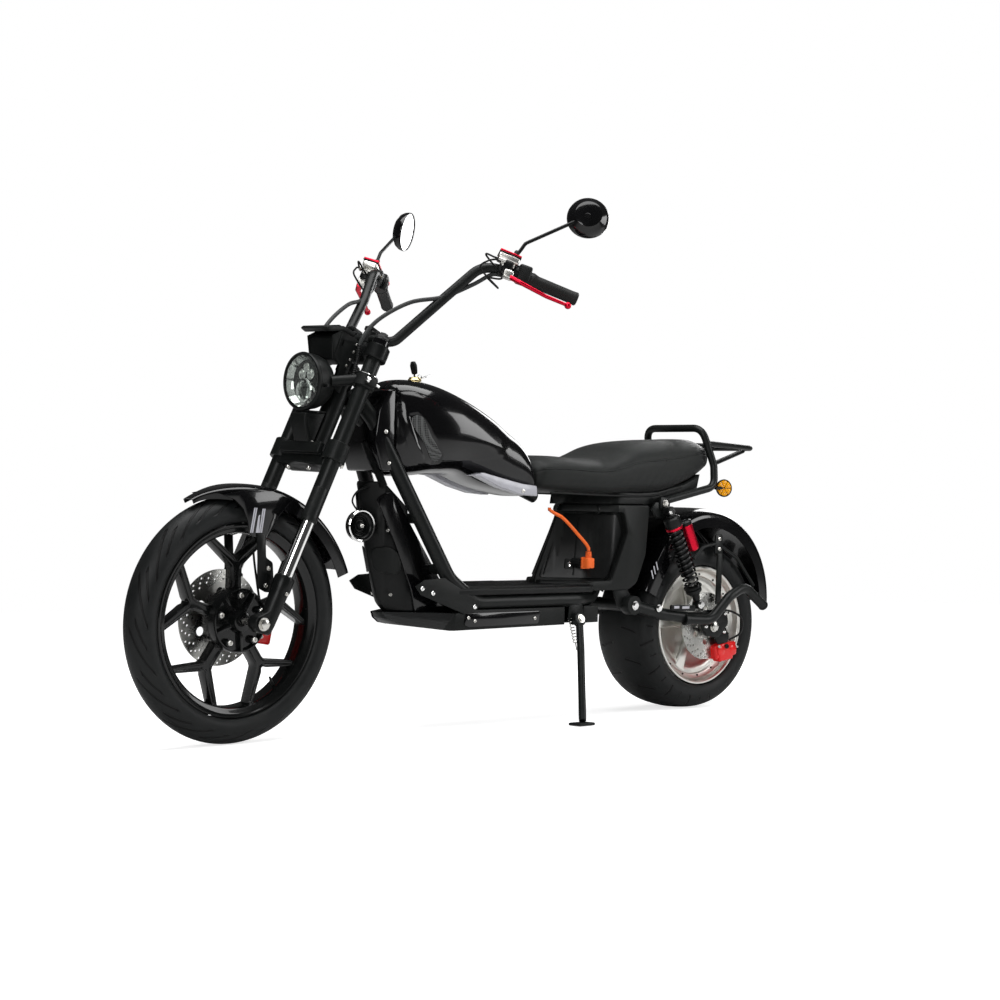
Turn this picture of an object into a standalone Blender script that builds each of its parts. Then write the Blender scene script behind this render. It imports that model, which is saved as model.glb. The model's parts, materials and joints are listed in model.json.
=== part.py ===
"""Electric chopper scooter, parked on its side stand with the bars turned a little to the left.

The machine is modelled upright, +X forward, +Y to its left and +Z up, from the point where the
rear tyre meets the ground. The whole then leans on the stand and its origin moves to the middle
of the floor under it. What steers is modelled along the steering axis: p forward of it, y to
the left and s up along it, from the foot of the axle's offset.
"""
import math

import bmesh
import bpy
from mathutils import Matrix, Vector

GAP = 0.0003

# Stance
WHEELBASE = 1.509
RAKE = math.radians(25.2)
LEAN = math.radians(2.5)
STEER_REST = math.radians(3.5)

# Wheels and tyres
FRONT_TYRE_RADIUS = 0.293
FRONT_TYRE_HALF = 0.043
FRONT_FLANGE_RADIUS = 0.229
FRONT_RIM_HALF = 0.031
FRONT_DISC_RADIUS = 0.115
FRONT_DISC_Y = -0.052
FRONT_HUB_RADIUS = 0.076
FRONT_HUB_FACE = 0.028
FRONT_CARRIER_RADIUS = 0.052
FRONT_BOSS_RADIUS = 0.044
FRONT_HUB_HALF = 0.046
REAR_TYRE_RADIUS = 0.2385
REAR_TYRE_HALF = 0.103
REAR_FLANGE_RADIUS = 0.1665
REAR_RIM_HALF = 0.094
REAR_DISC_RADIUS = 0.094
REAR_DISC_Y = 0.112
REAR_BOSS_RADIUS = 0.026
REAR_AXLE_RADIUS = 0.0080
REAR_BORE = REAR_AXLE_RADIUS + 0.0005
MOTOR_RADIUS = 0.118
MOTOR_HALF = 0.070
BEAD_DEPTH = 0.012
FLANGE_THICKNESS = 0.006
DISC_THICKNESS = 0.004
FRONT_FACETS = 30
REAR_FACETS = 26
SPOKES = 5

# Fork and steering head, along the steering axis
AXLE_LEAD = 0.035
LEG_LEAD = 0.012
LEG_Y = 0.100
LUG_HALF = 0.0235
SLEEVE_RADIUS = 0.0200
STANCHION_RADIUS = 0.0165
SLIDER_RADIUS = 0.0250
LOWER_CLAMP_S = 0.430
UPPER_CLAMP_S = 0.722
CLAMP_THICKNESS = 0.036
SLIDER_TOP_S = 0.130
SLEEVE_BOTTOM_S = 0.270
LEG_TOP_S = 0.760
FRONT_AXLE_RADIUS = 0.0080
STEM_RADIUS = 0.0120
HEAD_LOW_S = LOWER_CLAMP_S + CLAMP_THICKNESS / 2 + 0.008
HEAD_HIGH_S = UPPER_CLAMP_S - CLAMP_THICKNESS / 2 - 0.008
HEAD_TUBE_RADIUS = 0.0280
HEAD_BORE_RADIUS = 0.0170

# Handlebar, mirrors and lamp, along the steering axis
BAR_RADIUS = 0.0125
GRIP_RADIUS = 0.0170
GRIP_LENGTH = 0.120
RISER_Y = 0.034
MIRROR_RADIUS = 0.050
LAMP_RADIUS = 0.074
LAMP_S = 0.585
LAMP_P = 0.130

# Frame
MAIN_TUBE_RADIUS = 0.0190
MAIN_TUBE_FLAT = 0.0180
RAIL_RADIUS = 0.0125
FLOOR_Y = 0.115
FLOOR_Z = 0.325
UPRIGHT_Y = 0.078
SEAT_RAIL_Z = 0.556
RAIL_TOP_Z = 0.5735
SEAT_DECK_Z = SEAT_RAIL_Z + MAIN_TUBE_RADIUS
BACKBONE_RADIUS = 0.016
PIVOT_X = 0.314
PIVOT_Z = 0.305
ARM_Y = 0.130
ARM_EYE_Y = 0.113
SHOCK_TOP = (0.196, 0.150, 0.561)
SHOCK_FOOT = (0.071, 0.150, 0.303)
SHOCK_PIN_RADIUS = 0.0050

# Deck and covers
DECK_FRONT_X = 0.930
DECK_REAR_X = 0.462
DECK_HALF = 0.138
DECK_THICKNESS = 0.018
DECK_RIBS = 9
BODY_HALF = 0.127
BODY_WALL = 0.026
BOX_HALF = 0.062

# Charging lead
PORT_X = 0.482
PORT_Z = 0.421
CORD_RADIUS = 0.0045
CORD_TOP = (0.594, 0.100)

# Side stand
STAND_PIVOT = (0.515, 0.138, 0.272)
STAND_FOOT = (0.600, 0.250)
STAND_RADIUS = 0.0100
STAND_HUB_HALF = 0.0095
STAND_TILT = math.radians(22.0)
STAND_RANGE = 95

PALETTE = {
    # name: (colour, metallic, roughness)
    "gloss_black": ((0.012, 0.012, 0.014, 1), 0.0, 0.12),
    "frame_black": ((0.020, 0.020, 0.021, 1), 0.2, 0.35),
    "matte_black": ((0.030, 0.030, 0.031, 1), 0.0, 0.60),
    "rubber": ((0.016, 0.016, 0.016, 1), 0.0, 0.75),
    "vinyl": ((0.020, 0.020, 0.020, 1), 0.0, 0.55),
    "silver": ((0.70, 0.69, 0.67, 1), 1.0, 0.30),
    "chrome": ((0.82, 0.82, 0.82, 1), 1.0, 0.08),
    "steel": ((0.45, 0.44, 0.43, 1), 1.0, 0.35),
    "red": ((0.62, 0.015, 0.02, 1), 0.1, 0.30),
    "orange": ((0.90, 0.18, 0.03, 1), 0.0, 0.40),
    "tail_red": ((0.55, 0.01, 0.01, 1), 0.0, 0.15),
}

X = Vector((1, 0, 0))
Y = Vector((0, 1, 0))
Z = Vector((0, 0, 1))
SIDES = (("left", 1), ("right", -1))


# Scene, collections and materials

for old in list(bpy.data.objects):
    bpy.data.objects.remove(old, do_unlink=True)

parts = bpy.data.collections.new("electric_chopper_scooter")
cutters = bpy.data.collections.new("cutters")
bpy.context.scene.collection.children.link(parts)
bpy.context.scene.collection.children.link(cutters)


def material(key):
    found = bpy.data.materials.get(key)
    if found:
        return found
    colour, metallic, roughness = PALETTE[key]
    made = bpy.data.materials.new(key)
    made.use_nodes = True
    shader = made.node_tree.nodes["Principled BSDF"]
    shader.inputs["Base Color"].default_value = colour
    shader.inputs["Metallic"].default_value = metallic
    shader.inputs["Roughness"].default_value = roughness
    made.diffuse_color = colour
    return made


def empty(name, parent, matrix):
    made = bpy.data.objects.new(name, None)
    parts.objects.link(made)
    made.parent = parent
    made.matrix_local = matrix
    return made


# Shapes

def add(name, mesh, parent, matrix=None):
    """A mesh as an object of the tool collection, until keep() makes it a piece."""
    made = bpy.data.objects.new(name, mesh)
    cutters.objects.link(made)
    made.parent = parent
    made.matrix_local = matrix or Matrix()
    made.hide_render = True
    made.display_type = "WIRE"
    return made


def keep(made, key, smooth=35):
    """The object becomes a piece, with its material and its smooth shading."""
    cutters.objects.unlink(made)
    parts.objects.link(made)
    made.hide_render = False
    made.display_type = "TEXTURED"
    made.data.materials.clear()
    made.data.materials.append(material(key))
    if made.type == "MESH":
        made.data.shade_smooth()
        made.data.set_sharp_from_angle(angle=math.radians(smooth))
    return made


def from_bmesh(name, bm, parent, matrix=None):
    mesh = bpy.data.meshes.new(name)
    bm.to_mesh(mesh)
    bm.free()
    return add(name, mesh, parent, matrix)


def bevel(made, width, segments=1, angle=35):
    modifier = made.modifiers.new("rounded edges", "BEVEL")
    modifier.width = width
    modifier.segments = segments
    modifier.limit_method = "ANGLE"
    modifier.angle_limit = math.radians(angle)
    return made


def box(name, parent, centre, size, turn=None):
    bm = bmesh.new()
    bmesh.ops.create_cube(bm, size=1.0, matrix=Matrix.Diagonal((*size, 1)))
    return from_bmesh(name, bm, parent, Matrix.Translation(centre) @ (turn or Matrix()))


def clear(radius, sides):
    """The radius of a bore of so many sides whose flats clear a pin by the gap."""
    return (radius + GAP) / math.cos(math.pi / sides)


def towards(start, end):
    """The matrix that stands +Z along start to end, at the middle."""
    start, end = Vector(start), Vector(end)
    turn = (end - start).to_track_quat("Z", "Y").to_matrix().to_4x4()
    return Matrix.Translation((start + end) / 2) @ turn


def rod(name, parent, start, end, radius, end_radius=None, sides=10):
    """A cylinder or cone from start to end."""
    bm = bmesh.new()
    bmesh.ops.create_cone(
        bm, cap_ends=True, segments=sides, radius1=radius,
        radius2=radius if end_radius is None else end_radius,
        depth=(Vector(end) - Vector(start)).length)
    return from_bmesh(name, bm, parent, towards(start, end))


def turned(name, parent, profile, matrix, steps=32, ring=False):
    """A profile of (radius, height) turned about the matrix's Z; it runs down its outer side."""
    bm = bmesh.new()
    points = [bm.verts.new((radius, 0, height)) for radius, height in profile]
    for first, second in zip(points, points[1:] + points[:1] if ring else points[1:]):
        bm.edges.new((first, second))
    made = from_bmesh(name, bm, parent, matrix)
    screw = made.modifiers.new("turned", "SCREW")
    screw.axis = "Z"
    screw.angle = math.tau
    screw.steps = steps
    screw.render_steps = steps
    screw.use_merge_vertices = True
    screw.merge_threshold = 0.00001
    return made


def to_mesh(curve_object, name, parent, matrix):
    """A curve's solid as a mesh with its caps welded, so that it can be cut and joined."""
    bpy.context.view_layer.update()
    graph = bpy.context.evaluated_depsgraph_get()
    mesh = bpy.data.meshes.new_from_object(curve_object.evaluated_get(graph))
    bm = bmesh.new()
    bm.from_mesh(mesh)
    bmesh.ops.remove_doubles(bm, verts=bm.verts, dist=0.00001)
    bm.to_mesh(mesh)
    bm.free()
    data = curve_object.data
    bpy.data.objects.remove(curve_object, do_unlink=True)
    bpy.data.curves.remove(data)
    return add(name, mesh, parent, matrix)


def plate(name, parent, outline, thickness, matrix, holes=()):
    """A flat outline in the matrix's XY, given thickness along its Z; holes are (x, y, radius)."""
    curve = bpy.data.curves.new(name, "CURVE")
    curve.dimensions = "2D"
    curve.fill_mode = "BOTH"
    curve.extrude = thickness / 2
    curve.resolution_u = 1
    curve.render_resolution_u = 0
    rims = [list(outline)]
    for x, y, radius in holes:
        rims.append([(x + radius * math.cos(k * math.tau / 6), y + radius * math.sin(k * math.tau / 6))
                     for k in range(6)])
    for rim in rims:
        spline = curve.splines.new("POLY")
        spline.points.add(len(rim) - 1)
        for point, (x, y) in zip(spline.points, rim):
            point.co = (x, y, 0, 1)
        spline.use_cyclic_u = True
    flat = bpy.data.objects.new(name, curve)
    cutters.objects.link(flat)
    return to_mesh(flat, name, parent, matrix)


def side_plate(name, parent, outline, thickness, y, holes=()):
    """A plate whose outline is drawn in the side view, x forward and z up, its middle at y."""
    stand_up = Matrix(((1, 0, 0, 0), (0, 0, -1, y), (0, 1, 0, 0), (0, 0, 0, 1)))
    return plate(name, parent, outline, thickness, stand_up, holes)


def bent(points, radius, steps=2):
    """The points with each inner corner rounded to an arc, as a bent tube is."""
    points = [Vector(p) for p in points]
    path = [points[0]]
    for before, corner, after in zip(points, points[1:], points[2:]):
        back, ahead = (before - corner), (after - corner)
        half = back.angle(ahead) / 2
        reach = min(radius / math.tan(half), 0.45 * back.length, 0.45 * ahead.length)
        first, last = corner + back.normalized() * reach, corner + ahead.normalized() * reach
        for k in range(steps + 1):
            t = k / steps
            path.append((1 - t) ** 2 * first + 2 * t * (1 - t) * corner + t * t * last)
    path.append(points[-1])
    return path


def tube(name, parent, path, radius, sides=8, cyclic=False, mesh=True):
    """A round tube along a path, as a mesh that can be joined, or as a plain curve."""
    curve = bpy.data.curves.new(name, "CURVE")
    curve.dimensions = "3D"
    curve.bevel_depth = radius
    curve.bevel_resolution = sides // 2 - 2
    curve.use_fill_caps = True
    curve.render_resolution_u = 0
    spline = curve.splines.new("POLY")
    spline.points.add(len(path) - 1)
    for point, place in zip(spline.points, path):
        point.co = (*place, 1)
    spline.use_cyclic_u = cyclic
    made = bpy.data.objects.new(name, curve)
    cutters.objects.link(made)
    if mesh:
        return to_mesh(made, name, parent, Matrix())
    made.parent = parent
    return made


def loft(name, parent, rings):
    """A closed skin through rings of equally many points, with flat ends."""
    bm = bmesh.new()
    rows = [[bm.verts.new(p) for p in ring] for ring in rings]
    count = len(rows[0])
    for row, following in zip(rows, rows[1:]):
        for k in range(count):
            bm.faces.new((row[k], row[(k + 1) % count], following[(k + 1) % count], following[k]))
    bm.faces.new(rows[0][::-1])
    bm.faces.new(rows[-1])
    bmesh.ops.recalc_face_normals(bm, faces=bm.faces)
    return from_bmesh(name, bm, parent)


def pillow_ring(x, low, high, half, squareness=2.6, count=20):
    """An upright section at x: a rounded box between low and high, half wide on each side."""
    ring = []
    for k in range(count):
        turn = math.tau * (k + 0.5) / count
        c, s = math.cos(turn), math.sin(turn)
        y = half * math.copysign(abs(c) ** (2 / squareness), c)
        z = (high + low) / 2 + (high - low) / 2 * math.copysign(abs(s) ** (2 / squareness), s)
        ring.append((x, y, z))
    return ring


def inset(outline, distance):
    """The closed outline moved inwards by a distance, corner by corner."""
    moved = []
    area = sum(a[0] * b[1] - b[0] * a[1] for a, b in zip(outline, outline[1:] + outline[:1]))
    for k, corner in enumerate(outline):
        before, after = Vector(outline[k - 1]), Vector(outline[(k + 1) % len(outline)])
        back = (Vector(corner) - before).normalized()
        ahead = (after - Vector(corner)).normalized()
        inward = Vector((-(back + ahead).y, (back + ahead).x)).normalized() * math.copysign(1, area)
        half = max(0.35, math.sqrt(max(0.0, (1 + back.dot(ahead)) / 2)))
        moved.append(tuple(Vector(corner) + inward * distance / half))
    return moved


def slab(name, parent, outline, half, edge):
    """A side-view outline given thickness, with its two rims chamfered by the edge width."""
    outline, small = list(outline), inset(list(outline), edge)
    layers = ((-half, small), (-half + edge, outline), (half - edge, outline), (half, small))
    return loft(name, parent, [[(x, y, z) for x, z in rim] for y, rim in layers])


def boolean(target, operation, others):
    for other in others:
        modifier = target.modifiers.new(f"{operation.lower()} {other.name}", "BOOLEAN")
        modifier.operation = operation
        modifier.solver = "EXACT"
        modifier.object = other
    return target


def join(target, *others):
    return boolean(target, "UNION", others)


def cut(target, *others):
    return boolean(target, "DIFFERENCE", others)


def shell(name, parent, rows, thickness):
    """An open surface through rows of points, thickened to its inner side."""
    bm = bmesh.new()
    grid = [[bm.verts.new(p) for p in row] for row in rows]
    for row, following in zip(grid, grid[1:]):
        for k in range(len(row) - 1):
            bm.faces.new((row[k], row[k + 1], following[k + 1], following[k]))
    made = from_bmesh(name, bm, parent)
    thicken = made.modifiers.new("thickness", "SOLIDIFY")
    thicken.thickness = thickness
    thicken.offset = -1
    return made


# Frames of reference

root = empty("scooter", None, Matrix.Rotation(-LEAN, 4, "X"))
STEER_FOOT = Vector((WHEELBASE - AXLE_LEAD * math.cos(RAKE), 0,
                     FRONT_TYRE_RADIUS - AXLE_LEAD * math.sin(RAKE)))
steer = empty("steering_axis", root,
              Matrix.Translation(STEER_FOOT) @ Matrix.Rotation(-RAKE, 4, "Y")
              @ Matrix.Rotation(STEER_REST, 4, "Z"))
front_axis = empty("front_wheel_axis", steer,
                   Matrix.Translation((AXLE_LEAD, 0, 0)) @ Matrix.Rotation(RAKE, 4, "Y"))
rear_axis = empty("rear_wheel_axis", root, Matrix.Translation((0, 0, REAR_TYRE_RADIUS)))
stand_axis = empty("side_stand_axis", root,
                   Matrix.Translation(STAND_PIVOT) @ Matrix.Rotation(STAND_TILT, 4, "X"))

ACROSS = Matrix.Rotation(-math.pi / 2, 4, "X")


# Wheels: local +Z of the turned profiles is the machine's left

def tyre(name, parent, radius, half, flange_radius, rim_half, facets, crown):
    """The crown table holds (share of the half width, drop below the crown)."""
    stretch = 1 / math.cos(math.pi / facets)
    seat = flange_radius - BEAD_DEPTH
    bead = rim_half - FLANGE_THICKNESS - GAP
    upper = [(radius - drop, half * share) for share, drop in crown]
    upper += [(flange_radius + 0.010, rim_half), (flange_radius + GAP, bead), (seat + GAP, bead)]
    lower = [(r, -y) for r, y in upper]
    section = upper[::-1] + lower[1 if crown[0][0] == 0 else 0:]
    section = [(r * stretch, y) for r, y in section]
    return keep(turned(name, parent, section, ACROSS, facets, ring=True), "rubber")


FRONT_CROWN = ((0, 0), (0.45, 0.005), (0.80, 0.019), (1.0, 0.043))
REAR_CROWN = ((0, 0), (0.50, 0.0040), (0.82, 0.0125), (1.0, 0.038))
tyre("front_tyre", front_axis, FRONT_TYRE_RADIUS, FRONT_TYRE_HALF, FRONT_FLANGE_RADIUS,
     FRONT_RIM_HALF, FRONT_FACETS, FRONT_CROWN)
tyre("rear_tyre", rear_axis, REAR_TYRE_RADIUS, REAR_TYRE_HALF, REAR_FLANGE_RADIUS,
     REAR_RIM_HALF, REAR_FACETS, REAR_CROWN)


def rim(name, parent, flange_radius, half, facets, well):
    """A rim section: flanges, bead seats and a dropped well, turned."""
    stretch = 1 / math.cos(math.pi / facets)
    seat = flange_radius - BEAD_DEPTH
    inner = half - FLANGE_THICKNESS
    outer = [(flange_radius, half), (flange_radius, inner), (seat, inner), (seat - well, inner * 0.45)]
    outer += [(r, -y) for r, y in reversed(outer)]
    under = [(seat - 0.010, half), (seat - well - 0.006, half * 0.45)]
    section = outer + [(r, -y) for r, y in under] + under[::-1]
    return turned(name, parent, [(r * stretch, y) for r, y in section], ACROSS, facets, ring=True)


def split_spoke(name, parent, turn):
    """A cast spoke that leaves the hub as one arm and meets the rim as two."""
    hub, fork, rim_at = FRONT_HUB_RADIUS - 0.012, 0.105, FRONT_FLANGE_RADIUS - 0.020
    spread = math.radians(17)

    def at(radius, angle):
        return (radius * math.cos(angle), radius * math.sin(angle))

    outline = [at(hub, -0.18), at(fork, -0.13), at(rim_at, -spread - 0.045), at(rim_at, -spread + 0.055),
               at(fork + 0.022, 0.0), at(rim_at, spread - 0.055), at(rim_at, spread + 0.045),
               at(fork, 0.13), at(hub, 0.18)]
    return plate(name, parent, outline, 0.026, ACROSS @ Matrix.Rotation(turn, 4, "Z"))


front_rim = rim("front_wheel", front_axis, FRONT_FLANGE_RADIUS, FRONT_RIM_HALF, FRONT_FACETS, 0.008)
front_hub = turned("front_hub", front_axis, [
    (FRONT_AXLE_RADIUS + 0.0005, FRONT_HUB_HALF), (0.022, FRONT_HUB_HALF), (0.027, FRONT_HUB_FACE),
    (FRONT_HUB_RADIUS - 0.007, FRONT_HUB_FACE), (FRONT_HUB_RADIUS - 0.004, FRONT_HUB_FACE + 0.008),
    (FRONT_HUB_RADIUS, FRONT_HUB_FACE + 0.005), (FRONT_HUB_RADIUS, -0.010), (FRONT_HUB_RADIUS - 0.014, -0.030),
    (FRONT_CARRIER_RADIUS, -0.044), (FRONT_CARRIER_RADIUS, FRONT_DISC_Y + DISC_THICKNESS / 2 + GAP),
    (FRONT_BOSS_RADIUS, FRONT_DISC_Y + DISC_THICKNESS / 2 + GAP),
    (FRONT_BOSS_RADIUS, FRONT_DISC_Y - 0.004), (FRONT_AXLE_RADIUS + 0.0005, FRONT_DISC_Y - 0.004)],
    ACROSS, 20, ring=True)
spokes = [split_spoke(f"spoke_{k}", front_axis, math.tau * k / SPOKES + math.radians(90))
          for k in range(SPOKES)]
keep(join(front_rim, front_hub, *spokes), "gloss_black")


def disc(name, parent, radius, y, inner, drill_rows):
    """A brake disc with rows of drilled holes, (radius, count, start)."""
    holes = [(row * math.cos(math.tau * (k + start) / count), row * math.sin(math.tau * (k + start) / count),
              0.004) for row, count, start in drill_rows for k in range(count)]
    outline = [(radius * math.cos(math.tau * k / 24), radius * math.sin(math.tau * k / 24))
               for k in range(24)]
    made = plate(name, parent, outline, DISC_THICKNESS, Matrix.Translation((0, y, 0)) @ ACROSS, holes)
    bore = rod(f"{name}_bore", parent, (0, y - 0.02, 0), (0, y + 0.02, 0), clear(inner, 16),
               sides=16)
    return keep(cut(made, bore), "steel")


disc("front_brake_disc", front_axis, FRONT_DISC_RADIUS, FRONT_DISC_Y, FRONT_BOSS_RADIUS,
     ((FRONT_DISC_RADIUS - 0.018, 10, 0),))

rear_rim = rim("rear_wheel", rear_axis, REAR_FLANGE_RADIUS, REAR_RIM_HALF, REAR_FACETS, 0.010)
motor = turned("hub_motor", rear_axis, [
    (REAR_BORE, REAR_DISC_Y + 0.001), (REAR_BOSS_RADIUS, REAR_DISC_Y + 0.001),
    (REAR_BOSS_RADIUS, REAR_DISC_Y - DISC_THICKNESS / 2 - GAP), (0.034, REAR_DISC_Y - DISC_THICKNESS / 2 - GAP),
    (0.036, MOTOR_HALF + 0.004),
    (MOTOR_RADIUS - 0.02, MOTOR_HALF), (MOTOR_RADIUS, MOTOR_HALF - 0.014),
    (MOTOR_RADIUS, 0.016), (0.141, 0.012), (0.141, -0.012), (MOTOR_RADIUS, -0.016),
    (MOTOR_RADIUS, -MOTOR_HALF + 0.014), (MOTOR_RADIUS - 0.02, -MOTOR_HALF), (0.032, -MOTOR_HALF - 0.004),
    (0.030, -0.098), (REAR_BORE, -0.098)], ACROSS, 22, ring=True)
keep(join(rear_rim, motor), "silver")
disc("rear_brake_disc", rear_axis, REAR_DISC_RADIUS, REAR_DISC_Y, REAR_BOSS_RADIUS,
     ((REAR_DISC_RADIUS - 0.015, 8, 0),))


# Fork, axle and clamps

def fork_leg(side, sign):
    """Upper sleeve, bright stanchion, cast slider and its axle lug, one turned column."""
    y = sign * LEG_Y
    stand = Matrix.Translation((LEG_LEAD, y, 0))
    leg = turned(f"fork_leg_{side}", steer, [
        (0, LEG_TOP_S), (SLEEVE_RADIUS - 0.003, LEG_TOP_S), (SLEEVE_RADIUS, LEG_TOP_S - 0.004),
        (SLEEVE_RADIUS, SLEEVE_BOTTOM_S), (STANCHION_RADIUS, SLEEVE_BOTTOM_S),
        (STANCHION_RADIUS, SLIDER_TOP_S), (SLIDER_RADIUS, SLIDER_TOP_S), (SLIDER_RADIUS, SLIDER_TOP_S - 0.012),
        (SLIDER_RADIUS - 0.003, SLIDER_TOP_S - 0.016), (SLIDER_RADIUS - 0.003, 0.012), (0.014, -0.012),
        (0, -0.014)], stand, 14)
    lug = rod(f"axle_lug_{side}", steer, (AXLE_LEAD, y - LUG_HALF, 0), (AXLE_LEAD, y + LUG_HALF, 0), 0.020)
    bore = rod(f"axle_bore_{side}", steer, (AXLE_LEAD, y - 0.05, 0), (AXLE_LEAD, y + 0.05, 0),
               clear(FRONT_AXLE_RADIUS, 10))
    join(leg, lug)
    cut(leg, bore)
    return keep(leg, "frame_black")


for side, sign in SIDES:
    fork_leg(side, sign)

axle = rod("front_axle", steer, (AXLE_LEAD, -LEG_Y - LUG_HALF - 0.010, 0), (AXLE_LEAD, LEG_Y + LUG_HALF + 0.010, 0),
           FRONT_AXLE_RADIUS)
spacers = [rod(f"front_axle_{k}", steer, (AXLE_LEAD, start, 0), (AXLE_LEAD, end, 0), radius)
           for k, (start, end, radius) in enumerate((
               (LEG_Y + LUG_HALF + GAP, LEG_Y + LUG_HALF + 0.008, 0.0135),
               (-LEG_Y - LUG_HALF - GAP, -LEG_Y - LUG_HALF - 0.008, 0.0135),
               (FRONT_HUB_HALF + 0.005, LEG_Y - LUG_HALF - GAP, 0.0125),
               (FRONT_DISC_Y - 0.009, -LEG_Y + LUG_HALF + GAP, 0.0125)))]
keep(join(axle, *spacers), "steel")


def clamp(name, s, collar):
    """A clamp bar across the fork with a ring round each leg."""
    half = CLAMP_THICKNESS / 2
    made = box(name, steer, (LEG_LEAD * 0.6, 0, s), (0.046, 2 * LEG_Y, CLAMP_THICKNESS))
    rings = [rod(f"{name}_ring_{side}", steer, (LEG_LEAD, sign * LEG_Y, s - half - 0.003),
                 (LEG_LEAD, sign * LEG_Y, s + half + 0.003), collar, sides=14) for side, sign in SIDES]
    bores = [rod(f"{name}_bore_{side}", steer, (LEG_LEAD, sign * LEG_Y, s - 0.05),
                 (LEG_LEAD, sign * LEG_Y, s + 0.05), clear(SLEEVE_RADIUS, 14), sides=14) for side, sign in SIDES]
    join(bevel(made, 0.004), *rings)
    return cut(made, *bores)


lower = clamp("lower_clamp", LOWER_CLAMP_S, 0.031)
stem = rod("steering_stem", steer, (0, 0, LOWER_CLAMP_S), (0, 0, UPPER_CLAMP_S - CLAMP_THICKNESS / 2 - GAP),
           STEM_RADIUS)
bearings = [rod(f"bearing_{k}", steer, (0, 0, start), (0, 0, end), radius, sides=14)
            for k, (start, end, radius) in enumerate((
                (LOWER_CLAMP_S, HEAD_LOW_S - 0.0005, 0.0240), (LOWER_CLAMP_S, HEAD_LOW_S + 0.018, 0.0160),
                (HEAD_HIGH_S - 0.018, HEAD_HIGH_S + 0.004, 0.0160),
                (HEAD_HIGH_S + 0.0005, UPPER_CLAMP_S - CLAMP_THICKNESS / 2 - GAP, 0.0220)))]
keep(join(lower, stem, *bearings), "frame_black")
upper = clamp("upper_clamp", UPPER_CLAMP_S, 0.029)
risers = [rod(f"riser_{side}", steer, (0, sign * RISER_Y, UPPER_CLAMP_S),
              (0, sign * RISER_Y, UPPER_CLAMP_S + 0.066), 0.0165) for side, sign in SIDES]
bar_seat = rod("bar_seat", steer, (0, -0.1, UPPER_CLAMP_S + 0.045), (0, 0.1, UPPER_CLAMP_S + 0.045),
               clear(BAR_RADIUS, 10))
keep(cut(join(upper, *risers), bar_seat), "frame_black")


# Handlebar, grips, controls and mirrors

BAR_S = UPPER_CLAMP_S + 0.045
BAR_SIDE = ((0, 0.070, BAR_S), (-0.026, 0.096, BAR_S + 0.006), (-0.078, 0.155, 0.930),
            (-0.108, 0.205, 1.034), (-0.162, 0.252, 1.046), (-0.300, 0.355, 1.046))
whole_bar = [(p, -y, s) for p, y, s in reversed(BAR_SIDE)] + list(BAR_SIDE)
keep(tube("handlebar", steer, bent(whole_bar, 0.07, 2), BAR_RADIUS), "gloss_black")

GRIP_DIRECTION = (Vector(BAR_SIDE[-1]) - Vector(BAR_SIDE[-2])).normalized()
GRIP_END = Vector(BAR_SIDE[-1])


def along_grip(distance, sign):
    """A point on the bar, inboard of the grip's end."""
    place = GRIP_END - GRIP_DIRECTION * distance
    return Vector((place.x, place.y * sign, place.z))


for side, sign in SIDES:
    grip = rod(f"grip_{side}", steer, along_grip(-0.006, sign), along_grip(GRIP_LENGTH, sign), GRIP_RADIUS)
    bore = rod(f"grip_bore_{side}", steer, along_grip(-GAP, sign), along_grip(0.2, sign),
               clear(BAR_RADIUS, 10))
    keep(cut(bevel(grip, 0.003), bore), "rubber")

    outward = Vector((GRIP_DIRECTION.x, GRIP_DIRECTION.y * sign, 0)).normalized()
    ahead = Vector((outward.y, -outward.x, 0)) * sign
    turn = Matrix((ahead, outward * sign, Z)).transposed().to_4x4()
    hold = along_grip(GRIP_LENGTH + 0.024, sign)
    controls = bevel(box(f"controls_{side}", steer, hold, (0.040, 0.040, 0.044), turn), 0.006)
    brake_at = along_grip(GRIP_LENGTH + 0.068, sign)
    reservoir = bevel(box(f"reservoir_{side}", steer, brake_at + ahead * 0.018 + Z * 0.012,
                          (0.056, 0.042, 0.034), turn), 0.004)
    bridge = box(f"control_bridge_{side}", steer, (hold + brake_at) / 2 + ahead * 0.022,
                 (0.016, 0.060, 0.020), turn)
    lever_root = brake_at + ahead * 0.044
    lever_path = bent([lever_root - outward * 0.004, lever_root + outward * 0.030 + ahead * 0.008,
                       lever_root + outward * 0.160 - ahead * 0.002], 0.05, 2)
    lever = tube(f"lever_{side}", steer, lever_path, 0.0055, 8)
    ball = rod(f"lever_ball_{side}", steer, lever_path[-1] - outward * 0.006,
               lever_path[-1] + outward * 0.006, 0.009)
    bore = rod(f"controls_bore_{side}", steer, along_grip(GRIP_LENGTH + 0.0003, sign),
               along_grip(GRIP_LENGTH + 0.2, sign), clear(BAR_RADIUS, 10))
    join(controls, bridge, reservoir, lever, ball)
    keep(cut(controls, bore), "matte_black")

    stem_foot = brake_at + ahead * 0.018 + Z * (0.029 + GAP)
    centre = Vector((-0.254, sign * 0.345, 1.252))
    facing = Vector((-1, -0.12 * sign, 0.25)).normalized()
    head = turned(f"mirror_{side}", steer, [
        (0, -0.012), (MIRROR_RADIUS * 0.55, -0.010), (MIRROR_RADIUS * 0.9, -0.004), (MIRROR_RADIUS, 0.006),
        (MIRROR_RADIUS, 0.009), (0, 0.009)][::-1],
        Matrix.Translation(centre) @ facing.to_track_quat("Z", "Y").to_matrix().to_4x4(), 18)
    rise = stem_foot + Vector((-0.005, 0.002 * sign, 0.075))
    arm = tube(f"mirror_arm_{side}", steer,
               bent([stem_foot + Z * 0.004, rise, centre - facing * 0.004], 0.03, 2), 0.0050)
    foot = rod(f"mirror_foot_{side}", steer, stem_foot, stem_foot + Z * 0.012, 0.009, sides=6)
    keep(join(head, arm, foot), "matte_black")


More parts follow.
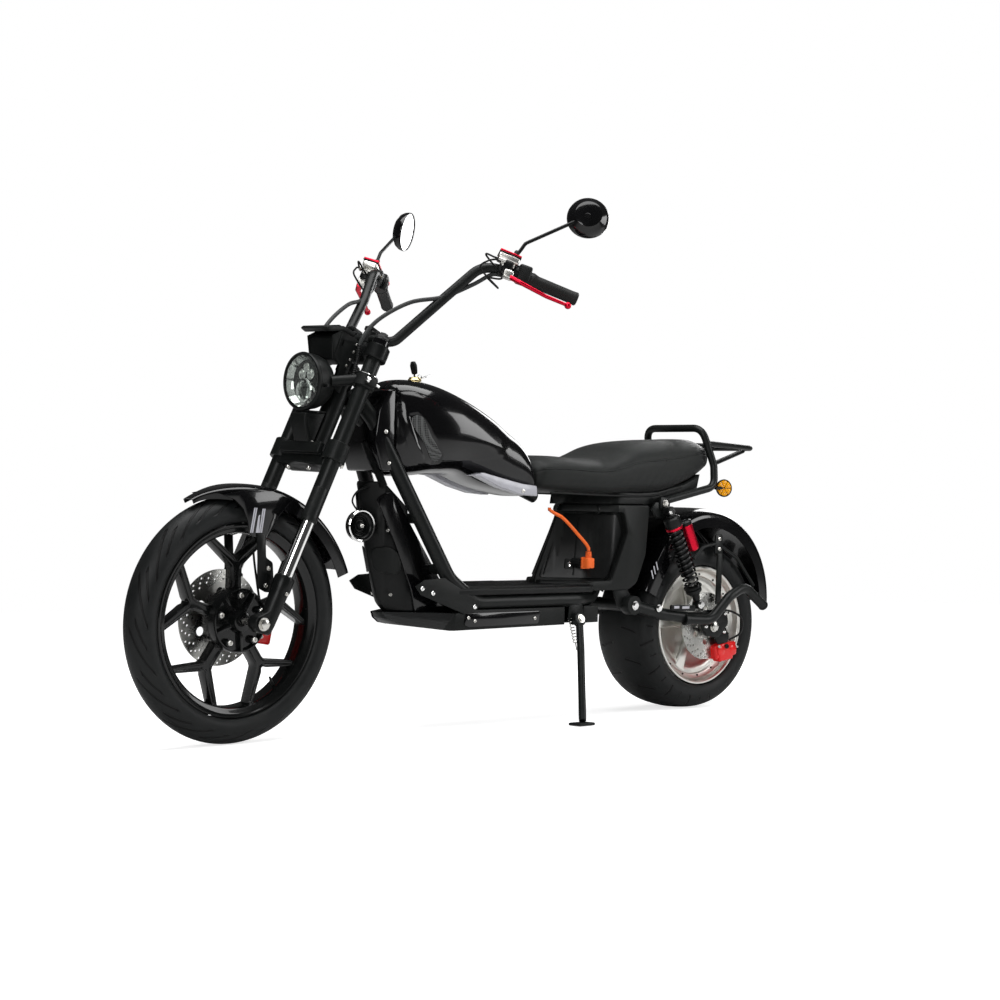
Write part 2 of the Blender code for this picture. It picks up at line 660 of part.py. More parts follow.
# Headlight, its brackets, the instrument console and the fork cowl

lamp = turned("headlight", steer, [
    (0, 0.052), (LAMP_RADIUS * 0.45, 0.047), (LAMP_RADIUS * 0.82, 0.034), (LAMP_RADIUS, 0.020),
    (LAMP_RADIUS + 0.003, 0.010), (LAMP_RADIUS, -0.010), (LAMP_RADIUS * 0.86, -0.040),
    (LAMP_RADIUS * 0.55, -0.062), (0, -0.068)],
    Matrix.Translation((LAMP_P, 0, LAMP_S)) @ Matrix.Rotation(math.pi / 2 + RAKE, 4, "Y"), 22)
lamp_arms = [rod(f"lamp_arm_{side}", steer, (LEG_LEAD + 0.020, sign * (LEG_Y - 0.010), LAMP_S + 0.03),
                 (LAMP_P, sign * (LAMP_RADIUS - 0.010), LAMP_S), 0.014) for side, sign in SIDES]
lamp_rings = [rod(f"lamp_ring_{side}", steer, (LEG_LEAD, sign * LEG_Y, LAMP_S + 0.012),
                  (LEG_LEAD, sign * LEG_Y, LAMP_S + 0.048), 0.029, sides=14) for side, sign in SIDES]
lamp_bores = [rod(f"lamp_bore_{side}", steer, (LEG_LEAD, sign * LEG_Y, LAMP_S - 0.05),
                  (LEG_LEAD, sign * LEG_Y, LAMP_S + 0.09), clear(SLEEVE_RADIUS, 14), sides=14)
              for side, sign in SIDES]
keep(cut(join(lamp, *lamp_arms, *lamp_rings), *lamp_bores), "gloss_black")

CLAMP_FACE = LEG_LEAD * 0.6 + 0.023 + GAP
console_outline = ((CLAMP_FACE, 0.706), (0.058, 0.664), (0.100, 0.666), (0.150, 0.690), (0.171, 0.722),
                   (0.166, 0.732), (0.110, 0.743), (0.064, 0.748), (CLAMP_FACE, 0.740))
console = side_plate("instrument_console", steer, console_outline, 0.116, 0)
keep(bevel(console, 0.004), "matte_black")
cowl_outline = ((CLAMP_FACE, 0.420), (0.070, 0.424), (0.088, 0.440), (0.092, 0.500), (0.062, 0.520),
                (0.040, 0.515), (0.040, 0.452), (CLAMP_FACE, 0.446))
keep(bevel(side_plate("fork_cowl", steer, cowl_outline, 0.130, 0), 0.004), "matte_black")


# Front fender and its stays

def arched(name, parent, centre, stations, half, lip, drop):
    """A fender: crown and side lips swept round a centre; stations are (degrees, radius)."""
    rows = []
    for degrees, radius in stations:
        turn = math.radians(degrees)
        row = []
        for share, sink in ((-1, lip), (-1, 0.35 * lip), (-0.86, 0.35 * drop), (-0.45, 0.08 * drop), (0, 0),
                            (0.45, 0.08 * drop), (0.86, 0.35 * drop), (1, 0.35 * lip), (1, lip)):
            reach = radius - sink
            row.append((centre[0] + reach * math.cos(turn), half * share, centre[1] + reach * math.sin(turn)))
        rows.append(row)
    return shell(name, parent, rows, 0.003)


front_stations = [(64 + k * 8, 0.316 + 0.0012 * k) for k in range(13)]
FENDER_HALF = 0.060
front_fender = arched("front_fender", front_axis, (0, 0), front_stations, FENDER_HALF, 0.030, 0.014)
fender_stays = []
for side, sign in SIDES:
    fender_stays.append(side_plate(
        f"front_fender_flap_{side}", front_axis,
        ((-0.072, 0.072), (-0.052, 0.068), (-0.040, 0.196), (-0.010, 0.205), (0.010, 0.296), (-0.120, 0.285),
         (-0.078, 0.195)), 0.0036, sign * (FENDER_HALF + 0.0005)))
    fender_stays.append(rod(
        f"front_fender_boss_{side}", front_axis, (-0.0613, sign * FENDER_HALF, 0.0780),
        (-0.0613, sign * (LEG_Y - (SLIDER_RADIUS - 0.003) * math.cos(math.pi / 14) - GAP), 0.0780), 0.008))
keep(join(front_fender, *fender_stays), "gloss_black")

CALIPER_ANGLE = math.radians(162)
CALIPER_REACH = FRONT_DISC_RADIUS - 0.003
caliper_at = Vector((AXLE_LEAD + CALIPER_REACH * math.cos(CALIPER_ANGLE), FRONT_DISC_Y - 0.003,
                     CALIPER_REACH * math.sin(CALIPER_ANGLE)))
caliper_turn = Matrix.Rotation(math.pi - CALIPER_ANGLE, 4, "Y")
front_caliper = bevel(box("front_caliper", steer, caliper_at, (0.046, 0.044, 0.080), caliper_turn), 0.006)
slot = box("front_caliper_slot", steer, (caliper_at.x + 0.032, FRONT_DISC_Y, caliper_at.z - 0.010),
           (0.084, DISC_THICKNESS + 0.011, 0.12), caliper_turn)
caliper_arm = box("caliper_arm", steer, (-0.024, -0.083, caliper_at.z - 0.004), (0.048, 0.020, 0.034))
leg_clear = rod("caliper_leg_clear", steer, (LEG_LEAD, -LEG_Y, -0.05), (LEG_LEAD, -LEG_Y, SLIDER_TOP_S - 0.016),
                clear(SLIDER_RADIUS - 0.003, 14), sides=14)
keep(cut(join(front_caliper, caliper_arm), slot, leg_clear), "red")


# Frame

def on_axis(s, p=0.0):
    """A point of the steering frame before it is steered, in the machine's frame."""
    return Vector((STEER_FOOT.x - s * math.sin(RAKE) + p * math.cos(RAKE), 0,
                   STEER_FOOT.z + s * math.cos(RAKE) + p * math.sin(RAKE)))


main_frame = rod("main_frame", root, on_axis(HEAD_LOW_S), on_axis(HEAD_HIGH_S), HEAD_TUBE_RADIUS, sides=14)
head_bore = rod("head_bore", root, on_axis(HEAD_LOW_S - 0.02), on_axis(HEAD_HIGH_S + 0.02), HEAD_BORE_RADIUS,
                sides=14)
neck = on_axis(0.640, -0.020)
DOWN_TUBE = ((neck.x, 0.018, neck.z), (1.139, 0.048, 0.774), (0.945, FLOOR_Y, 0.386),
             (0.860, FLOOR_Y, FLOOR_Z), (0.500, FLOOR_Y, FLOOR_Z), (0.410, UPRIGHT_Y, FLOOR_Z),
             (0.365, UPRIGHT_Y, SEAT_RAIL_Z), (0.150, UPRIGHT_Y, SEAT_RAIL_Z))
frame_pieces = []
for side, sign in SIDES:
    path = [(x, y * sign, z) for x, y, z in bent(DOWN_TUBE, 0.075, 2)]
    frame_pieces.append(tube(f"main_tube_{side}", root, path, MAIN_TUBE_RADIUS))
    frame_pieces.append(rod(f"seat_rail_{side}", root, (0.375, sign * UPRIGHT_Y, RAIL_TOP_Z - RAIL_RADIUS),
                            (0.625, sign * UPRIGHT_Y, RAIL_TOP_Z - RAIL_RADIUS), RAIL_RADIUS))
    frame_pieces.append(side_plate(
        f"pivot_plate_{side}", root, ((0.420, 0.304), (0.420, 0.330), (0.340, 0.338), (0.296, 0.322),
                                      (0.294, 0.290), (0.310, 0.278)), 0.012, sign * 0.092))

BRACE_X = 1.020
CROSS_TUBES = (
    # x, z, half length, radius
    (BRACE_X, 0.534, 0.080, RAIL_RADIUS),
    (0.956, 0.408, 0.105, RAIL_RADIUS),
    (0.800, FLOOR_Z, FLOOR_Y, RAIL_RADIUS),
    (0.560, FLOOR_Z, FLOOR_Y, RAIL_RADIUS),
    (0.615, RAIL_TOP_Z - RAIL_RADIUS, UPRIGHT_Y + 0.010, 0.011),
    (SHOCK_TOP[0], SHOCK_TOP[2] - 0.003, 0.133 - GAP, 0.0145),
    (PIVOT_X, PIVOT_Z, ARM_EYE_Y - GAP, 0.0160),
)
for side, sign in SIDES:
    frame_pieces.append(rod(f"shock_top_pin_{side}", root, (SHOCK_TOP[0], sign * 0.120, SHOCK_TOP[2]),
                            (SHOCK_TOP[0], sign * 0.168, SHOCK_TOP[2]), SHOCK_PIN_RADIUS, sides=12))
for k, (x, z, half, radius) in enumerate(CROSS_TUBES):
    frame_pieces.append(rod(f"cross_tube_{k}", root, (x, -half, z), (x, half, z), radius, sides=12))
backbone = bent(((neck.x, 0, neck.z - 0.03), (1.060, 0, 0.700), (0.850, 0, 0.690), (0.690, 0, 0.610),
                 (0.597, 0, RAIL_TOP_Z - BACKBONE_RADIUS)), 0.08, 2)
frame_pieces.append(tube("backbone", root, backbone, BACKBONE_RADIUS))
stand_lug = box("stand_lug", stand_axis, (0, -STAND_HUB_HALF - 0.0005 - 0.010, 0.0195), (0.040, 0.020, 0.060))
frame_pieces.append(bevel(stand_lug, 0.004))
join(main_frame, *frame_pieces)
keep(cut(main_frame, head_bore), "frame_black")

for side, sign in SIDES:
    gusset = side_plate(f"gusset_plate_{side}", root, (
        (1.010, 0.372), (0.985, 0.398), (0.925, 0.398), (0.852, 0.344), (0.845, 0.318), (0.870, 0.304),
        (0.925, 0.300)), 0.004, sign * (FLOOR_Y + MAIN_TUBE_FLAT + 0.002 + GAP))
    keep(bevel(gusset, 0.001, 1), "frame_black")


# Front box, horn, lower fairing and deck

NOSE_TOP = 0.300
BOX_BACK = BRACE_X + RAIL_RADIUS + GAP
front_box = slab("front_box", root, (
    (1.175, 0.585), (1.168, 0.500), (1.125, 0.420), (1.092, 0.330), (1.085, NOSE_TOP + GAP),
    (0.998, NOSE_TOP + GAP), (0.998, 0.416), (BOX_BACK, 0.508), (BOX_BACK, 0.560), (1.110, 0.620),
    (1.155, 0.615)), BOX_HALF, 0.008)
keep(front_box, "matte_black")

horn_y = BOX_HALF + 0.012
horn = turned("horn", root, [
    (0, 0.034), (0.020, 0.033), (0.034, 0.026), (0.040, 0.016), (0.040, 0.008), (0.034, 0.002), (0.016, 0),
    (0.016, -0.012 + GAP), (0, -0.012 + GAP)],
    Matrix.Translation((1.150, horn_y, 0.517)) @ ACROSS, 18)
keep(horn, "chrome")

FAIRING_TOP = FLOOR_Z - MAIN_TUBE_FLAT - GAP
fairing_outline = ((0.425, 0.262), (0.425, FAIRING_TOP), (0.900, FAIRING_TOP), (0.930, NOSE_TOP),
                   (1.083, NOSE_TOP), (1.070, 0.284), (1.030, 0.268), (0.945, 0.256))
fairing = side_plate("lower_fairing", root, fairing_outline, 0.264, 0)
tray = box("fairing_tray", root, (0.690, 0, 0.300), (0.500, 0.220, 0.070))
stand_notch = box("stand_notch", root, (STAND_PIVOT[0], 0.130, 0.28), (0.070, 0.080, 0.08))
stow_relief = box("stow_relief", root, (0.480, 0.148, 0.28), (0.160, 0.060, 0.08))
nose_cuts = [box(f"nose_cut_{side}", root, (1.09, sign * 0.158, 0.28), (0.26, 0.12, 0.10),
                 Matrix.Rotation(-sign * math.radians(21), 4, "Z")) for side, sign in SIDES]
keep(cut(fairing, tray, stand_notch, stow_relief, *nose_cuts), "matte_black")

DECK_TOP = FLOOR_Z + MAIN_TUBE_FLAT + GAP + DECK_THICKNESS
DECK_NOSE = FLOOR_Y - MAIN_TUBE_RADIUS - 0.004
deck_outline = ((DECK_REAR_X, -DECK_HALF), (0.815, -DECK_HALF), (0.830, -DECK_NOSE), (DECK_FRONT_X, -DECK_NOSE),
                (DECK_FRONT_X, DECK_NOSE), (0.830, DECK_NOSE), (0.815, DECK_HALF), (DECK_REAR_X, DECK_HALF))
deck = plate("footboard", root, deck_outline, DECK_THICKNESS,
             Matrix.Translation((0, 0, DECK_TOP - DECK_THICKNESS / 2)))
ribs = [box(f"deck_rib_{k}", root, (0.755, (k - (DECK_RIBS - 1) / 2) * 0.025, DECK_TOP),
            (0.19, 0.012, 0.006)) for k in range(DECK_RIBS)]
keep(join(bevel(deck, 0.004, 1), *ribs), "rubber")


# Rear body, its battery and charge port

BODY_FLOOR = DECK_TOP + GAP
body_outline = ((0.648, BODY_FLOOR), (0.652, BODY_FLOOR + 0.014), (0.572, SEAT_DECK_Z), (0.246, SEAT_DECK_Z),
                (0.258, 0.440), (0.290, 0.365), (0.320, 0.3465), (DECK_REAR_X - 0.002, 0.3465),
                (DECK_REAR_X - 0.002, BODY_FLOOR))
rear_body = slab("rear_body", root, body_outline, BODY_HALF, 0.008)
cavity_outline = ((0.620, BODY_FLOOR - 0.05), (0.615, BODY_FLOOR + 0.02), (0.548, 0.5455), (0.610, 0.5455), (0.610, 0.62),
                  (0.2, 0.62), (0.2, 0.5345), (0.276, 0.5345), (0.284, 0.446), (0.312, 0.372),
                  (0.330, 0.362), (0.330, BODY_FLOOR - 0.05))
cavity = side_plate("body_cavity", root, cavity_outline, 2 * (BODY_HALF - BODY_WALL), 0)
recesses = [side_plate(f"body_recess_{side}", root, (
    (0.608, 0.396), (0.552, 0.550), (0.345, 0.546), (0.330, 0.500), (0.375, 0.396)), 0.036,
    sign * BODY_HALF) for side, sign in SIDES]
keep(cut(rear_body, cavity, *recesses), "matte_black")

battery = bevel(box("battery_pack", root, (0.446, 0, BODY_FLOOR + 0.075), (0.190, 0.110, 0.150)), 0.004)
keep(battery, "matte_black")

RECESS_FACE = BODY_HALF - 0.018
port = bevel(box("charge_port", root, (PORT_X, RECESS_FACE + 0.006 + GAP, PORT_Z), (0.034, 0.012, 0.040)), 0.002)
keep(port, "matte_black")


# Tank, neck cover and key switch

TANK_SECTIONS = (
    # x, underside, top, half width
    (0.668, 0.612, 0.664, 0.060), (0.690, 0.612, 0.742, 0.088), (0.740, 0.632, 0.786, 0.104),
    (0.800, 0.646, 0.824, 0.114), (0.870, 0.650, 0.858, 0.120), (0.950, 0.646, 0.880, 0.121),
    (1.020, 0.640, 0.880, 0.112), (1.070, 0.640, 0.872, 0.094), (1.088, 0.650, 0.858, 0.074),
)
TUNNEL_REACH = (BACKBONE_RADIUS + GAP) * 1.03
tank = loft("tank", root, [pillow_ring(x, low, high, half) for x, low, high, half in TANK_SECTIONS])
channel = []
for before, point, after in zip(backbone[:1] + backbone, backbone, backbone[1:] + backbone[-1:]):
    along = (after - before).normalized()
    channel.append((point.x + along.z * TUNNEL_REACH, point.z - along.x * TUNNEL_REACH))
tunnel = side_plate("tank_tunnel", root, channel + [(backbone[-1].x, 0.540), (backbone[0].x, 0.540)],
                    2 * BACKBONE_RADIUS + 0.008, 0)

COVER_BACK = TANK_SECTIONS[-1][0] + GAP
cover = side_plate("neck_cover", root, (
    (COVER_BACK, 0.650), (1.128, 0.650), (1.152, 0.720), (1.140, 0.800), (1.112, 0.852), (COVER_BACK, 0.852)),
    0.150, 0)
tube_cuts = [tube(f"tube_cut_{side}", root,
                   [(x, y * sign, z) for x, y, z in bent(DOWN_TUBE, 0.075, 2)[:5]],
                   MAIN_TUBE_RADIUS + 2 * GAP) for side, sign in SIDES]
cover_spine = tube("cover_spine", root, backbone[:5], BACKBONE_RADIUS + 2 * GAP)
keep(cut(bevel(cover, 0.006, 1, 50), *tube_cuts, cover_spine), "matte_black")
keep(cut(tank, tunnel, *tube_cuts), "gloss_black")

key_switch = turned("key_switch", root, [
    (0, 0.020), (0.012, 0.020), (0.014, 0.017), (0.014, 0.006), (0.022, 0.004), (0.022, 0), (0, 0)],
    Matrix.Translation((0.975, 0, 0.8790 + GAP)), 12)
key = box("key", root, (0.975, 0, 0.9165), (0.020, 0.003, 0.050))
keep(join(key_switch, bevel(key, 0.001, 1)), "steel")


# Seat and its base

SEAT_SECTIONS = (
    # x, underside, top, half width
    (0.664, 0.628, 0.676, 0.070), (0.645, 0.612, 0.698, 0.100), (0.560, 0.606, 0.702, 0.122),
    (0.450, 0.602, 0.700, 0.136), (0.360, 0.600, 0.714, 0.143), (0.290, 0.600, 0.742, 0.143),
    (0.200, 0.604, 0.760, 0.136), (0.100, 0.628, 0.762, 0.122), (0.030, 0.656, 0.752, 0.104),
    (-0.012, 0.676, 0.722, 0.078),
)
seat = loft("seat", root, [pillow_ring(x, low, high, half, 3.2) for x, low, high, half in SEAT_SECTIONS])
keep(seat, "vinyl")

base_outline = ((0.648, SEAT_DECK_Z + GAP), (0.655, 0.620), (0.560, 0.616), (0.450, 0.612), (0.280, 0.611),
                (0.200, 0.615), (0.095, 0.638), (0.030, 0.664), (0.040, 0.626), (0.130, 0.590), (0.180, SEAT_DECK_Z + GAP))
base = slab("seat_base", root, base_outline, 0.110, 0.004)
base_tunnel = box("base_tunnel", root, (0.630, 0, 0.580), (0.090, 2 * BACKBONE_RADIUS + 0.004, 0.060))
seat_bed = loft("seat_bed", root, [pillow_ring(x, low - 3 * GAP, high + 3 * GAP, half + 3 * GAP, 3.2)
                                   for x, low, high, half in SEAT_SECTIONS])
GLAND_Z = 0.5665
gland = rod("cord_gland", root, (*CORD_TOP, GLAND_Z), (*CORD_TOP, 0.590), 0.0075)
keep(join(cut(base, seat_bed, base_tunnel), gland), "matte_black")


# Swingarm, shock absorbers, rear axle, caliper and fender

AXLE_Z = REAR_TYRE_RADIUS
arm_parts = []
for side, sign in SIDES:
    arm_parts.append(tube(f"arm_tube_{side}", root, bent((
        (PIVOT_X, sign * ARM_Y, PIVOT_Z), (0.200, sign * 0.136, 0.278), (0.100, sign * 0.140, 0.266),
        (0.010, sign * 0.140, 0.262)), 0.08, 2), 0.0168))
    arm_parts.append(rod(f"arm_eye_{side}", root, (PIVOT_X, sign * ARM_EYE_Y, PIVOT_Z),
                         (PIVOT_X, sign * 0.145, PIVOT_Z), 0.026, sides=14))
    arm_parts.append(rod(f"arm_bolt_{side}", root, (PIVOT_X, sign * 0.140, PIVOT_Z),
                         (PIVOT_X, sign * 0.154, PIVOT_Z), 0.013, sides=6))
    arm_parts.append(side_plate(f"axle_plate_{side}", root, (
        (0.060, 0.268), (0.028, 0.212), (-0.020, 0.206), (-0.062, 0.246), (-0.052, 0.282), (0.030, 0.286)),
        0.012, sign * 0.140))
    arm_parts.append(side_plate(f"shock_lug_{side}", root, (
        (0.100, 0.262), (0.090, 0.300), (0.071, 0.318), (0.052, 0.300), (0.044, 0.262)), 0.012,
        sign * (0.1375 - 0.006)))
    arm_parts.append(tube(f"axle_guard_{side}", root, bent((
        (0.120, sign * 0.150, 0.262), (0.030, sign * 0.162, 0.258), (-0.038, sign * 0.166, 0.322),
        (-0.100, sign * 0.166, 0.352), (-0.190, sign * 0.162, 0.292)), 0.05, 2), 0.0155))
    arm_parts.append(rod(f"shock_pin_{side}", root, (SHOCK_FOOT[0], sign * 0.130, SHOCK_FOOT[2]),
                         (SHOCK_FOOT[0], sign * 0.168, SHOCK_FOOT[2]), SHOCK_PIN_RADIUS, sides=12))
# A cross bridge ahead of the tyre ties the two arms together
arm_bridge = rod("swingarm", root, (0.268, -0.127, 0.294), (0.268, 0.127, 0.294), 0.0120)
axle_bores = [rod("rear_axle_bore", root, (0, -0.2, AXLE_Z), (0, 0.2, AXLE_Z), clear(REAR_AXLE_RADIUS, 10))]
join(arm_bridge, *arm_parts)
keep(cut(arm_bridge, *axle_bores), "frame_black")

rear_axle = rod("rear_axle", root, (0, -0.158, AXLE_Z), (0, 0.158, AXLE_Z), REAR_AXLE_RADIUS)
nuts = [rod(f"rear_axle_nut_{side}", root, (0, sign * (0.146 + GAP), AXLE_Z), (0, sign * 0.155, AXLE_Z),
            0.0140, sides=6) for side, sign in SIDES]
collars = [rod("rear_axle_collar_left", root, (0, REAR_DISC_Y + 0.007, AXLE_Z), (0, 0.134 - GAP, AXLE_Z), 0.0125),
           rod("rear_axle_collar_right", root, (0, -0.103, AXLE_Z), (0, -0.134 + GAP, AXLE_Z), 0.0125)]
keep(join(rear_axle, *nuts, *collars), "steel")

rear_caliper = bevel(box("rear_caliper", root, (-0.066, 0.112, 0.168), (0.074, 0.046, 0.040),
                         Matrix.Rotation(math.radians(42), 4, "Y")), 0.006)
caliper_slot = box("rear_caliper_slot", root, (-0.056, REAR_DISC_Y, 0.178), (0.12, 0.014, 0.060),
                   Matrix.Rotation(math.radians(42), 4, "Y"))
caliper_bracket = side_plate("caliper_bracket", root, (
    (-0.030, 0.222), (-0.050, 0.160), (-0.078, 0.170), (-0.062, 0.230)), 0.008, 0.1297)
keep(join(cut(rear_caliper, caliper_slot), caliper_bracket), "red")


def shock(side, sign):
    """A coil-over damper: two eyes, a body with collars, a rod, the coil and its reservoir."""
    top = Vector((SHOCK_TOP[0], sign * SHOCK_TOP[1], SHOCK_TOP[2]))
    foot = Vector((SHOCK_FOOT[0], sign * SHOCK_FOOT[1], SHOCK_FOOT[2]))
    length = (top - foot).length
    up = (top - foot).normalized()
    back = (-X + up * up.x).normalized()
    stand = Matrix.Translation(foot) @ Matrix((back, Y * sign, up)).transposed().to_4x4()
    if stand.determinant() < 0:
        stand = Matrix.Translation(foot) @ Matrix((back, -Y * sign, up)).transposed().to_4x4()
    body = turned(f"shock_{side}", root, [
        (0, length - 0.006), (0.013, length - 0.008), (0.016, length - 0.030), (0.029, length - 0.032),
        (0.029, length - 0.044), (0.016, length - 0.046), (0.016, 0.120), (0.008, 0.118), (0.008, 0.052),
        (0.025, 0.050), (0.025, 0.042), (0.012, 0.038), (0.010, 0.006), (0, 0.004)], stand, 12)
    eyes = [rod(f"shock_eye_{k}_{side}", root, (x, y - 0.012, z), (x, y + 0.012, z), 0.017)
            for k, (x, y, z) in enumerate((top, foot))]
    turns, points, radius, wire = 6, 8, 0.0235, 0.0048
    low, high = 0.048, length - 0.038
    coil_points = []
    for k in range(turns * points + 1):
        angle = math.tau * k / points
        rise = low + (high - low) * k / (turns * points)
        coil_points.append(stand @ Vector((radius * math.cos(angle), radius * math.sin(angle), rise)))
    coil = tube(f"shock_coil_{side}", root, coil_points, wire, 6)
    reservoir = rod(f"shock_reservoir_{side}", root, stand @ Vector((0.050, 0, 0.165)),
                    stand @ Vector((0.050, 0, 0.238)), 0.0150)
    link = box(f"shock_link_{side}", root, stand @ Vector((0.028, 0, 0.247)), (0.058, 0.018, 0.022),
               stand.to_3x3().to_4x4())
    eye_bores = [rod(f"shock_bore_{k}_{side}", root, (x, y - 0.05, z), (x, y + 0.05, z),
                     clear(SHOCK_PIN_RADIUS, 12), sides=12) for k, (x, y, z) in enumerate((top, foot))]
    join(body, *eyes, coil, reservoir, link)
    return keep(cut(body, *eye_bores), "frame_black")


for side, sign in SIDES:
    shock(side, sign)

REAR_FENDER = ((24, 0.262), (36, 0.266), (48, 0.276), (60, 0.296), (72, 0.314), (84, 0.326), (96, 0.332),
               (108, 0.333), (120, 0.330), (132, 0.324), (144, 0.315), (156, 0.304), (168, 0.292))
rear_fender = arched("rear_fender", rear_axis, (0, 0), REAR_FENDER, 0.112, 0.034, 0.020)
stays = []
for side, sign in SIDES:
    stays.append(side_plate(f"fender_stay_{side}", rear_axis, (
        (-0.034, 0.038), (-0.014, 0.038), (-0.040, 0.300), (-0.060, 0.300)), 0.005, sign * 0.1215))
    stays.append(rod(f"fender_boss_{side}", rear_axis, (-0.024, sign * 0.1200, 0.046),
                     (-0.024, sign * (0.134 - GAP), 0.046), 0.0070))
    stays.append(rod(f"fender_spacer_{side}", rear_axis, (-0.048, sign * 0.1105, 0.289),
                     (-0.048, sign * 0.1215, 0.289), 0.0080))
keep(join(rear_fender, *stays), "gloss_black")

# The tail lamp sits on the flat between two of the fender's stations
upper_edge, lower_edge = [Vector((radius * math.cos(math.radians(degrees)), 0, radius * math.sin(math.radians(degrees))))
                          for degrees, radius in REAR_FENDER[10:12]]
tail_down = (lower_edge - upper_edge).normalized()
tail_out = Vector((tail_down.z, 0, -tail_down.x))
TAIL_DEPTH = 0.030
tail = bevel(box("tail_lamp", rear_axis, (upper_edge + lower_edge) / 2 + tail_out * (TAIL_DEPTH / 2 + GAP),
                 (TAIL_DEPTH, 0.090, 0.036), Matrix((tail_out, Y, tail_out.cross(Y))).transposed().to_4x4()), 0.006)
keep(tail, "tail_red")


# Grab rail and rack

RACK_FACE = (-0.128, 0.0, 0.7535)
GRAB_FOOT_Z = SHOCK_TOP[2] - 0.003 + 0.0145 + GAP
grab = tube("grab_rail", root, bent((
    (SHOCK_TOP[0], -0.126, SHOCK_TOP[2] + 0.026), (0.004, -0.139, 0.630), (-0.006, -0.126, 0.690),
    (0.026, -0.108, 0.794), (0.026, 0.108, 0.794), (-0.006, 0.126, 0.690), (0.004, 0.139, 0.630),
    (SHOCK_TOP[0], 0.126, SHOCK_TOP[2] + 0.026)), 0.035, 2), 0.0105)
rack_pieces = [
    tube("rack_upper", root, bent(((0.010, -0.112, 0.752), (-0.215, -0.085, 0.744), (-0.215, 0.085, 0.744),
                                   (0.010, 0.112, 0.752)), 0.03, 2), 0.0080, 8),
    tube("rack_lower", root, bent(((-0.004, -0.124, 0.694), (-0.200, -0.060, 0.736), (-0.200, 0.060, 0.736),
                                   (-0.004, 0.124, 0.694)), 0.03, 2), 0.0065, 8)]
for k in range(3):
    y = (k - 1) * 0.050
    rack_pieces.append(box(f"rack_slat_{k}", root, (RACK_FACE[0], y, RACK_FACE[2] - 0.003), (0.190, 0.020, 0.006)))
rack_pieces.append(rod("rack_cross", root, (-0.037, -0.108, 0.7465), (-0.037, 0.108, 0.7465), 0.0065, sides=8))
for side, sign in SIDES:
    rack_pieces.append(side_plate(f"grab_foot_{side}", root, (
        (0.218, GRAB_FOOT_Z), (0.218, 0.600), (0.174, 0.600), (0.174, GRAB_FOOT_Z)), 0.012, sign * 0.126))
keep(join(grab, *rack_pieces), "frame_black")


# Side stand, deployed: its axis is tilted so that it folds up beside the arm

ground_z = STAND_FOOT[1] * math.tan(LEAN)
upright = Matrix.Rotation(-STAND_TILT, 4, "X")
foot = Vector((STAND_FOOT[0], STAND_FOOT[1], ground_z)) - Vector(STAND_PIVOT)
level = upright @ Matrix.Rotation(LEAN, 4, "X")
stand_hub = turned("side_stand", stand_axis, [
    (0, STAND_HUB_HALF), (0.016, STAND_HUB_HALF), (0.018, 0.007), (0.018, -0.007), (0.016, -STAND_HUB_HALF),
    (0, -STAND_HUB_HALF)], ACROSS, 12)
leg = tube("stand_leg", stand_axis, bent((
    (0, 0, -0.006), upright @ (foot * 0.30) + Vector((0, 0.004, 0)), upright @ (foot + Vector((0, 0, 0.012)))),
    0.1, 2), STAND_RADIUS)
pad = box("stand_pad", stand_axis, upright @ (foot + Vector((0.006, 0.004, 0.005))), (0.056, 0.046, 0.008), level)
floor_cut = box("stand_floor", stand_axis, upright @ (foot - Vector((0, 0, 0.05))), (0.3, 0.3, 0.1), level)
keep(cut(join(stand_hub, leg, pad), floor_cut), "frame_black")


# Charging lead: from under the seat to the plug in the charge port

PLUG_Y = RECESS_FACE + 0.012 + 0.013 + 2 * GAP
BOOT_TOP = PORT_Z + 0.032
plug = box("charge_plug", root, (PORT_X, PLUG_Y, PORT_Z), (0.026, 0.026, 0.028))
boot = rod("plug_boot", root, (PORT_X, PLUG_Y, PORT_Z), (PORT_X, PLUG_Y, BOOT_TOP), 0.0085, 0.0065)
keep(join(plug, boot), "orange")
CORD_ROUTE = ((*CORD_TOP, GLAND_Z - GAP), (*CORD_TOP, GLAND_Z - 0.006), (0.5935, 0.117, 0.5525),
              (0.580, 0.1335, 0.5420), (0.552, 0.1355, 0.5210), (0.520, 0.1360, 0.4940),
              (0.494, 0.1358, 0.4730), (PORT_X, PLUG_Y, BOOT_TOP + 0.007), (PORT_X, PLUG_Y, BOOT_TOP + GAP))


def smooth(route, parts_between):
    """A curve through the route's own points, with a straight run at each end."""
    start, *route, end = [Vector(p) for p in route]
    padded = [route[0] * 2 - route[1]] + route + [route[-1] * 2 - route[-2]]
    path = [start]
    for a, b, c, d in zip(padded, padded[1:], padded[2:], padded[3:]):
        for k in range(parts_between):
            t = k / parts_between
            path.append(0.5 * (2 * b + (c - a) * t + (2 * a - 5 * b + 4 * c - d) * t * t
                               + (3 * b - a - 3 * c + d) * t ** 3))
    return path + [route[-1], end]


keep(tube("charging_lead", root, smooth(CORD_ROUTE, 2), CORD_RADIUS, mesh=False), "orange")


# Stand the machine on its floor

bpy.context.view_layer.update()
depsgraph = bpy.context.evaluated_depsgraph_get()
low, high = Vector((9, 9, 9)), Vector((-9, -9, -9))
CORD_NODES = ("charging_lead", "charge_plug")
for made in parts.objects:
    if made.type == "EMPTY" or made.name in CORD_NODES:
        continue
    for point in made.evaluated_get(depsgraph).to_mesh().vertices:
        world = made.matrix_world @ point.co
        low = Vector(map(min, low, world))
        high = Vector(map(max, high, world))
root.location = (-(low.x + high.x) / 2, -(low.y + high.y) / 2, -low.z)
bpy.context.view_layer.update()
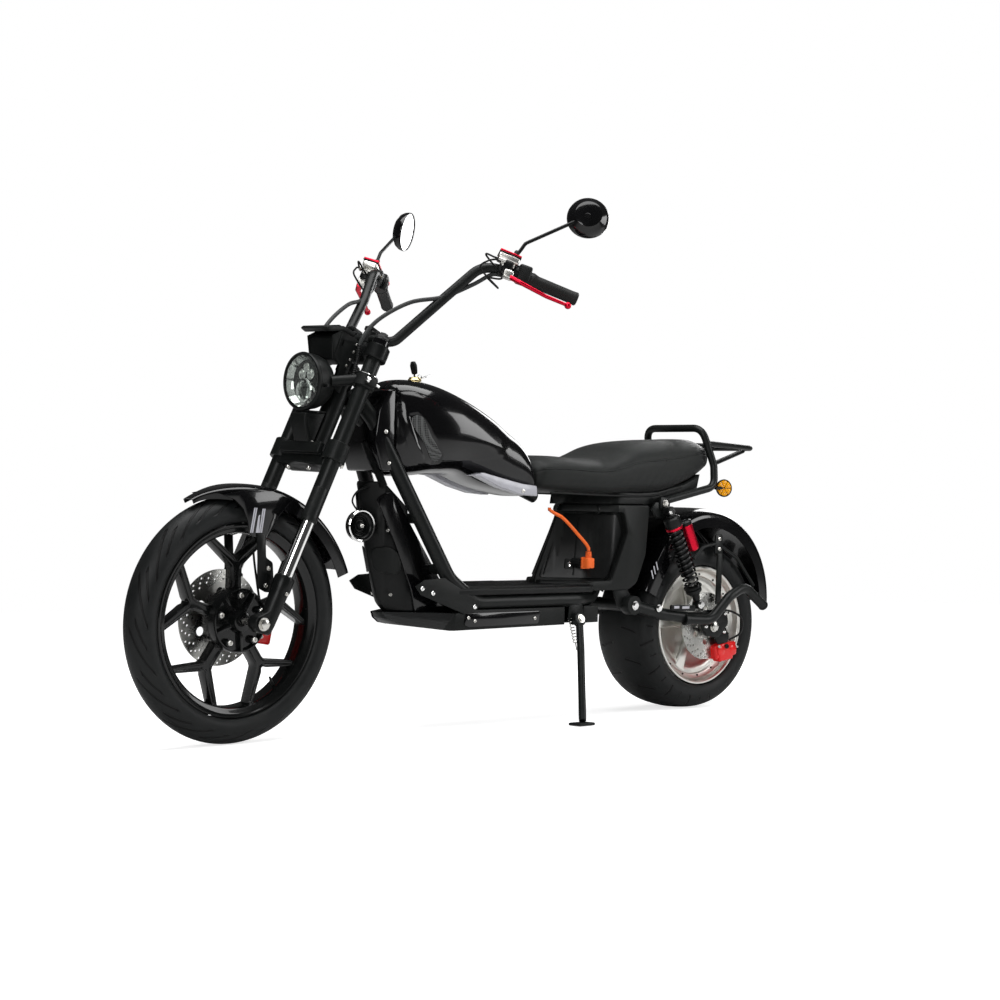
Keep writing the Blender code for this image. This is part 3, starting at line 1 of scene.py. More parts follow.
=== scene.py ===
"""Looks of the electric chopper scooter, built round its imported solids.

Pieces are drawn in four frames: the machine's own (+X forward, +Y left, +Z up, from the point
where the rear tyre meets the ground), the steering's, and one on each wheel's axle. Each piece is
placed in its mesh and rides on its body.
"""
import json
import math

import bmesh
import bpy
from mathutils import Matrix, Vector


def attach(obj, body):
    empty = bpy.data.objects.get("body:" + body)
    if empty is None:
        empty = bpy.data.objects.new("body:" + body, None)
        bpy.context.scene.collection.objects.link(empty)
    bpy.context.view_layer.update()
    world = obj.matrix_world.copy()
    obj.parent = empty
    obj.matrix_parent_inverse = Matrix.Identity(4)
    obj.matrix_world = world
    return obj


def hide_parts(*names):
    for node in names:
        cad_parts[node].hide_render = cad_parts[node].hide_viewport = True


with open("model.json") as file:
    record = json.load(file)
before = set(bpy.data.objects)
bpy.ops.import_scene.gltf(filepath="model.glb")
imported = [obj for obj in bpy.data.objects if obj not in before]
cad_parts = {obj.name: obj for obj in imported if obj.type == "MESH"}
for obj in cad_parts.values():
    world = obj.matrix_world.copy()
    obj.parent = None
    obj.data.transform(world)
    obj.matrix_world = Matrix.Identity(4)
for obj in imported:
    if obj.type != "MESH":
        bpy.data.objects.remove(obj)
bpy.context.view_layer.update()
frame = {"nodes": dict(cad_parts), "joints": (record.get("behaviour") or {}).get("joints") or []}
scene = bpy.context.scene
nodes = frame["nodes"]
joints = {joint["name"]: joint for joint in frame["joints"]}

Y, Z = Vector((0, 1, 0)), Vector((0, 0, 1))
SIDES = (("left", 1), ("right", -1))
ACROSS = Matrix.Rotation(-math.pi / 2, 4, "X")
WELD = 1e-06


def mm(size, *row):
    """Points of so many measures each, from one row of them in millimetres."""
    return [tuple(value / 1000 for value in row[k:k + size]) for k in range(0, len(row), size)]


def shift(vector):
    return Matrix.Translation(vector)


def rotation(degrees, axis):
    return Matrix.Rotation(math.radians(degrees), 4, axis)


# Stance and frames of reference

WHEELBASE = 1.509
RAKE = math.radians(25.2)
LEAN = math.radians(2.5)
STEER_REST = math.radians(3.5)
FRONT_TYRE_RADIUS = 0.293
REAR_TYRE_RADIUS = 0.2385
AXLE_LEAD = 0.035

leaned = Matrix.Rotation(-LEAN, 4, "X")
rear_centre = Vector(joints["rear_wheel_spin"]["pos_m"])
MACHINE = shift(rear_centre - leaned.to_3x3() @ (Z * REAR_TYRE_RADIUS)) @ leaned
STEER_FOOT = Vector((WHEELBASE - AXLE_LEAD * math.cos(RAKE), 0,
    FRONT_TYRE_RADIUS - AXLE_LEAD * math.sin(RAKE)))
STRAIGHT = MACHINE @ shift(STEER_FOOT) @ Matrix.Rotation(-RAKE, 4, "Y")
STEER = STRAIGHT @ Matrix.Rotation(STEER_REST, 4, "Z")
FRONT = STEER @ shift((AXLE_LEAD, 0, 0)) @ Matrix.Rotation(RAKE, 4, "Y")
REAR = MACHINE @ shift((0, 0, REAR_TYRE_RADIUS))
CHASSIS = (MACHINE, "chassis")
STEERING = (STEER, "steering")
FRONT_HUB = (FRONT @ ACROSS, "front_wheel")
REAR_HUB = (REAR @ ACROSS, "rear_wheel")
BY_FRONT_AXLE = (FRONT, "steering")
BY_REAR_AXLE = (REAR, "chassis")


# Camera: where the photograph was taken from

def aim_camera():
    yaw, pitch, roll = math.radians(41.13), math.radians(1.35), math.radians(-0.35)
    ahead = Vector((-math.sin(yaw) * math.cos(pitch), -math.cos(yaw) * math.cos(pitch), math.sin(pitch)))
    right = ahead.cross(Z).normalized()
    up = right.cross(ahead)
    tilted_right = right * math.cos(roll) + up * math.sin(roll)
    tilted_up = up * math.cos(roll) - right * math.sin(roll)
    camera = bpy.data.objects.new("camera", bpy.data.cameras.new("camera"))
    camera.data.lens = 69.84
    camera.data.sensor_width = 36
    camera.matrix_world = shift(MACHINE.translation + Vector((4.035, 3.868, 0.462))) @ Matrix((tilted_right,
        tilted_up, -ahead)).transposed().to_4x4()
    scene.collection.objects.link(camera)
    scene.camera = camera


aim_camera()


# Node groups that several finishes share

def new_group(name, inputs, outputs):
    """An empty shader group with its sockets; inputs and outputs are (name, kind, default)."""
    group = bpy.data.node_groups.new(name, "ShaderNodeTree")
    for label, kind, default in inputs:
        socket = group.interface.new_socket(label, in_out="INPUT", socket_type=kind)
        socket.default_value = default
    for label, kind in outputs:
        group.interface.new_socket(label, in_out="OUTPUT", socket_type=kind)
    return group, group.nodes.new("NodeGroupInput"), group.nodes.new("NodeGroupOutput")


def math_node(tree, operation, first, second=None, third=None, clamp=False):
    node = tree.nodes.new("ShaderNodeMath")
    node.operation = operation
    node.use_clamp = clamp
    for slot, value in zip(node.inputs, (first, second, third)):
        if value is None:
            continue
        if isinstance(value, (int, float)):
            slot.default_value = value
        else:
            tree.links.new(value, slot)
    return node.outputs[0]


def range_node(tree, value, low, high, start=0.0, end=1.0):
    node = tree.nodes.new("ShaderNodeMapRange")
    node.interpolation_type = "SMOOTHSTEP"
    for label, given in (("Value", value), ("From Min", low), ("From Max", high), ("To Min", start),
            ("To Max", end)):
        if isinstance(given, (int, float)):
            node.inputs[label].default_value = given
        else:
            tree.links.new(given, node.inputs[label])
    return node.outputs["Result"]


def noise_node(tree, scale, detail=4.0, roughness=0.6, vector=None):
    if vector is None:
        vector = tree.nodes.new("ShaderNodeTexCoord").outputs["Object"]
    node = tree.nodes.new("ShaderNodeTexNoise")
    tree.links.new(vector, node.inputs["Vector"])
    if isinstance(scale, (int, float)):
        node.inputs["Scale"].default_value = scale
    else:
        tree.links.new(scale, node.inputs["Scale"])
    node.inputs["Detail"].default_value = detail
    node.inputs["Roughness"].default_value = roughness
    return node.outputs["Fac"]


def make_uneven_group():
    """Handling marks and dust: the colour lightens and the gloss dulls in soft patches."""
    group, given, out = new_group("handled_surface", [("Color", "NodeSocketColor", (0.1, 0.1, 0.1, 1)),
        ("Dust", "NodeSocketColor", (0.2, 0.2, 0.19, 1)), ("Dusting", "NodeSocketFloat", 0.05),
        ("Roughness", "NodeSocketFloat", 0.4), ("Dulling", "NodeSocketFloat", 0.1),
        ("Scale", "NodeSocketFloat", 8.0)], [("Color", "NodeSocketColor"),
        ("Roughness", "NodeSocketFloat")])
    broad = noise_node(group, given.outputs["Scale"], 6.0, 0.65)
    patches = range_node(group, broad, 0.4, 0.72)
    mix = group.nodes.new("ShaderNodeMix")
    mix.data_type = "RGBA"
    group.links.new(math_node(group, "MULTIPLY", patches, given.outputs["Dusting"]), mix.inputs["Factor"])
    group.links.new(given.outputs["Color"], mix.inputs["A"])
    group.links.new(given.outputs["Dust"], mix.inputs["B"])
    group.links.new(mix.outputs["Result"], out.inputs["Color"])
    dulled = math_node(group, "MULTIPLY_ADD", patches, given.outputs["Dulling"], given.outputs["Roughness"])
    group.links.new(dulled, out.inputs["Roughness"])
    return group


def make_grain_group():
    """A moulded or coated surface's fine grain, as a height."""
    group, given, out = new_group("surface_grain", [("Scale", "NodeSocketFloat", 900.0),
        ("Cells", "NodeSocketFloat", 0.3)], [("Height", "NodeSocketFloat")])
    place = group.nodes.new("ShaderNodeTexCoord").outputs["Object"]
    fine = noise_node(group, given.outputs["Scale"], 2.0, 0.5, place)
    cells = group.nodes.new("ShaderNodeTexVoronoi")
    group.links.new(place, cells.inputs["Vector"])
    group.links.new(given.outputs["Scale"], cells.inputs["Scale"])
    weighed = math_node(group, "MULTIPLY", cells.outputs["Distance"], given.outputs["Cells"])
    group.links.new(math_node(group, "ADD", fine, weighed), out.inputs["Height"])
    return group


def make_groove_group():
    """One set of swept tread grooves on each half of a tyre, from its UV map."""
    group, given, out = new_group("tread_grooves", [("Repeats", "NodeSocketFloat", 14.0),
        ("Sweep", "NodeSocketFloat", 0.9), ("Width", "NodeSocketFloat", 0.06),
        ("Inner", "NodeSocketFloat", 0.1), ("Outer", "NodeSocketFloat", 0.6),
        ("Phase", "NodeSocketFloat", 0.0)], [("Groove", "NodeSocketFloat")])
    uv = group.nodes.new("ShaderNodeUVMap")
    uv.uv_map = "UVMap"
    split = group.nodes.new("ShaderNodeSeparateXYZ")
    group.links.new(uv.outputs["UV"], split.inputs[0])
    around, across = split.outputs["X"], split.outputs["Y"]
    offset = math_node(group, "SUBTRACT", across, 0.5)
    side = math_node(group, "MULTIPLY", math_node(group, "ABSOLUTE", offset), 2.0)
    half = math_node(group, "MULTIPLY", math_node(group, "GREATER_THAN", offset, 0.0), 0.5)
    bow = math_node(group, "POWER", side, 1.7)
    turn = math_node(group, "MULTIPLY_ADD", around, given.outputs["Repeats"], half)
    swept = math_node(group, "MULTIPLY_ADD", bow, given.outputs["Sweep"], turn)
    place = math_node(group, "FRACT", math_node(group, "ADD", swept, given.outputs["Phase"]))
    away = math_node(group, "ABSOLUTE", math_node(group, "SUBTRACT", place, 0.5))
    line = range_node(group, away, math_node(group, "MULTIPLY", given.outputs["Width"], 0.6),
        given.outputs["Width"], 1.0, 0.0)
    begins = range_node(group, side, given.outputs["Inner"],
        math_node(group, "ADD", given.outputs["Inner"], 0.03))
    ends = range_node(group, side, math_node(group, "SUBTRACT", given.outputs["Outer"], 0.03),
        given.outputs["Outer"], 1.0, 0.0)
    window = math_node(group, "MULTIPLY", begins, ends)
    group.links.new(math_node(group, "MULTIPLY", line, window), out.inputs["Groove"])
    return group


HANDLED = make_uneven_group()
GRAIN = make_grain_group()
GROOVES = make_groove_group()


def set_inputs(node, **values):
    for label, value in values.items():
        node.inputs[label.replace("_", " ")].default_value = value


def add_bump(tree, height, strength, depth):
    """The height as a bump on the finish's own shader."""
    bump = tree.nodes.new("ShaderNodeBump")
    set_inputs(bump, Strength=strength, Distance=depth)
    tree.links.new(height, bump.inputs["Height"])
    tree.links.new(bump.outputs["Normal"], tree.nodes["Principled BSDF"].inputs["Normal"])


def place_group(tree, group, **values):
    node = tree.nodes.new("ShaderNodeGroup")
    node.node_tree = group
    for label, value in values.items():
        node.inputs[label].default_value = value
    return node


def finish(name, colour, roughness, metallic=0.0, dust=(0.2, 0.2, 0.19), dusting=0.04, dulling=0.1,
        patch=9.0, grain=None, coat=0.0):
    """A finish with handling marks and, if asked, a grain of (scale, cells, strength, depth)."""
    made = bpy.data.materials.new(name)
    made.use_nodes = True
    tree = made.node_tree
    shader = tree.nodes["Principled BSDF"]
    set_inputs(shader, Metallic=metallic, Coat_Weight=coat, Coat_Roughness=0.04, Specular_IOR_Level=0.18)
    marks = place_group(tree, HANDLED, Color=(*colour, 1), Dust=(*dust, 1), Dusting=dusting,
        Roughness=roughness, Dulling=dulling, Scale=patch)
    tree.links.new(marks.outputs["Color"], shader.inputs["Base Color"])
    tree.links.new(marks.outputs["Roughness"], shader.inputs["Roughness"])
    if grain:
        scale, cells, strength, depth = grain
        fine = place_group(tree, GRAIN, Scale=scale, Cells=cells)
        add_bump(tree, fine.outputs["Height"], strength, depth)
    return made


gloss_paint = finish("gloss_black_paint", (0.0022, 0.0022, 0.0026), 0.13, dulling=0.05, dusting=0.008,
    coat=0.5, grain=(60.0, 0.0, 0.08, 0.0006))
satin_tube = finish("satin_black_tube", (0.0065, 0.0075, 0.0072), 0.34, dusting=0.01,
    grain=(1500.0, 0.3, 0.16, 0.0002))
matte_shell = finish("matte_black_shell", (0.006, 0.0069, 0.0066), 0.42, dusting=0.012,
    grain=(1300.0, 0.5, 0.22, 0.0003))
cast_black = finish("black_casting", (0.0045, 0.005, 0.005), 0.3, dusting=0.01,
    grain=(700.0, 0.4, 0.14, 0.0003))
rim_black = finish("black_rim_paint", (0.003, 0.0034, 0.0034), 0.2, dusting=0.008, coat=0.35,
    grain=(90.0, 0.1, 0.06, 0.0004))
grip_rubber = finish("grip_rubber", (0.0085, 0.0092, 0.009), 0.5, dusting=0.02,
    grain=(1100.0, 0.6, 0.35, 0.0004))
deck_rubber = finish("deck_rubber", (0.006, 0.0066, 0.0066), 0.36, dusting=0.02, dust=(0.28, 0.27, 0.25),
    grain=(800.0, 0.5, 0.25, 0.0004))
chrome = finish("chrome", (0.86, 0.86, 0.85), 0.05, 1.0, dust=(0.6, 0.6, 0.58), dusting=0.08, dulling=0.07)
bright_steel = finish("bright_steel", (0.62, 0.61, 0.58), 0.24, 1.0, dust=(0.4, 0.38, 0.34), dusting=0.2,
    patch=60.0)
silver_cast = finish("silver_casting", (0.72, 0.71, 0.67), 0.3, 1.0, dust=(0.5, 0.49, 0.46), dusting=0.22,
    dulling=0.14, patch=14.0, grain=(900.0, 0.4, 0.1, 0.0002))
brass = finish("brass_fitting", (0.72, 0.58, 0.28), 0.28, 1.0, dusting=0.1, patch=70.0)
red_metal = finish("red_anodised", (0.62, 0.006, 0.03), 0.22, 0.75, dust=(0.5, 0.1, 0.1), dusting=0.06,
    patch=40.0)
red_paint = finish("red_caliper_paint", (0.74, 0.01, 0.01), 0.28, dust=(0.5, 0.12, 0.1), dusting=0.08,
    coat=0.4, patch=40.0, grain=(500.0, 0.3, 0.1, 0.0003))
orange_jacket = finish("orange_cable_jacket", (0.85, 0.14, 0.022), 0.42, dust=(0.6, 0.25, 0.12),
    dusting=0.15, patch=50.0, grain=(900.0, 0.3, 0.12, 0.0002))
cable_black = finish("black_cable", (0.0075, 0.008, 0.008), 0.38, dusting=0.02, patch=50.0,
    grain=(1400.0, 0.4, 0.2, 0.0002))
loom_grey = finish("grey_sleeving", (0.032, 0.034, 0.034), 0.42, dusting=0.05, patch=50.0,
    grain=(1400.0, 0.6, 0.5, 0.0005))


def tyre_finish(name, sets):
    """Tyre rubber with swept grooves, their colour darkened as painted shade; sets hold (repeats, sweep,
    width, inner, outer, phase).
    """
    made = finish(name, (0.0095, 0.0104, 0.0106), 0.42, dusting=0.05, dust=(0.1, 0.1, 0.095), dulling=0.12,
        patch=12.0)
    tree = made.node_tree
    shader = tree.nodes["Principled BSDF"]
    total = None
    for repeats, sweep, width, inner, outer, phase in sets:
        cut = place_group(tree, GROOVES, Repeats=repeats, Sweep=sweep, Width=width, Inner=inner,
            Outer=outer, Phase=phase).outputs["Groove"]
        total = cut if total is None else math_node(tree, "MAXIMUM", total, cut)
    fine = place_group(tree, GRAIN, Scale=900.0, Cells=0.4).outputs["Height"]
    height = math_node(tree, "MULTIPLY_ADD", fine, 0.04, math_node(tree, "SUBTRACT", 1.0, total))
    add_bump(tree, height, 1.0, 0.006)
    marks = shader.inputs["Base Color"].links[0].from_socket
    # Painted shade: the grooves' colour is darkened toward near-black, as shade in the recesses.
    dark = tree.nodes.new("ShaderNodeMix")
    dark.data_type = "RGBA"
    tree.links.new(math_node(tree, "MULTIPLY", total, 0.85), dark.inputs["Factor"])
    tree.links.new(marks, dark.inputs["A"])
    dark.inputs["B"].default_value = (0.002, 0.002, 0.002, 1)
    tree.links.new(dark.outputs["Result"], shader.inputs["Base Color"])
    return made


front_rubber = tyre_finish("front_tyre_rubber", ((15.0, -2.2, 0.07, 0.12, 0.66, 0.0),
    (15.0, -2.2, 0.07, 0.34, 0.62, 0.45)))
rear_rubber = tyre_finish("rear_tyre_rubber", ((16.0, -0.8, 0.035, 0.1, 0.42, 0.0),
    (16.0, 0.5, 0.04, 0.46, 0.72, 0.3), (32.0, 0.0, 0.05, 0.6, 0.72, 0.1)))


def vinyl_finish():
    """Seat vinyl: a leather grain of irregular cells under a soft sheen."""
    made = finish("seat_vinyl", (0.0085, 0.0098, 0.0092), 0.42, dusting=0.015, dulling=0.1, patch=5.0)
    tree = made.node_tree
    shader = tree.nodes["Principled BSDF"]
    shader.inputs["Sheen Weight"].default_value = 0.06
    place = tree.nodes.new("ShaderNodeTexCoord").outputs["Object"]
    cells = tree.nodes.new("ShaderNodeTexVoronoi")
    cells.feature = "DISTANCE_TO_EDGE"
    cells.inputs["Scale"].default_value = 520.0
    tree.links.new(place, cells.inputs["Vector"])
    creased = range_node(tree, cells.outputs["Distance"], 0.0, 0.1)
    soft = noise_node(tree, 26.0, 3.0, 0.5, place)
    height = math_node(tree, "MULTIPLY_ADD", soft, 3.0, creased)
    add_bump(tree, height, 0.3, 0.0006)
    return made


def weave_finish():
    """A dark belly panel with a fine diagonal weave in its gloss."""
    made = finish("woven_black_shell", (0.005, 0.005, 0.005), 0.28, dusting=0.01, coat=0.3)
    tree = made.node_tree
    shader = tree.nodes["Principled BSDF"]
    place = tree.nodes.new("ShaderNodeTexCoord").outputs["Object"]
    checks = tree.nodes.new("ShaderNodeTexChecker")
    set_inputs(checks, Scale=260.0, Color1=(0.003, 0.003, 0.003, 1), Color2=(0.016, 0.017, 0.017, 1))
    tree.links.new(place, checks.inputs["Vector"])
    tree.links.new(checks.outputs["Color"], shader.inputs["Base Color"])
    rough = range_node(tree, checks.outputs["Fac"], 0.0, 1.0, 0.22, 0.48)
    tree.links.new(rough, shader.inputs["Roughness"])
    return made


def turned_steel_finish():
    """Brake disc steel with the fine rings of its grinding, seen from its own axle."""
    made = finish("disc_steel", (0.44, 0.44, 0.42), 0.26, 1.0, dust=(0.25, 0.24, 0.22), dusting=0.4,
        patch=25.0)
    tree = made.node_tree
    uv = tree.nodes.new("ShaderNodeUVMap")
    uv.uv_map = "UVMap"
    length = tree.nodes.new("ShaderNodeVectorMath")
    length.operation = "LENGTH"
    tree.links.new(uv.outputs["UV"], length.inputs[0])
    rings = math_node(tree, "SINE", math_node(tree, "MULTIPLY", length.outputs["Value"], 9000.0))
    add_bump(tree, rings, 0.35, 0.0001)
    return made


def lens_finish(name, colour, roughness=0.02, facets=0.0, transmission=1.0):
    """A clear or tinted lens, moulded in small facets if asked."""
    made = bpy.data.materials.new(name)
    made.use_nodes = True
    tree = made.node_tree
    shader = tree.nodes["Principled BSDF"]
    set_inputs(shader, Base_Color=(*colour, 1), Transmission_Weight=transmission, IOR=1.45)
    worn = noise_node(tree, 60.0)
    tree.links.new(range_node(tree, worn, 0.3, 0.8, roughness, roughness + 0.04),
        shader.inputs["Roughness"])
    if facets:
        cells = tree.nodes.new("ShaderNodeTexVoronoi")
        cells.inputs["Scale"].default_value = facets
        tree.links.new(tree.nodes.new("ShaderNodeTexCoord").outputs["Object"], cells.inputs["Vector"])
        add_bump(tree, cells.outputs["Distance"], 0.8, 0.001)
    return made


def mesh_finish():
    """A dark grille: small round openings sunk in a satin sheet, painted near-black in them as painted
    shade.
    """
    made = finish("grille_mesh", (0.09, 0.092, 0.092), 0.45, dusting=0.05)
    tree = made.node_tree
    shader = tree.nodes["Principled BSDF"]
    cells = tree.nodes.new("ShaderNodeTexVoronoi")
    cells.inputs["Scale"].default_value = 230.0
    cells.inputs["Randomness"].default_value = 0.0
    tree.links.new(tree.nodes.new("ShaderNodeTexCoord").outputs["Object"], cells.inputs["Vector"])
    opening = range_node(tree, cells.outputs["Distance"], 0.34, 0.44)
    # Painted shade: the sunk openings are painted near-black, as the shade behind the holes.
    dark = tree.nodes.new("ShaderNodeMix")
    dark.data_type = "RGBA"
    tree.links.new(opening, dark.inputs["Factor"])
    dark.inputs["A"].default_value = (0.0015, 0.0015, 0.0015, 1)
    tree.links.new(shader.inputs["Base Color"].links[0].from_socket, dark.inputs["B"])
    tree.links.new(dark.outputs["Result"], shader.inputs["Base Color"])
    add_bump(tree, opening, 1.0, 0.0012)
    return made


vent_mesh = mesh_finish()
seat_vinyl = vinyl_finish()
woven_shell = weave_finish()
disc_steel = turned_steel_finish()
clear_lens = lens_finish("clear_lens", (0.6, 0.63, 0.61))
amber_lens = lens_finish("amber_lens", (1.0, 0.42, 0.01), 0.08, 260.0, 0.25)
red_lens = lens_finish("red_lens", (0.65, 0.01, 0.01), 0.08, 200.0, 0.35)
mirror_glass = finish("mirror_glass", (0.9, 0.92, 0.92), 0.02, 1.0, dusting=0.05, dulling=0.03)
streak_grey = finish("grey_streak_trim", (0.46, 0.46, 0.5), 0.3, dusting=0.2, patch=30.0, coat=0.3)
SLOTS = {look.name: slot for slot, looks in (("chrome", (chrome, clear_lens, mirror_glass)),
    ("frame_black", (satin_tube, cast_black)), ("gloss_black", (rim_black, gloss_paint)),
    ("matte_black", (matte_shell, woven_shell, deck_rubber, vent_mesh)),
    ("orange", (orange_jacket, amber_lens)), ("red", (red_paint, red_metal)),
    ("rubber", (cable_black, grip_rubber, loom_grey)), ("silver", (silver_cast, streak_grey)),
    ("steel", (bright_steel, disc_steel, brass)), ("tail_red", (red_lens,)), ("vinyl", (seat_vinyl,)))
    for look in looks}


# Shapes

def spun(profile, steps=72, ring=False):
    """A profile of (radius, height) spun about Z; heights run to the machine's left."""
    bm = bmesh.new()
    verts = [bm.verts.new((radius, 0, height)) for radius, height in profile]
    edges = [bm.edges.new(pair) for pair in zip(verts, verts[1:])]
    if ring:
        edges.append(bm.edges.new((verts[-1], verts[0])))
    bmesh.ops.spin(bm, geom=verts + edges, cent=(0, 0, 0), axis=(0, 0, 1), angle=math.tau, steps=steps,
        use_merge=True)
    bmesh.ops.remove_doubles(bm, verts=bm.verts, dist=WELD)
    bmesh.ops.recalc_face_normals(bm, faces=bm.faces)
    return bm


def round_edges(bm, width, segments=2, angle=30):
    """Every edge sharper than the angle gets a rounded bevel."""
    sharp = [e for e in bm.edges if len(e.link_faces) == 2 and e.calc_face_angle(0) > math.radians(angle)]
    if sharp:
        bmesh.ops.bevel(bm, geom=sharp, offset=width, segments=segments, profile=0.5, affect="EDGES",
            material=-1, clamp_overlap=True)
    return bm


def shifted(bm, vector):
    return moved(bm, shift(vector))


def moved(bm, matrix):
    bmesh.ops.transform(bm, matrix=matrix, verts=bm.verts)
    return bm


def merged(*shapes):
    """Several shapes as one, as a casting's or a weldment's parts are."""
    whole = bmesh.new()
    for shape in shapes:
        mesh = bpy.data.meshes.new("part")
        shape.to_mesh(mesh)
        shape.free()
        whole.from_mesh(mesh)
        bpy.data.meshes.remove(mesh)
    return whole


def copies(make, places):
    return merged(*[moved(make(), place) for place in places])


def slab(outline, thickness, edge=0.0, segments=2):
    """An outline in XY given thickness along Z, its edges rounded."""
    bm = bmesh.new()
    face = bm.faces.new([bm.verts.new((x, y, -thickness / 2)) for x, y in outline])
    grown = bmesh.ops.extrude_face_region(bm, geom=[face])["geom"]
    bmesh.ops.translate(bm, vec=(0, 0, thickness), verts=[v for v in grown
        if isinstance(v, bmesh.types.BMVert)])
    bmesh.ops.recalc_face_normals(bm, faces=bm.faces)
    return round_edges(bm, edge, segments) if edge else bm


def stood(bm, y):
    """A slab's XY stood up as the side view, x forward and z up, with its middle at y."""
    return moved(bm, Matrix(((1, 0, 0, 0), (0, 0, -1, y), (0, 1, 0, 0), (0, 0, 0, 1))))


def block(centre, size, edge=0.002, turn=None, segments=3):
    bm = bmesh.new()
    bmesh.ops.create_cube(bm, size=1.0, matrix=Matrix.Diagonal((*size, 1)))
    round_edges(bm, edge, segments)
    return moved(bm, shift(centre) @ (turn or Matrix()))


def towards(start, end):
    """Stands +Z along start to end, from start."""
    start, end = Vector(start), Vector(end)
    return shift(start) @ (end - start).to_track_quat("Z", "Y").to_matrix().to_4x4()


def rod(start, end, radius, end_radius=None, sides=32, edge=0.0):
    length = (Vector(end) - Vector(start)).length
    last = radius if end_radius is None else end_radius
    bm = spun([(0, 0), (radius, 0), (last, length), (0, length)], sides)
    if edge:
        round_edges(bm, edge, 2, 40)
    return moved(bm, towards(start, end))


def turned_along(start, end, profile, sides=32):
    """A profile of (radius, distance from start) turned about the line to end."""
    return moved(spun(profile, sides), towards(start, end))


def bent(points, radius, steps=8):
    """The points with each inner corner rounded to an arc, as a bent tube is."""
    points = [Vector(p) for p in points]
    path = [points[0]]
    for before, corner, after in zip(points, points[1:], points[2:]):
        back, ahead = before - corner, after - corner
        half = back.angle(ahead) / 2
        reach = min(radius / math.tan(half), 0.45 * back.length, 0.45 * ahead.length)
        first, last = corner + back.normalized() * reach, corner + ahead.normalized() * reach
        for k in range(steps + 1):
            t = k / steps
            path.append((1 - t) ** 2 * first + 2 * t * (1 - t) * corner + t * t * last)
    path.append(points[-1])
    return path


def curve_through(route, parts=6):
    """A smooth curve through the route's own points."""
    route = [Vector(p) for p in route]
    padded = [route[0] * 2 - route[1]] + route + [route[-1] * 2 - route[-2]]
    path = []
    for a, b, c, d in zip(padded, padded[1:], padded[2:], padded[3:]):
        for k in range(parts):
            t = k / parts
            path.append(0.5 * (2 * b + (c - a) * t + (2 * a - 5 * b + 4 * c - d) * t * t
                + (3 * b - a - 3 * c + d) * t ** 3))
    return path + [route[-1]]


def shape_of(curve, weld):
    """The surface that Blender draws for a curve, its seams welded; the curve itself goes."""
    drawn = bpy.data.objects.new("drawn", curve)
    scene.collection.objects.link(drawn)
    bpy.context.view_layer.update()
    mesh = bpy.data.meshes.new_from_object(drawn.evaluated_get(bpy.context.evaluated_depsgraph_get()))
    bm = bmesh.new()
    bm.from_mesh(mesh)
    bmesh.ops.remove_doubles(bm, verts=bm.verts, dist=weld)
    bpy.data.objects.remove(drawn, do_unlink=True)
    bpy.data.curves.remove(curve)
    bpy.data.meshes.remove(mesh)
    return bm


def round_curve(name, path, radius, resolution):
    curve = bpy.data.curves.new(name, "CURVE")
    curve.dimensions = "3D"
    curve.bevel_depth = radius
    curve.bevel_resolution = resolution
    curve.use_fill_caps = True
    spline = curve.splines.new("POLY")
    spline.points.add(len(path) - 1)
    for point, place in zip(spline.points, path):
        point.co = (*place, 1)
    return curve


def pipe(path, radius, sides=20):
    """A round tube along a path, with its ends closed."""
    curve = round_curve("pipe", path, radius, sides // 2 - 2)
    bm = shape_of(curve, WELD)
    bmesh.ops.recalc_face_normals(bm, faces=bm.faces)
    return bm


def skin(place, around, along):
    """A grid bent to place(u, w), its seams welded; its UV map holds u and w."""
    bm = bmesh.new()
    bm.loops.layers.uv.new("UVMap")
    bmesh.ops.create_grid(bm, x_segments=around, y_segments=along, size=1.0, calc_uvs=True)
    for vert in bm.verts:
        vert.co = place((vert.co.x + 1) / 2, (vert.co.y + 1) / 2)
    bmesh.ops.remove_doubles(bm, verts=bm.verts, dist=5e-06)
    bmesh.ops.recalc_face_normals(bm, faces=bm.faces)
    return bm


def thickened(bm, thickness):
    bmesh.ops.solidify(bm, geom=bm.faces[:], thickness=thickness)
    bmesh.ops.recalc_face_normals(bm, faces=bm.faces)
    return bm


def table_at(rows, x):
    """The rows of numbers smoothly interpolated at x; each row starts with its own x."""
    rows = sorted(rows)
    x = min(max(x, rows[0][0]), rows[-1][0])
    k = max(i for i in range(len(rows) - 1) if rows[i][0] <= x)
    a, b = rows[max(k - 1, 0)], rows[k]
    c, d = rows[k + 1], rows[min(k + 2, len(rows) - 1)]
    t = (x - b[0]) / (c[0] - b[0])
    found = []
    for p, q, r, s in zip(a[1:], b[1:], c[1:], d[1:]):
        into = (r - p) / max(c[0] - a[0], 1e-09) * (c[0] - b[0])
        out = (s - q) / max(d[0] - b[0], 1e-09) * (c[0] - b[0])
        found.append((2 * t ** 3 - 3 * t ** 2 + 1) * q + (t ** 3 - 2 * t ** 2 + t) * into
            + (3 * t ** 2 - 2 * t ** 3) * r + (t ** 3 - t ** 2) * out)
    return found


def piece(name, shape, home, look, replaces=(), smooth=35, slot=None):
    """A shape, or a list of them, as a finished piece: placed in its mesh and riding on its body."""
    bm = merged(*shape) if isinstance(shape, list) else shape
    place, body = home
    slot = slot or SLOTS[look.name]
    moved(bm, place)
    mesh = bpy.data.meshes.new(name)
    bm.to_mesh(mesh)
    bm.free()
    made = bpy.data.objects.new(name, mesh)
    scene.collection.objects.link(made)
    mesh.materials.clear()
    mesh.materials.append(look)
    mesh.polygons.foreach_set("material_index", [0] * len(mesh.polygons))
    mesh.shade_smooth()
    mesh.set_sharp_from_angle(angle=math.radians(smooth))
    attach(made, body)
    if replaces:
        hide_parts(*replaces)
    return made


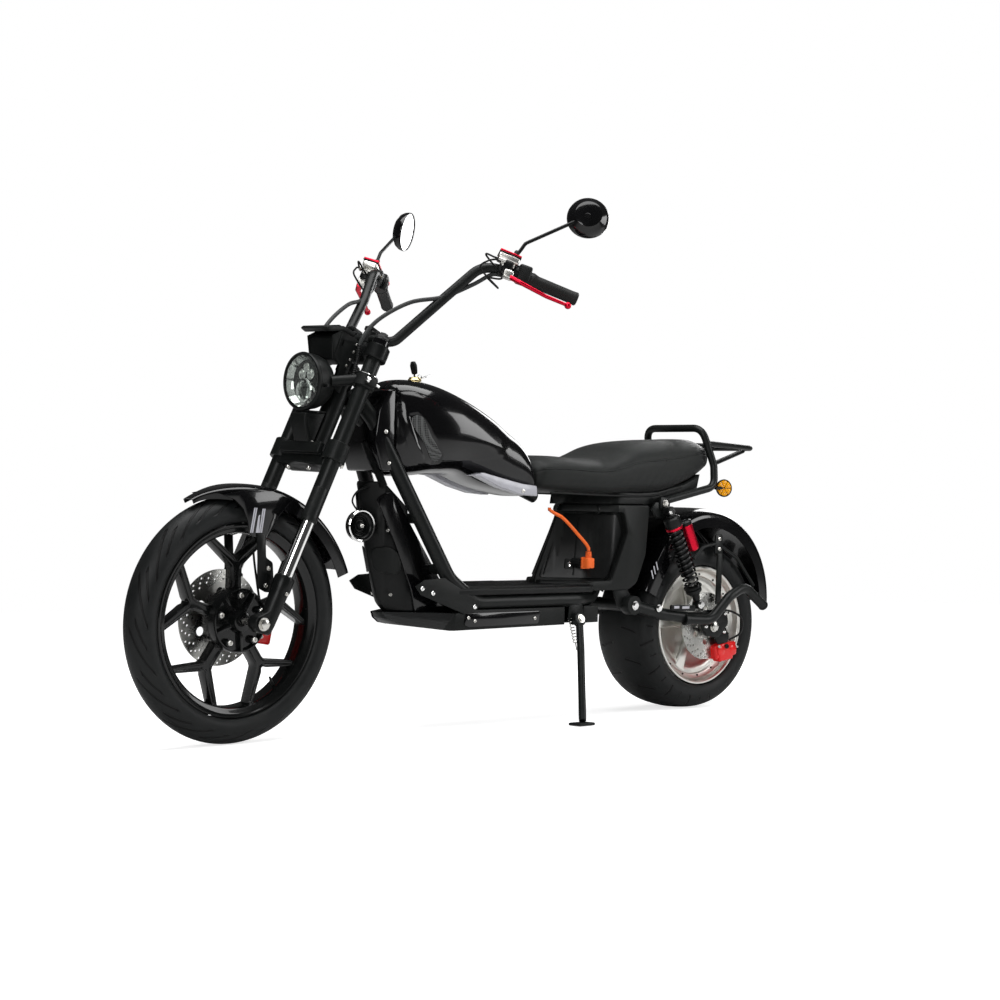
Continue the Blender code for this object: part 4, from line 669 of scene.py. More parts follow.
def refined(node, look, edge, reshape):
    """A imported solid's own shape with its flats cleaned, its edges rounded and its form mended."""
    bm = bmesh.new()
    bm.from_mesh(nodes[node].data)
    bmesh.ops.remove_doubles(bm, verts=bm.verts, dist=2e-05)
    bmesh.ops.dissolve_limit(bm, angle_limit=math.radians(1.5), verts=bm.verts, edges=bm.edges)
    round_edges(bm, edge, 3, 28)
    piece(f"{node}_shape", reshape(moved(bm, MACHINE.inverted())), CHASSIS, look, (node,),
        slot="matte_black")


def cap_screw(at, outward, radius=0.0045, height=0.004):
    """A domed screw head with a hexagon socket."""
    at, outward = Vector(at), Vector(outward).normalized()
    return turned_along(at, at + outward, [(0, height * 0.55), (radius * 0.42, height * 0.55),
        (radius * 0.46, height), (radius * 0.8, height * 0.95), (radius, height * 0.6), (radius, -0.0005),
        (0, -0.0005)][::-1], 18)


def hex_nut(at, outward, radius=0.008, height=0.007):
    """A hexagon nut or bolt head on a washer."""
    at, outward = Vector(at), Vector(outward).normalized()
    nut = moved(spun([(0, 0.0015), (radius, 0.0015), (radius, height - 0.001), (radius * 0.86, height),
        (0, height)], 6), towards(at, at + outward))
    washer = turned_along(at, at + outward, [(0, 0), (radius * 1.25, 0), (radius * 1.25, 0.0015),
        (0, 0.0015)], 24)
    return merged(nut, washer)


def circle(radius, sides=32, centre=(0, 0)):
    return [(centre[0] + radius * math.cos(math.tau * k / sides),
        centre[1] + radius * math.sin(math.tau * k / sides)) for k in range(sides)]


def plate(loops, thickness, edge=0.0):
    """A flat plate in XY from its outline and its holes' outlines, its UV map in metres."""
    curve = bpy.data.curves.new("plate", "CURVE")
    curve.dimensions = "2D"
    curve.fill_mode = "BOTH"
    curve.extrude = thickness / 2
    for loop in loops:
        spline = curve.splines.new("POLY")
        spline.points.add(len(loop) - 1)
        for point, (x, y) in zip(spline.points, loop):
            point.co = (x, y, 0, 1)
        spline.use_cyclic_u = True
    bm = shape_of(curve, 1e-05)
    if edge:
        bmesh.ops.dissolve_limit(bm, angle_limit=math.radians(1), verts=bm.verts, edges=bm.edges)
        round_edges(bm, edge, 2, 50)
    bmesh.ops.recalc_face_normals(bm, faces=bm.faces)
    for layer in list(bm.loops.layers.uv.values()):
        bm.loops.layers.uv.remove(layer)
    layer = bm.loops.layers.uv.new("UVMap")
    for face in bm.faces:
        for loop in face.loops:
            loop[layer].uv = loop.vert.co.xy
    return bm


def sliced(bm, first, last, step):
    """The shape with cuts across X, so that a taper can bend it."""
    x = first
    while x < last:
        bmesh.ops.bisect_plane(bm, geom=bm.verts[:] + bm.edges[:] + bm.faces[:], plane_co=(x, 0, 0),
            plane_no=(1, 0, 0))
        x += step
    return bm


NOSE_REACH = 0.24
NOSE_STEP = 0.022


def drawn_in(bm, starts, slope):
    """The front of a shape drawn in to a nose ahead of starts (z, x), along the camera's sight lines."""
    sliced(bm, min(x for _, x in starts), max(x for _, x in starts) + NOSE_REACH, NOSE_STEP)
    for vert in bm.verts:
        over = vert.co.x - table_at(starts, vert.co.z)[0]
        if over > 0:
            sight = Vector((EYE.x - vert.co.x, EYE.y - abs(vert.co.y))).normalized()
            back = slope * over / (sight.y + slope * sight.x)
            vert.co.x -= back * sight.x
            vert.co.y = math.copysign(max(abs(vert.co.y) - back * sight.y, 0.003), vert.co.y)
    return bm


def narrowed(bm, first, last, share):
    """The shape's width falling to a share of itself between two places along X."""
    sliced(bm, first, last, 0.02)
    for vert in bm.verts:
        vert.co.y *= 1 - (1 - share) * min(max((vert.co.x - first) / (last - first), 0.0), 1.0)
    return bm


def turn_z(angle):
    return Matrix.Rotation(angle, 4, "Z")


def both_sides(y, outline, *given):
    """A slab of the outline on each side of the machine, its middle y out."""
    return [stood(slab(outline, *given), side * y) for _, side in SIDES]


def side_screws(y, places, radius, height):
    """Screws facing out on each side of the machine, y out, at each place (x, z)."""
    return [cap_screw((x, side * y, z), (0, side, 0), radius, height) for _, side in SIDES for x,
        z in places]


# Charging lead: from the gland under the seat to the plug on the left of the body

LEAD_RADIUS = 0.0045
LEAD_ROUTE = mm(3, 594, 100, 566.2, 594, 100, 560.5, 593.5, 117, 552.5, 580, 133.5, 542, 552, 135.5, 521,
    520, 136, 494, 494, 135.8, 473, 482, 134.6, 460, 482, 134.6, 453.3)
LEAD_PARTS = 2


def lead_path():
    """The route's straight ends with a smooth curve of LEAD_PARTS steps a span between them."""
    start, *inner, end = [Vector(p) for p in LEAD_ROUTE]
    return [start] + curve_through(inner, LEAD_PARTS) + [end]


def make_charging_lead(plug):
    path = [MACHINE @ p for p in lead_path()]
    curve = round_curve("charging_cord", path, LEAD_RADIUS, 6)
    curve.splines[0].use_smooth = True
    cord = bpy.data.objects.new("charging_cord", curve)
    scene.collection.objects.link(cord)
    curve.materials.append(orange_jacket)
    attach(cord, "chassis")
    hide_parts("charging_lead")
    length = sum((b - a).length for a, b in zip(path, path[1:]))
    list(path[0])


# Wheels and tyres

FRONT_TYRE_ROWS = ((0, 0, 0), (0.05, 0.0037, 0.0002), (0.15, 0.011, 0.0018), (0.3, 0.0205, 0.0058),
    (0.45, 0.03, 0.0135), (0.6, 0.0385, 0.0255), (0.7, 0.0425, 0.0385), (0.78, 0.0415, 0.05),
    (0.86, 0.036, 0.059), (0.9, 0.031, 0.063), (0.95, 0.02, 0.06), (1, 0, 0.056))
REAR_TYRE_ROWS = ((0, 0, 0), (0.05, 0.008, 0.0002), (0.15, 0.025, 0.0012), (0.3, 0.0515, 0.004),
    (0.42, 0.07, 0.0078), (0.52, 0.0845, 0.0135), (0.6, 0.0945, 0.021), (0.67, 0.101, 0.031),
    (0.73, 0.103, 0.042), (0.8, 0.1015, 0.054), (0.87, 0.0975, 0.064), (0.91, 0.093, 0.07),
    (0.95, 0.08, 0.068), (1, 0, 0.06))


def make_tyre(name, body, place, radius, rows, look):

    def section(u, w):
        side = 2 * w - 1
        y, drop = table_at(rows, abs(side))
        turn = math.tau * u
        return Vector(((radius - drop) * math.cos(turn), (radius - drop) * math.sin(turn),
            math.copysign(y, side)))
    piece(f"{name}_tread", skin(section, 200, 56), (place @ ACROSS, body), look, (name,), 60, slot="tyre")


def front_spoke():
    """A forked spoke along +X, with a raised border on both faces."""
    half = mm(2, 50, 15, 85, 12.5, 120, 12.5, 130, 15.5, 187, 81.5, 195.5, 70, 150, 8.8, 142, 3.2)
    outline = [(x, -y) for x, y in half] + [(x, y) for x, y in reversed(half)]
    bm = slab(outline, 0.03)
    caps = [face for face in bm.faces if len(face.verts) > 6]
    bmesh.ops.inset_region(bm, faces=caps, thickness=0.0042, depth=0)
    inner = [face for face in bm.faces if len(face.verts) > 6]
    bmesh.ops.inset_region(bm, faces=inner, thickness=0.0012, depth=-0.003)
    return round_edges(bm, 0.001, 2, 40)


def flipped(profile):
    """The profile's points mirrored to the other side of the wheel, in turn."""
    return [(radius, -height) for radius, height in reversed(profile)]


def make_front_wheel():
    outer = mm(2, 229, 30, 229, 32.5, 226.5, 34, 223, 33.5, 220, 31, 216.5, 29, 211.5, 28.5, 207.5, 26.5,
        205, 22, 203.5, 13)
    bed = mm(2, 212, 10, 215, 22, 224, 27)
    rim = spun(outer + flipped(outer) + flipped(bed) + bed, 160, ring=True)
    piece("front_rim", rim, FRONT_HUB, rim_black, ("front_wheel",), 30)
    spokes = copies(front_spoke, [rotation(-90 + 72 * k, "Z") for k in range(5)])
    piece("front_spokes", spokes, FRONT_HUB, rim_black, ("front_wheel",))
    hub = spun(mm(2, 10.5, -54, 34, -54, 34, -48, 40, -44, 62, -30, 72, -18, 76, -10, 76, 32, 74.5, 35,
        71.5, 36, 70, 33, 69, 26, 30, 26, 27, 34, 24, 44, 21.5, 45.5, 10.5, 45.5), 96, ring=True)
    ribs = mm(2, 22, -4, 71, -2.8, 71, 2.8, 22, 4)
    hub_ribs = copies(lambda: slab(ribs, 0.014, 0.0008), [rotation(-50 + 72 * k, "Z")
        @ shift((0, 0, 0.0295)) for k in range(5)])
    bosses = copies(lambda: shifted(spun(mm(2, 0, 24, 10, 24, 9.2, 37.5, 8, 38.5, 0, 38.5), 24),
        (0.06, 0, 0)), [rotation(-14 + 72 * k, "Z") for k in range(5)])
    piece("front_hub", [hub, hub_ribs, bosses], FRONT_HUB, rim_black, ("front_wheel",))
    screws = copies(lambda: cap_screw((0.06, 0, 0.0385), (0, 0, 1), 0.0068, 0.005),
        [rotation(-14 + 72 * k, "Z") for k in range(5)])
    piece("front_hub_screws", screws, FRONT_HUB, bright_steel)
    valve = turned_along((0.204, 0, 0.004), (0.178, 0, 0.01),
        mm(2, 0, 0, 3.5, 0, 3.5, 20, 2.8, 21, 2.8, 26, 0, 26), 14)
    piece("front_valve", moved(valve, rotation(128, "Z")), FRONT_HUB, cable_black)


def drilled_disc(outer, inner, rows, count, windows, window_radius, hole=0.003):
    """A brake disc with staggered rows of holes and round windows between its arms."""
    loops = [circle(outer, 120), circle(inner, 48)]
    for k in range(count):
        for row, radius in enumerate(rows):
            angle = math.tau * (k + row * 0.33) / count
            loops.append(circle(hole, 10, (radius * math.cos(angle), radius * math.sin(angle))))
    middle = inner + (rows[-1] - inner) * 0.42
    for k in range(windows):
        angle = math.tau * (k + 0.5) / windows
        loops.append(circle(window_radius, 20, (middle * math.cos(angle), middle * math.sin(angle))))
    return loops


def make_discs():
    front = plate(drilled_disc(0.115, 0.04, (0.108, 0.1, 0.092), 24, 6, 0.011), 0.004)
    piece("front_disc_drilled", front, (FRONT @ shift((0, -0.052, 0)) @ ACROSS, "front_wheel"), disc_steel,
        ("front_brake_disc",))
    rear = plate(drilled_disc(0.094, 0.026, (0.088, 0.08, 0.072), 20, 6, 0.01, 0.0028), 0.004)
    piece("rear_disc_drilled", rear, (REAR @ shift((0, 0.112, 0)) @ ACROSS, "rear_wheel"), disc_steel,
        ("rear_brake_disc",))
    for name, body, place, y, out, reach in (("front", "front_wheel", FRONT, -0.054, -1, 0.049),
            ("rear", "rear_wheel", REAR, 0.114, 1, 0.034)):
        screws = merged(*[cap_screw((reach * math.cos(math.tau * k / 6), y,
            reach * math.sin(math.tau * k / 6)), (0, out, 0), 0.0048, 0.0036) for k in range(6)])
        piece(f"{name}_disc_screws", screws, (place, body), bright_steel)


def make_rear_wheel():
    dish = spun(mm(2, 10.5, 66, 30, 66, 34, 56, 70, 54, 108, 56, 116, 60, 122, 64, 130, 65, 137, 66, 140,
        70, 149, 74, 154, 80, 156, 88, 158, 92.5, 161, 95, 165, 95, 166.5, 93, 166, 89.5, 156, 72, 148, 60,
        148, -60, 156, -72, 166, -89.5, 166.5, -93, 165, -95, 161, -95, 158, -92.5, 156, -88, 154, -80, 149,
        -74, 140, -70, 137, -66, 122, -64, 116, -60, 30, -60, 26, -66, 10.5, -66), 128, ring=True)
    piece("rear_rim", dish, REAR_HUB, silver_cast, ("rear_wheel",), 28)
    blade = mm(2, 34, -15, 80, -20, 127, -30, 133, -10, 133, 12, 125, 6, 80, 4, 34, 12)
    blades = []
    for side in (1, -1):
        face = shift((0, 0, side * 0.06))
        blades += [moved(slab(blade, 0.012, 0.0025, 3), face @ turn_z(math.tau * k / 5)) for k in range(5)]
    piece("rear_wheel_blades", blades, REAR_HUB, silver_cast, ("rear_wheel",))
    ring_screws = []
    for side in (1, -1):
        for k in range(15):
            angle = math.tau * k / 15
            at = Vector((0.144 * math.cos(angle), 0.144 * math.sin(angle), side * 0.0716))
            ring_screws.append(cap_screw(at, (0, 0, side), 0.003, 0.0022))
    piece("rear_wheel_screws", ring_screws, REAR_HUB, cable_black)
    boss = spun(mm(2, 10.5, 64, 32, 64, 30, 70, 25, 74, 24, 106, 38, 108, 38, 109.8, 10.5, 109.8), 48,
        ring=True)
    piece("rear_hub_boss", boss, REAR_HUB, silver_cast, ("rear_wheel",))


def make_axles():
    front = merged(rod((0, -0.1285, 0), (0, 0.1285, 0), 0.008, sides=32, edge=0.001),
        hex_nut((0, 0.1235, 0), (0, 1, 0), 0.0125, 0.0095),
        hex_nut((0, -0.1235, 0), (0, -1, 0), 0.0125, 0.0095))
    piece("front_axle_bolt", front, BY_FRONT_AXLE, bright_steel, ("front_axle",))
    rear = merged(rod((0, -0.156, 0), (0, 0.156, 0), 0.008, sides=32, edge=0.001),
        hex_nut((0, 0.146, 0), (0, 1, 0), 0.0125, 0.009), hex_nut((0, -0.146, 0), (0, -1, 0), 0.0125,
        0.009))
    piece("rear_axle_bolt", rear, BY_REAR_AXLE, bright_steel, ("rear_axle",))


# Fork, headlight and console

LEG_P = 0.012
LEG_Y = 0.1


def make_fork_leg(name, side):
    y = side * LEG_Y

    def along(profile):
        return shifted(spun(profile, 48), (LEG_P, y, 0))
    upper = along(mm(2, 0, 270, 16.8, 270, 20, 272, 20.4, 276, 20.4, 284, 19.8, 286, 19.8, 356, 19.4, 357,
        19.8, 358, 19.8, 758, 19, 760, 0, 760))
    piece(f"{name}_tube", upper, STEERING, satin_tube, (name,), slot="gloss_black")
    stanchion = along(mm(2, 0, 100, 16.5, 100, 16.5, 271.5, 0, 271.5))
    piece(f"{name}_stanchion", stanchion, STEERING, chrome, (name,))
    slider = along(mm(2, 0, -14, 14, -14, 18, -10, 20, 10, 21.5, 60, 22.5, 90, 24.5, 96, 24.8, 122, 23.5,
        127, 19, 130, 16.8, 130, 0, 129))
    lug_flat = mm(2, 16, -18, 30, -20, 46, -15, 54.5, -2, 53, 11, 44, 19, 30, 33, 16, 60, 2, 60, 2, -12)
    lug = stood(slab(lug_flat, 0.034, 0.0045, 3), y)
    piece(f"{name}_slider", [slider, lug], STEERING, cast_black, (name,), slot="gloss_black")
    fittings = merged(cap_screw((LEG_P - 0.004, y + side * 0.0225, 0.088), (0, side, 0), 0.0048),
        cap_screw((LEG_P + 0.02, y, -0.014), (0.3, 0, -1), 0.0045))
    piece(f"{name}_screws", fittings, STEERING, bright_steel)


def ring_round(radius, inner, low, high, y, edge=0.0012):
    shape = spun([(inner, low), (radius - edge, low), (radius, low + edge), (radius, high - edge),
        (radius - edge, high), (inner, high)], 64, ring=True)
    return shifted(shape, (LEG_P, y, 0))


def make_clamps():
    lower = [block((0.0072, 0, 0.43), (0.046, 0.18, 0.034), 0.004),
        block((0.039, 0, 0.452), (0.015, 0.15, 0.028), 0.003),
        block((0.03, 0, 0.442), (0.015, 0.15, 0.012), 0.003)]
    lower += [ring_round(0.029, 0.0197, 0.429, 0.477, side * LEG_Y, 0.002) for _, side in SIDES]
    lower += [shifted(slab(mm(2, -18, -80, 30, -60, 40, 0, 30, 60, -18, 80), 0.004, 0.001), (0, 0, 0.415))]
    piece("lower_clamp_casting", lower, STEERING, satin_tube, ("lower_clamp",))
    upper = [block((0.0072, 0, 0.722), (0.046, 0.18, 0.034), 0.005)]
    upper += [ring_round(0.029, 0.0197, 0.704, 0.74, side * LEG_Y, 0.002) for _, side in SIDES]
    for _, side in SIDES:
        upper.append(shifted(spun(mm(2, 0, 735, 16.5, 735, 16.5, 750, 15, 752, 15, 755, 16.5, 757, 16.5,
            786, 15, 788, 0, 788), 40), (0, side * 0.034, 0)))
    piece("upper_clamp_casting", upper, STEERING, cast_black, ("upper_clamp",))
    caps, bands = [], []
    for _, side in SIDES:
        caps.append(shifted(spun(mm(2, 0, 759.8, 17.2, 759.8, 17.2, 765, 15, 769, 12, 770, 11, 776, 0, 777),
            6), (LEG_P, side * LEG_Y, 0)))
        bands.append(ring_round(0.0218, 0.0197, 0.74, 0.756, side * LEG_Y, 0.0015))
    piece("fork_top_caps", caps, STEERING, cast_black)
    piece("fork_top_bands", bands, STEERING, gloss_paint)
    pinch = [hex_nut((LEG_P - 0.02, side * (LEG_Y + 0.012), s), (-1, side * 0.6, 0), 0.0065, 0.006) for _,
        side in SIDES for s in (0.43, 0.722)]
    stem_nut = spun(mm(2, 0, 739, 20, 739, 20, 745, 15, 749, 12, 756, 0, 757), 6)
    under = [cap_screw((0.026, y, 0.4064), (0, 0, -1), 0.006, 0.006) for y in (-0.04, 0.04)]
    piece("clamp_fasteners", pinch + under, STEERING, bright_steel)
    piece("stem_nut", stem_nut, STEERING, cast_black)


LAMP = (STEER @ shift((0.1151, 0, 0.5915)) @ Matrix.Rotation(math.radians(90) + RAKE, 4, "Y")
    @ Matrix.Diagonal((0.922, 0.922, 0.62, 1)) @ shift((0, 0, -0.05)), "steering")


def make_headlight():
    bowl = spun(mm(2, 0, -68, 25, -67.5, 42, -62, 56, -50, 65.5, -32, 71, -10, 73.8, 15, 74, 33, 72.5, 34.5,
        72.5, 36, 76.2, 38, 77, 44, 75.5, 50, 72, 52, 69, 49, 68, 30, 64, 5, 50, -25, 0, -40), 96)
    piece("headlight_bowl", bowl, LAMP, matte_shell, ("headlight",), slot="gloss_black")
    reflector = spun(mm(2, 67.5, 40, 67, 41.2, 62, 30, 52, 12, 40, 2, 24, -3, 0, -4, 0, -6, 25, -5.5, 42,
        -0.5, 55, 10, 65, 29), 96)
    piece("headlight_reflector", reflector, LAMP, chrome, smooth=40)
    lens = spun(mm(2, 0, 69, 20, 67.5, 40, 62.5, 56, 56, 67, 49, 69, 46.5, 68, 45.5, 65, 47.5, 55, 54, 39.5,
        60.2, 20, 65, 0, 66.5), 96)
    piece("headlight_lens", lens, LAMP, clear_lens, smooth=40)
    housing = shifted(spun(mm(2, 27, 5, 30, 30, 32, 34, 30, 37, 26, 36, 23.5, 30, 22.5, 5), 48, ring=True),
        (0.023, 0, 0))
    piece("headlight_ring", housing, LAMP, chrome, smooth=40)
    projector = shifted(spun(mm(2, 0, 38, 10, 36, 18, 31, 22.5, 23, 22.5, 20, 0, 20), 48), (0.023, 0, 0))
    piece("headlight_projector", projector, LAMP, clear_lens, smooth=40)
    well = shifted(spun(mm(2, 0, 11, 21.5, 13, 21.5, 6, 0, 6), 40), (0.023, 0, 0))
    mask = plate([circle(0.056, 72), circle(0.0325, 40, (0.023, 0)), circle(0.0125, 24, (-0.019, 0.017)),
        circle(0.0125, 24, (-0.019, -0.017)), circle(0.0105, 24, (-0.037, 0))], 0.002)
    shifted(mask, (0, 0, 0.02))
    piece("headlight_mask", [well, mask], LAMP, cast_black, smooth=40)
    lobes = []
    for x, y, radius in mm(3, -19, 17, 12.5, -19, -17, 12.5, -37, 0, 10.5):
        lobes.append(shifted(spun([(0, 0.006), (radius * 0.7, 0.009), (radius * 0.92, 0.017),
            (radius, 0.024), (radius + 0.0018, 0.0245), (radius + 0.0018, 0.019), (radius * 0.9, 0.006),
            (0, 0.003)], 32), (x, y, 0)))
    piece("headlight_lobes", lobes, LAMP, chrome, smooth=40)
    arms, bolts = [], []
    for _, side in SIDES:
        arms.append(ring_round(0.0275, 0.0199, 0.627, 0.66, side * LEG_Y, 0.002))
        arms.append(rod((0.026, side * 0.09, 0.644), (0.076, side * 0.06, 0.612), 0.013, sides=40))
        arms.append(block((0.012, side * 0.1265, 0.644), (0.026, 0.014, 0.022), 0.003))
        bolts.append(hex_nut((0.025, side * 0.127, 0.644), (1, 0, 0), 0.007, 0.007))
        bolts.append(rod((-0.012, side * 0.127, 0.644), (0.026, side * 0.127, 0.644), 0.004, sides=16))
        bolts.append(ring_round(0.0282, 0.0199, 0.6585, 0.6612, side * LEG_Y, 0.0008))
    piece("headlight_arms", arms, STEERING, matte_shell, ("headlight",), slot="frame_black")
    piece("headlight_bolts", bolts, STEERING, chrome)
    knobs = merged(*[rod((0.01, side * 0.072, 0.02), (0.01, side * 0.088, 0.02), 0.0055, 0.004, 20) for _,
        side in SIDES])
    piece("headlight_knobs", knobs, LAMP, cast_black)


CONSOLE_SIDE = mm(2, 30.5, 604, 56, 604, 64, 640, 70, 664, 100, 672, 138, 716, 110, 743, 64, 748, 30.5, 740)

CONSOLE = (STEER @ shift((0.0305, 0, 0)) @ Matrix.Diagonal((0.8, 0.84, 1, 1)) @ shift((-0.0305, 0, 0)),
    "steering")


def make_console():
    cover = slab(mm(2, 33, 706, 60, 668, 99, 668, 130, 712, 108, 739.5, 64, 744, 33, 737), 0.104, 0.004, 3)
    stood(cover, 0)
    brim = slab(mm(2, 60, 744, 108, 741, 150, 721, 170.5, 723, 166, 732, 148, 735, 112, 753, 62, 756),
        0.122, 0.0035, 3)
    stood(brim, 0)
    piece("console_cover", [cover, brim], CONSOLE, matte_shell, ("instrument_console",), 30)
    keyhole = mm(2, 87, 723, 92, 723, 93.5, 710, 90, 706, 86, 710)
    plates = [stood(plate([CONSOLE_SIDE, keyhole], 0.0035, 0.0008), side * 0.056) for _, side in SIDES]
    ridges = both_sides(0.0588, mm(2, 100, 676, 104, 676, 109, 738, 105, 738), 0.003, 0.001)
    piece("console_sides", plates + ridges, CONSOLE, matte_shell, ("instrument_console",), 30)
    glass = block((0.087, 0, 0.7545), (0.062, 0.088, 0.004), 0.0015, rotation(4, "Y"))
    piece("console_display", glass, CONSOLE, gloss_paint, smooth=30)
    screws = [cap_screw((p, side * 0.0577, s), (0, side, 0), 0.0036, 0.003) for _, side in SIDES for p,
        s in mm(2, 42, 732, 42, 712, 44, 690, 48, 672)]
    piece("console_screws", screws, CONSOLE, bright_steel)


def make_cowl():
    side = mm(2, 31, 460, 48, 464, 77, 495, 88, 518, 84, 524, 31, 548)
    shell = stood(slab(side, 0.056, 0.004, 3), 0)
    cheek = mm(2, 36, 472, 46, 474, 70, 500, 77, 515, 36, 533)
    cheeks = both_sides(0.0286, cheek, 0.003, 0.0012, 2)
    strip = block((0.056, 0, 0.54), (0.056, 0.05, 0.004), 0.0015, rotation(24, "Y"))
    piece("fork_cowl_shell", [shell, *cheeks, strip], STEERING, matte_shell, ("fork_cowl",), 30)
    screws = [cap_screw((0.038, s * 0.0285, 0.467), (0, s, 0), 0.0036, 0.0032) for _, s in SIDES]
    piece("fork_cowl_screws", screws, STEERING, bright_steel)


# Handlebar and controls

BAR_PATH = mm(3, 0, 70, 767, -26, 96, 773, -78, 155, 930, -108, 205, 1034, -162, 252, 1046, -300, 355, 1046)
BAR_RADIUS = 0.0125
LOOM_PATH = mm(3, 33, 76, 648, 42, 78, 690, 56, 83, 735, 40, 93, 800, -10, 118, 876, -70, 155, 925, -115,
    190, 985, -133, 220, 1022, -150, 236, 1031)


def mirrored(points, side):
    return [Vector((p, side * y, s)) for p, y, s in points]


class Hand:
    """Places at one end of the bar: ahead of it, inwards from its end, and above it."""

    def __init__(self, side):
        self.side = side
        self.end = Vector((BAR_PATH[-1][0], side * BAR_PATH[-1][1], BAR_PATH[-1][2]))
        start = Vector((BAR_PATH[-2][0], side * BAR_PATH[-2][1], BAR_PATH[-2][2]))
        self.outward = (self.end - start).normalized()
        self.ahead = Vector((-side * self.outward.y, side * self.outward.x, 0)) * -1
        if self.ahead.x < 0:
            self.ahead = -self.ahead
        self.turn = Matrix((self.ahead, self.outward * side, Z)).transposed().to_4x4()

    def at(self, ahead, inward, up):
        return self.end + self.ahead * ahead - self.outward * inward + Z * up

    def block(self, ahead, inward, up, size, edge=0.002, tilt=None):
        turn = self.turn @ tilt if tilt else self.turn
        return block(self.at(ahead, inward, up), size, edge, turn)


def make_handlebar():
    points = [Vector((p, -y, s)) for p, y, s in reversed(BAR_PATH)] + [Vector(p) for p in BAR_PATH]
    bar = pipe(bent(points, 0.07, 10), BAR_RADIUS, 28)
    piece("handlebar_tube", bar, STEERING, satin_tube, ("handlebar",), 40)
    caps = []
    for _, side in SIDES:
        caps += [block((0, side * 0.034, 0.7925), (0.036, 0.024, 0.012), 0.003),
            cap_screw((0.012, side * 0.034, 0.798), Z, 0.0038, 0.0034),
            cap_screw((-0.012, side * 0.034, 0.798), Z, 0.0038, 0.0034)]
    piece("bar_clamp_caps", caps, STEERING, cast_black)


def make_grips():
    for name, side in SIDES:
        hand = Hand(side)
        profile = mm(2, 0, -6, 13, -6, 16.5, -3.5, 17.2, 0, 16.5, 4, 16.2, 12, 16.2, 102, 16.8, 106, 18.5,
            112, 19.5, 115, 19.5, 118, 18, 120, 0, 120)
        grip = moved(spun(profile, 40), towards(hand.end, hand.at(0, 1, 0)))
        piece(f"grip_{name}_rubber", grip, STEERING, grip_rubber, (f"grip_{name}",), 40)


def make_levers():
    for name, side in SIDES:
        hand = Hand(side)
        root = hand.at(0.04, 0.172, -0.03)
        along = [root, root + hand.outward * 0.03 + hand.ahead * 0.008 - Z * 0.006,
            root + hand.outward * 0.1 - Z * 0.01, root + hand.outward * 0.158 - Z * 0.01]
        blade = skin(lambda u, w: lever_point(along, u, w), 48, 16)
        ball = shifted(spun([(0, -0.0088)] + [(0.0088 * math.sin(math.radians(a)),
            -0.0088 * math.cos(math.radians(a))) for a in range(15, 180, 15)] + [(0, 0.0088)], 32),
            along[-1])
        piece(f"lever_{name}", [blade, ball], STEERING, red_metal, smooth=40)
        bracket = [hand.block(0.034, 0.178, -0.024, (0.022, 0.024, 0.02), 0.003),
            hand.block(0.018, 0.196, 0.0, (0.04, 0.012, 0.016), 0.003)]
        perch = hand.block(0.03, 0.186, -0.006, (0.024, 0.024, 0.03), 0.004)
        piece(f"lever_{name}_perch", perch, STEERING, cast_black)
        piece(f"lever_{name}_bracket", bracket, STEERING, silver_cast)
        pivot = merged(cap_screw(hand.at(0.038, 0.178, -0.014), Z, 0.0055, 0.003),
            rod(hand.at(0.046, 0.196, 0.002), hand.at(0.046, 0.214, 0.002), 0.005, 0.004, 20))
        piece(f"lever_{name}_pivot", pivot, STEERING, bright_steel)


def lever_point(along, u, w):
    """A lever blade's surface: an oval section that thins towards its ball."""
    spans = len(along) - 1
    k = min(int(u * spans), spans - 1)
    centre = along[k].lerp(along[k + 1], u * spans - k)
    ahead = (along[1] - along[0]).cross(Z).normalized()
    closing = min(1.0, u / 0.02, (1 - u) / 0.02)
    wide = (0.0085 - 0.003 * u) * max(closing, 0.0)
    tall = (0.0062 - 0.0022 * u) * max(closing, 0.0)
    turn = math.tau * w
    return centre + ahead * (wide * math.cos(turn)) + Z * (tall * math.sin(turn))


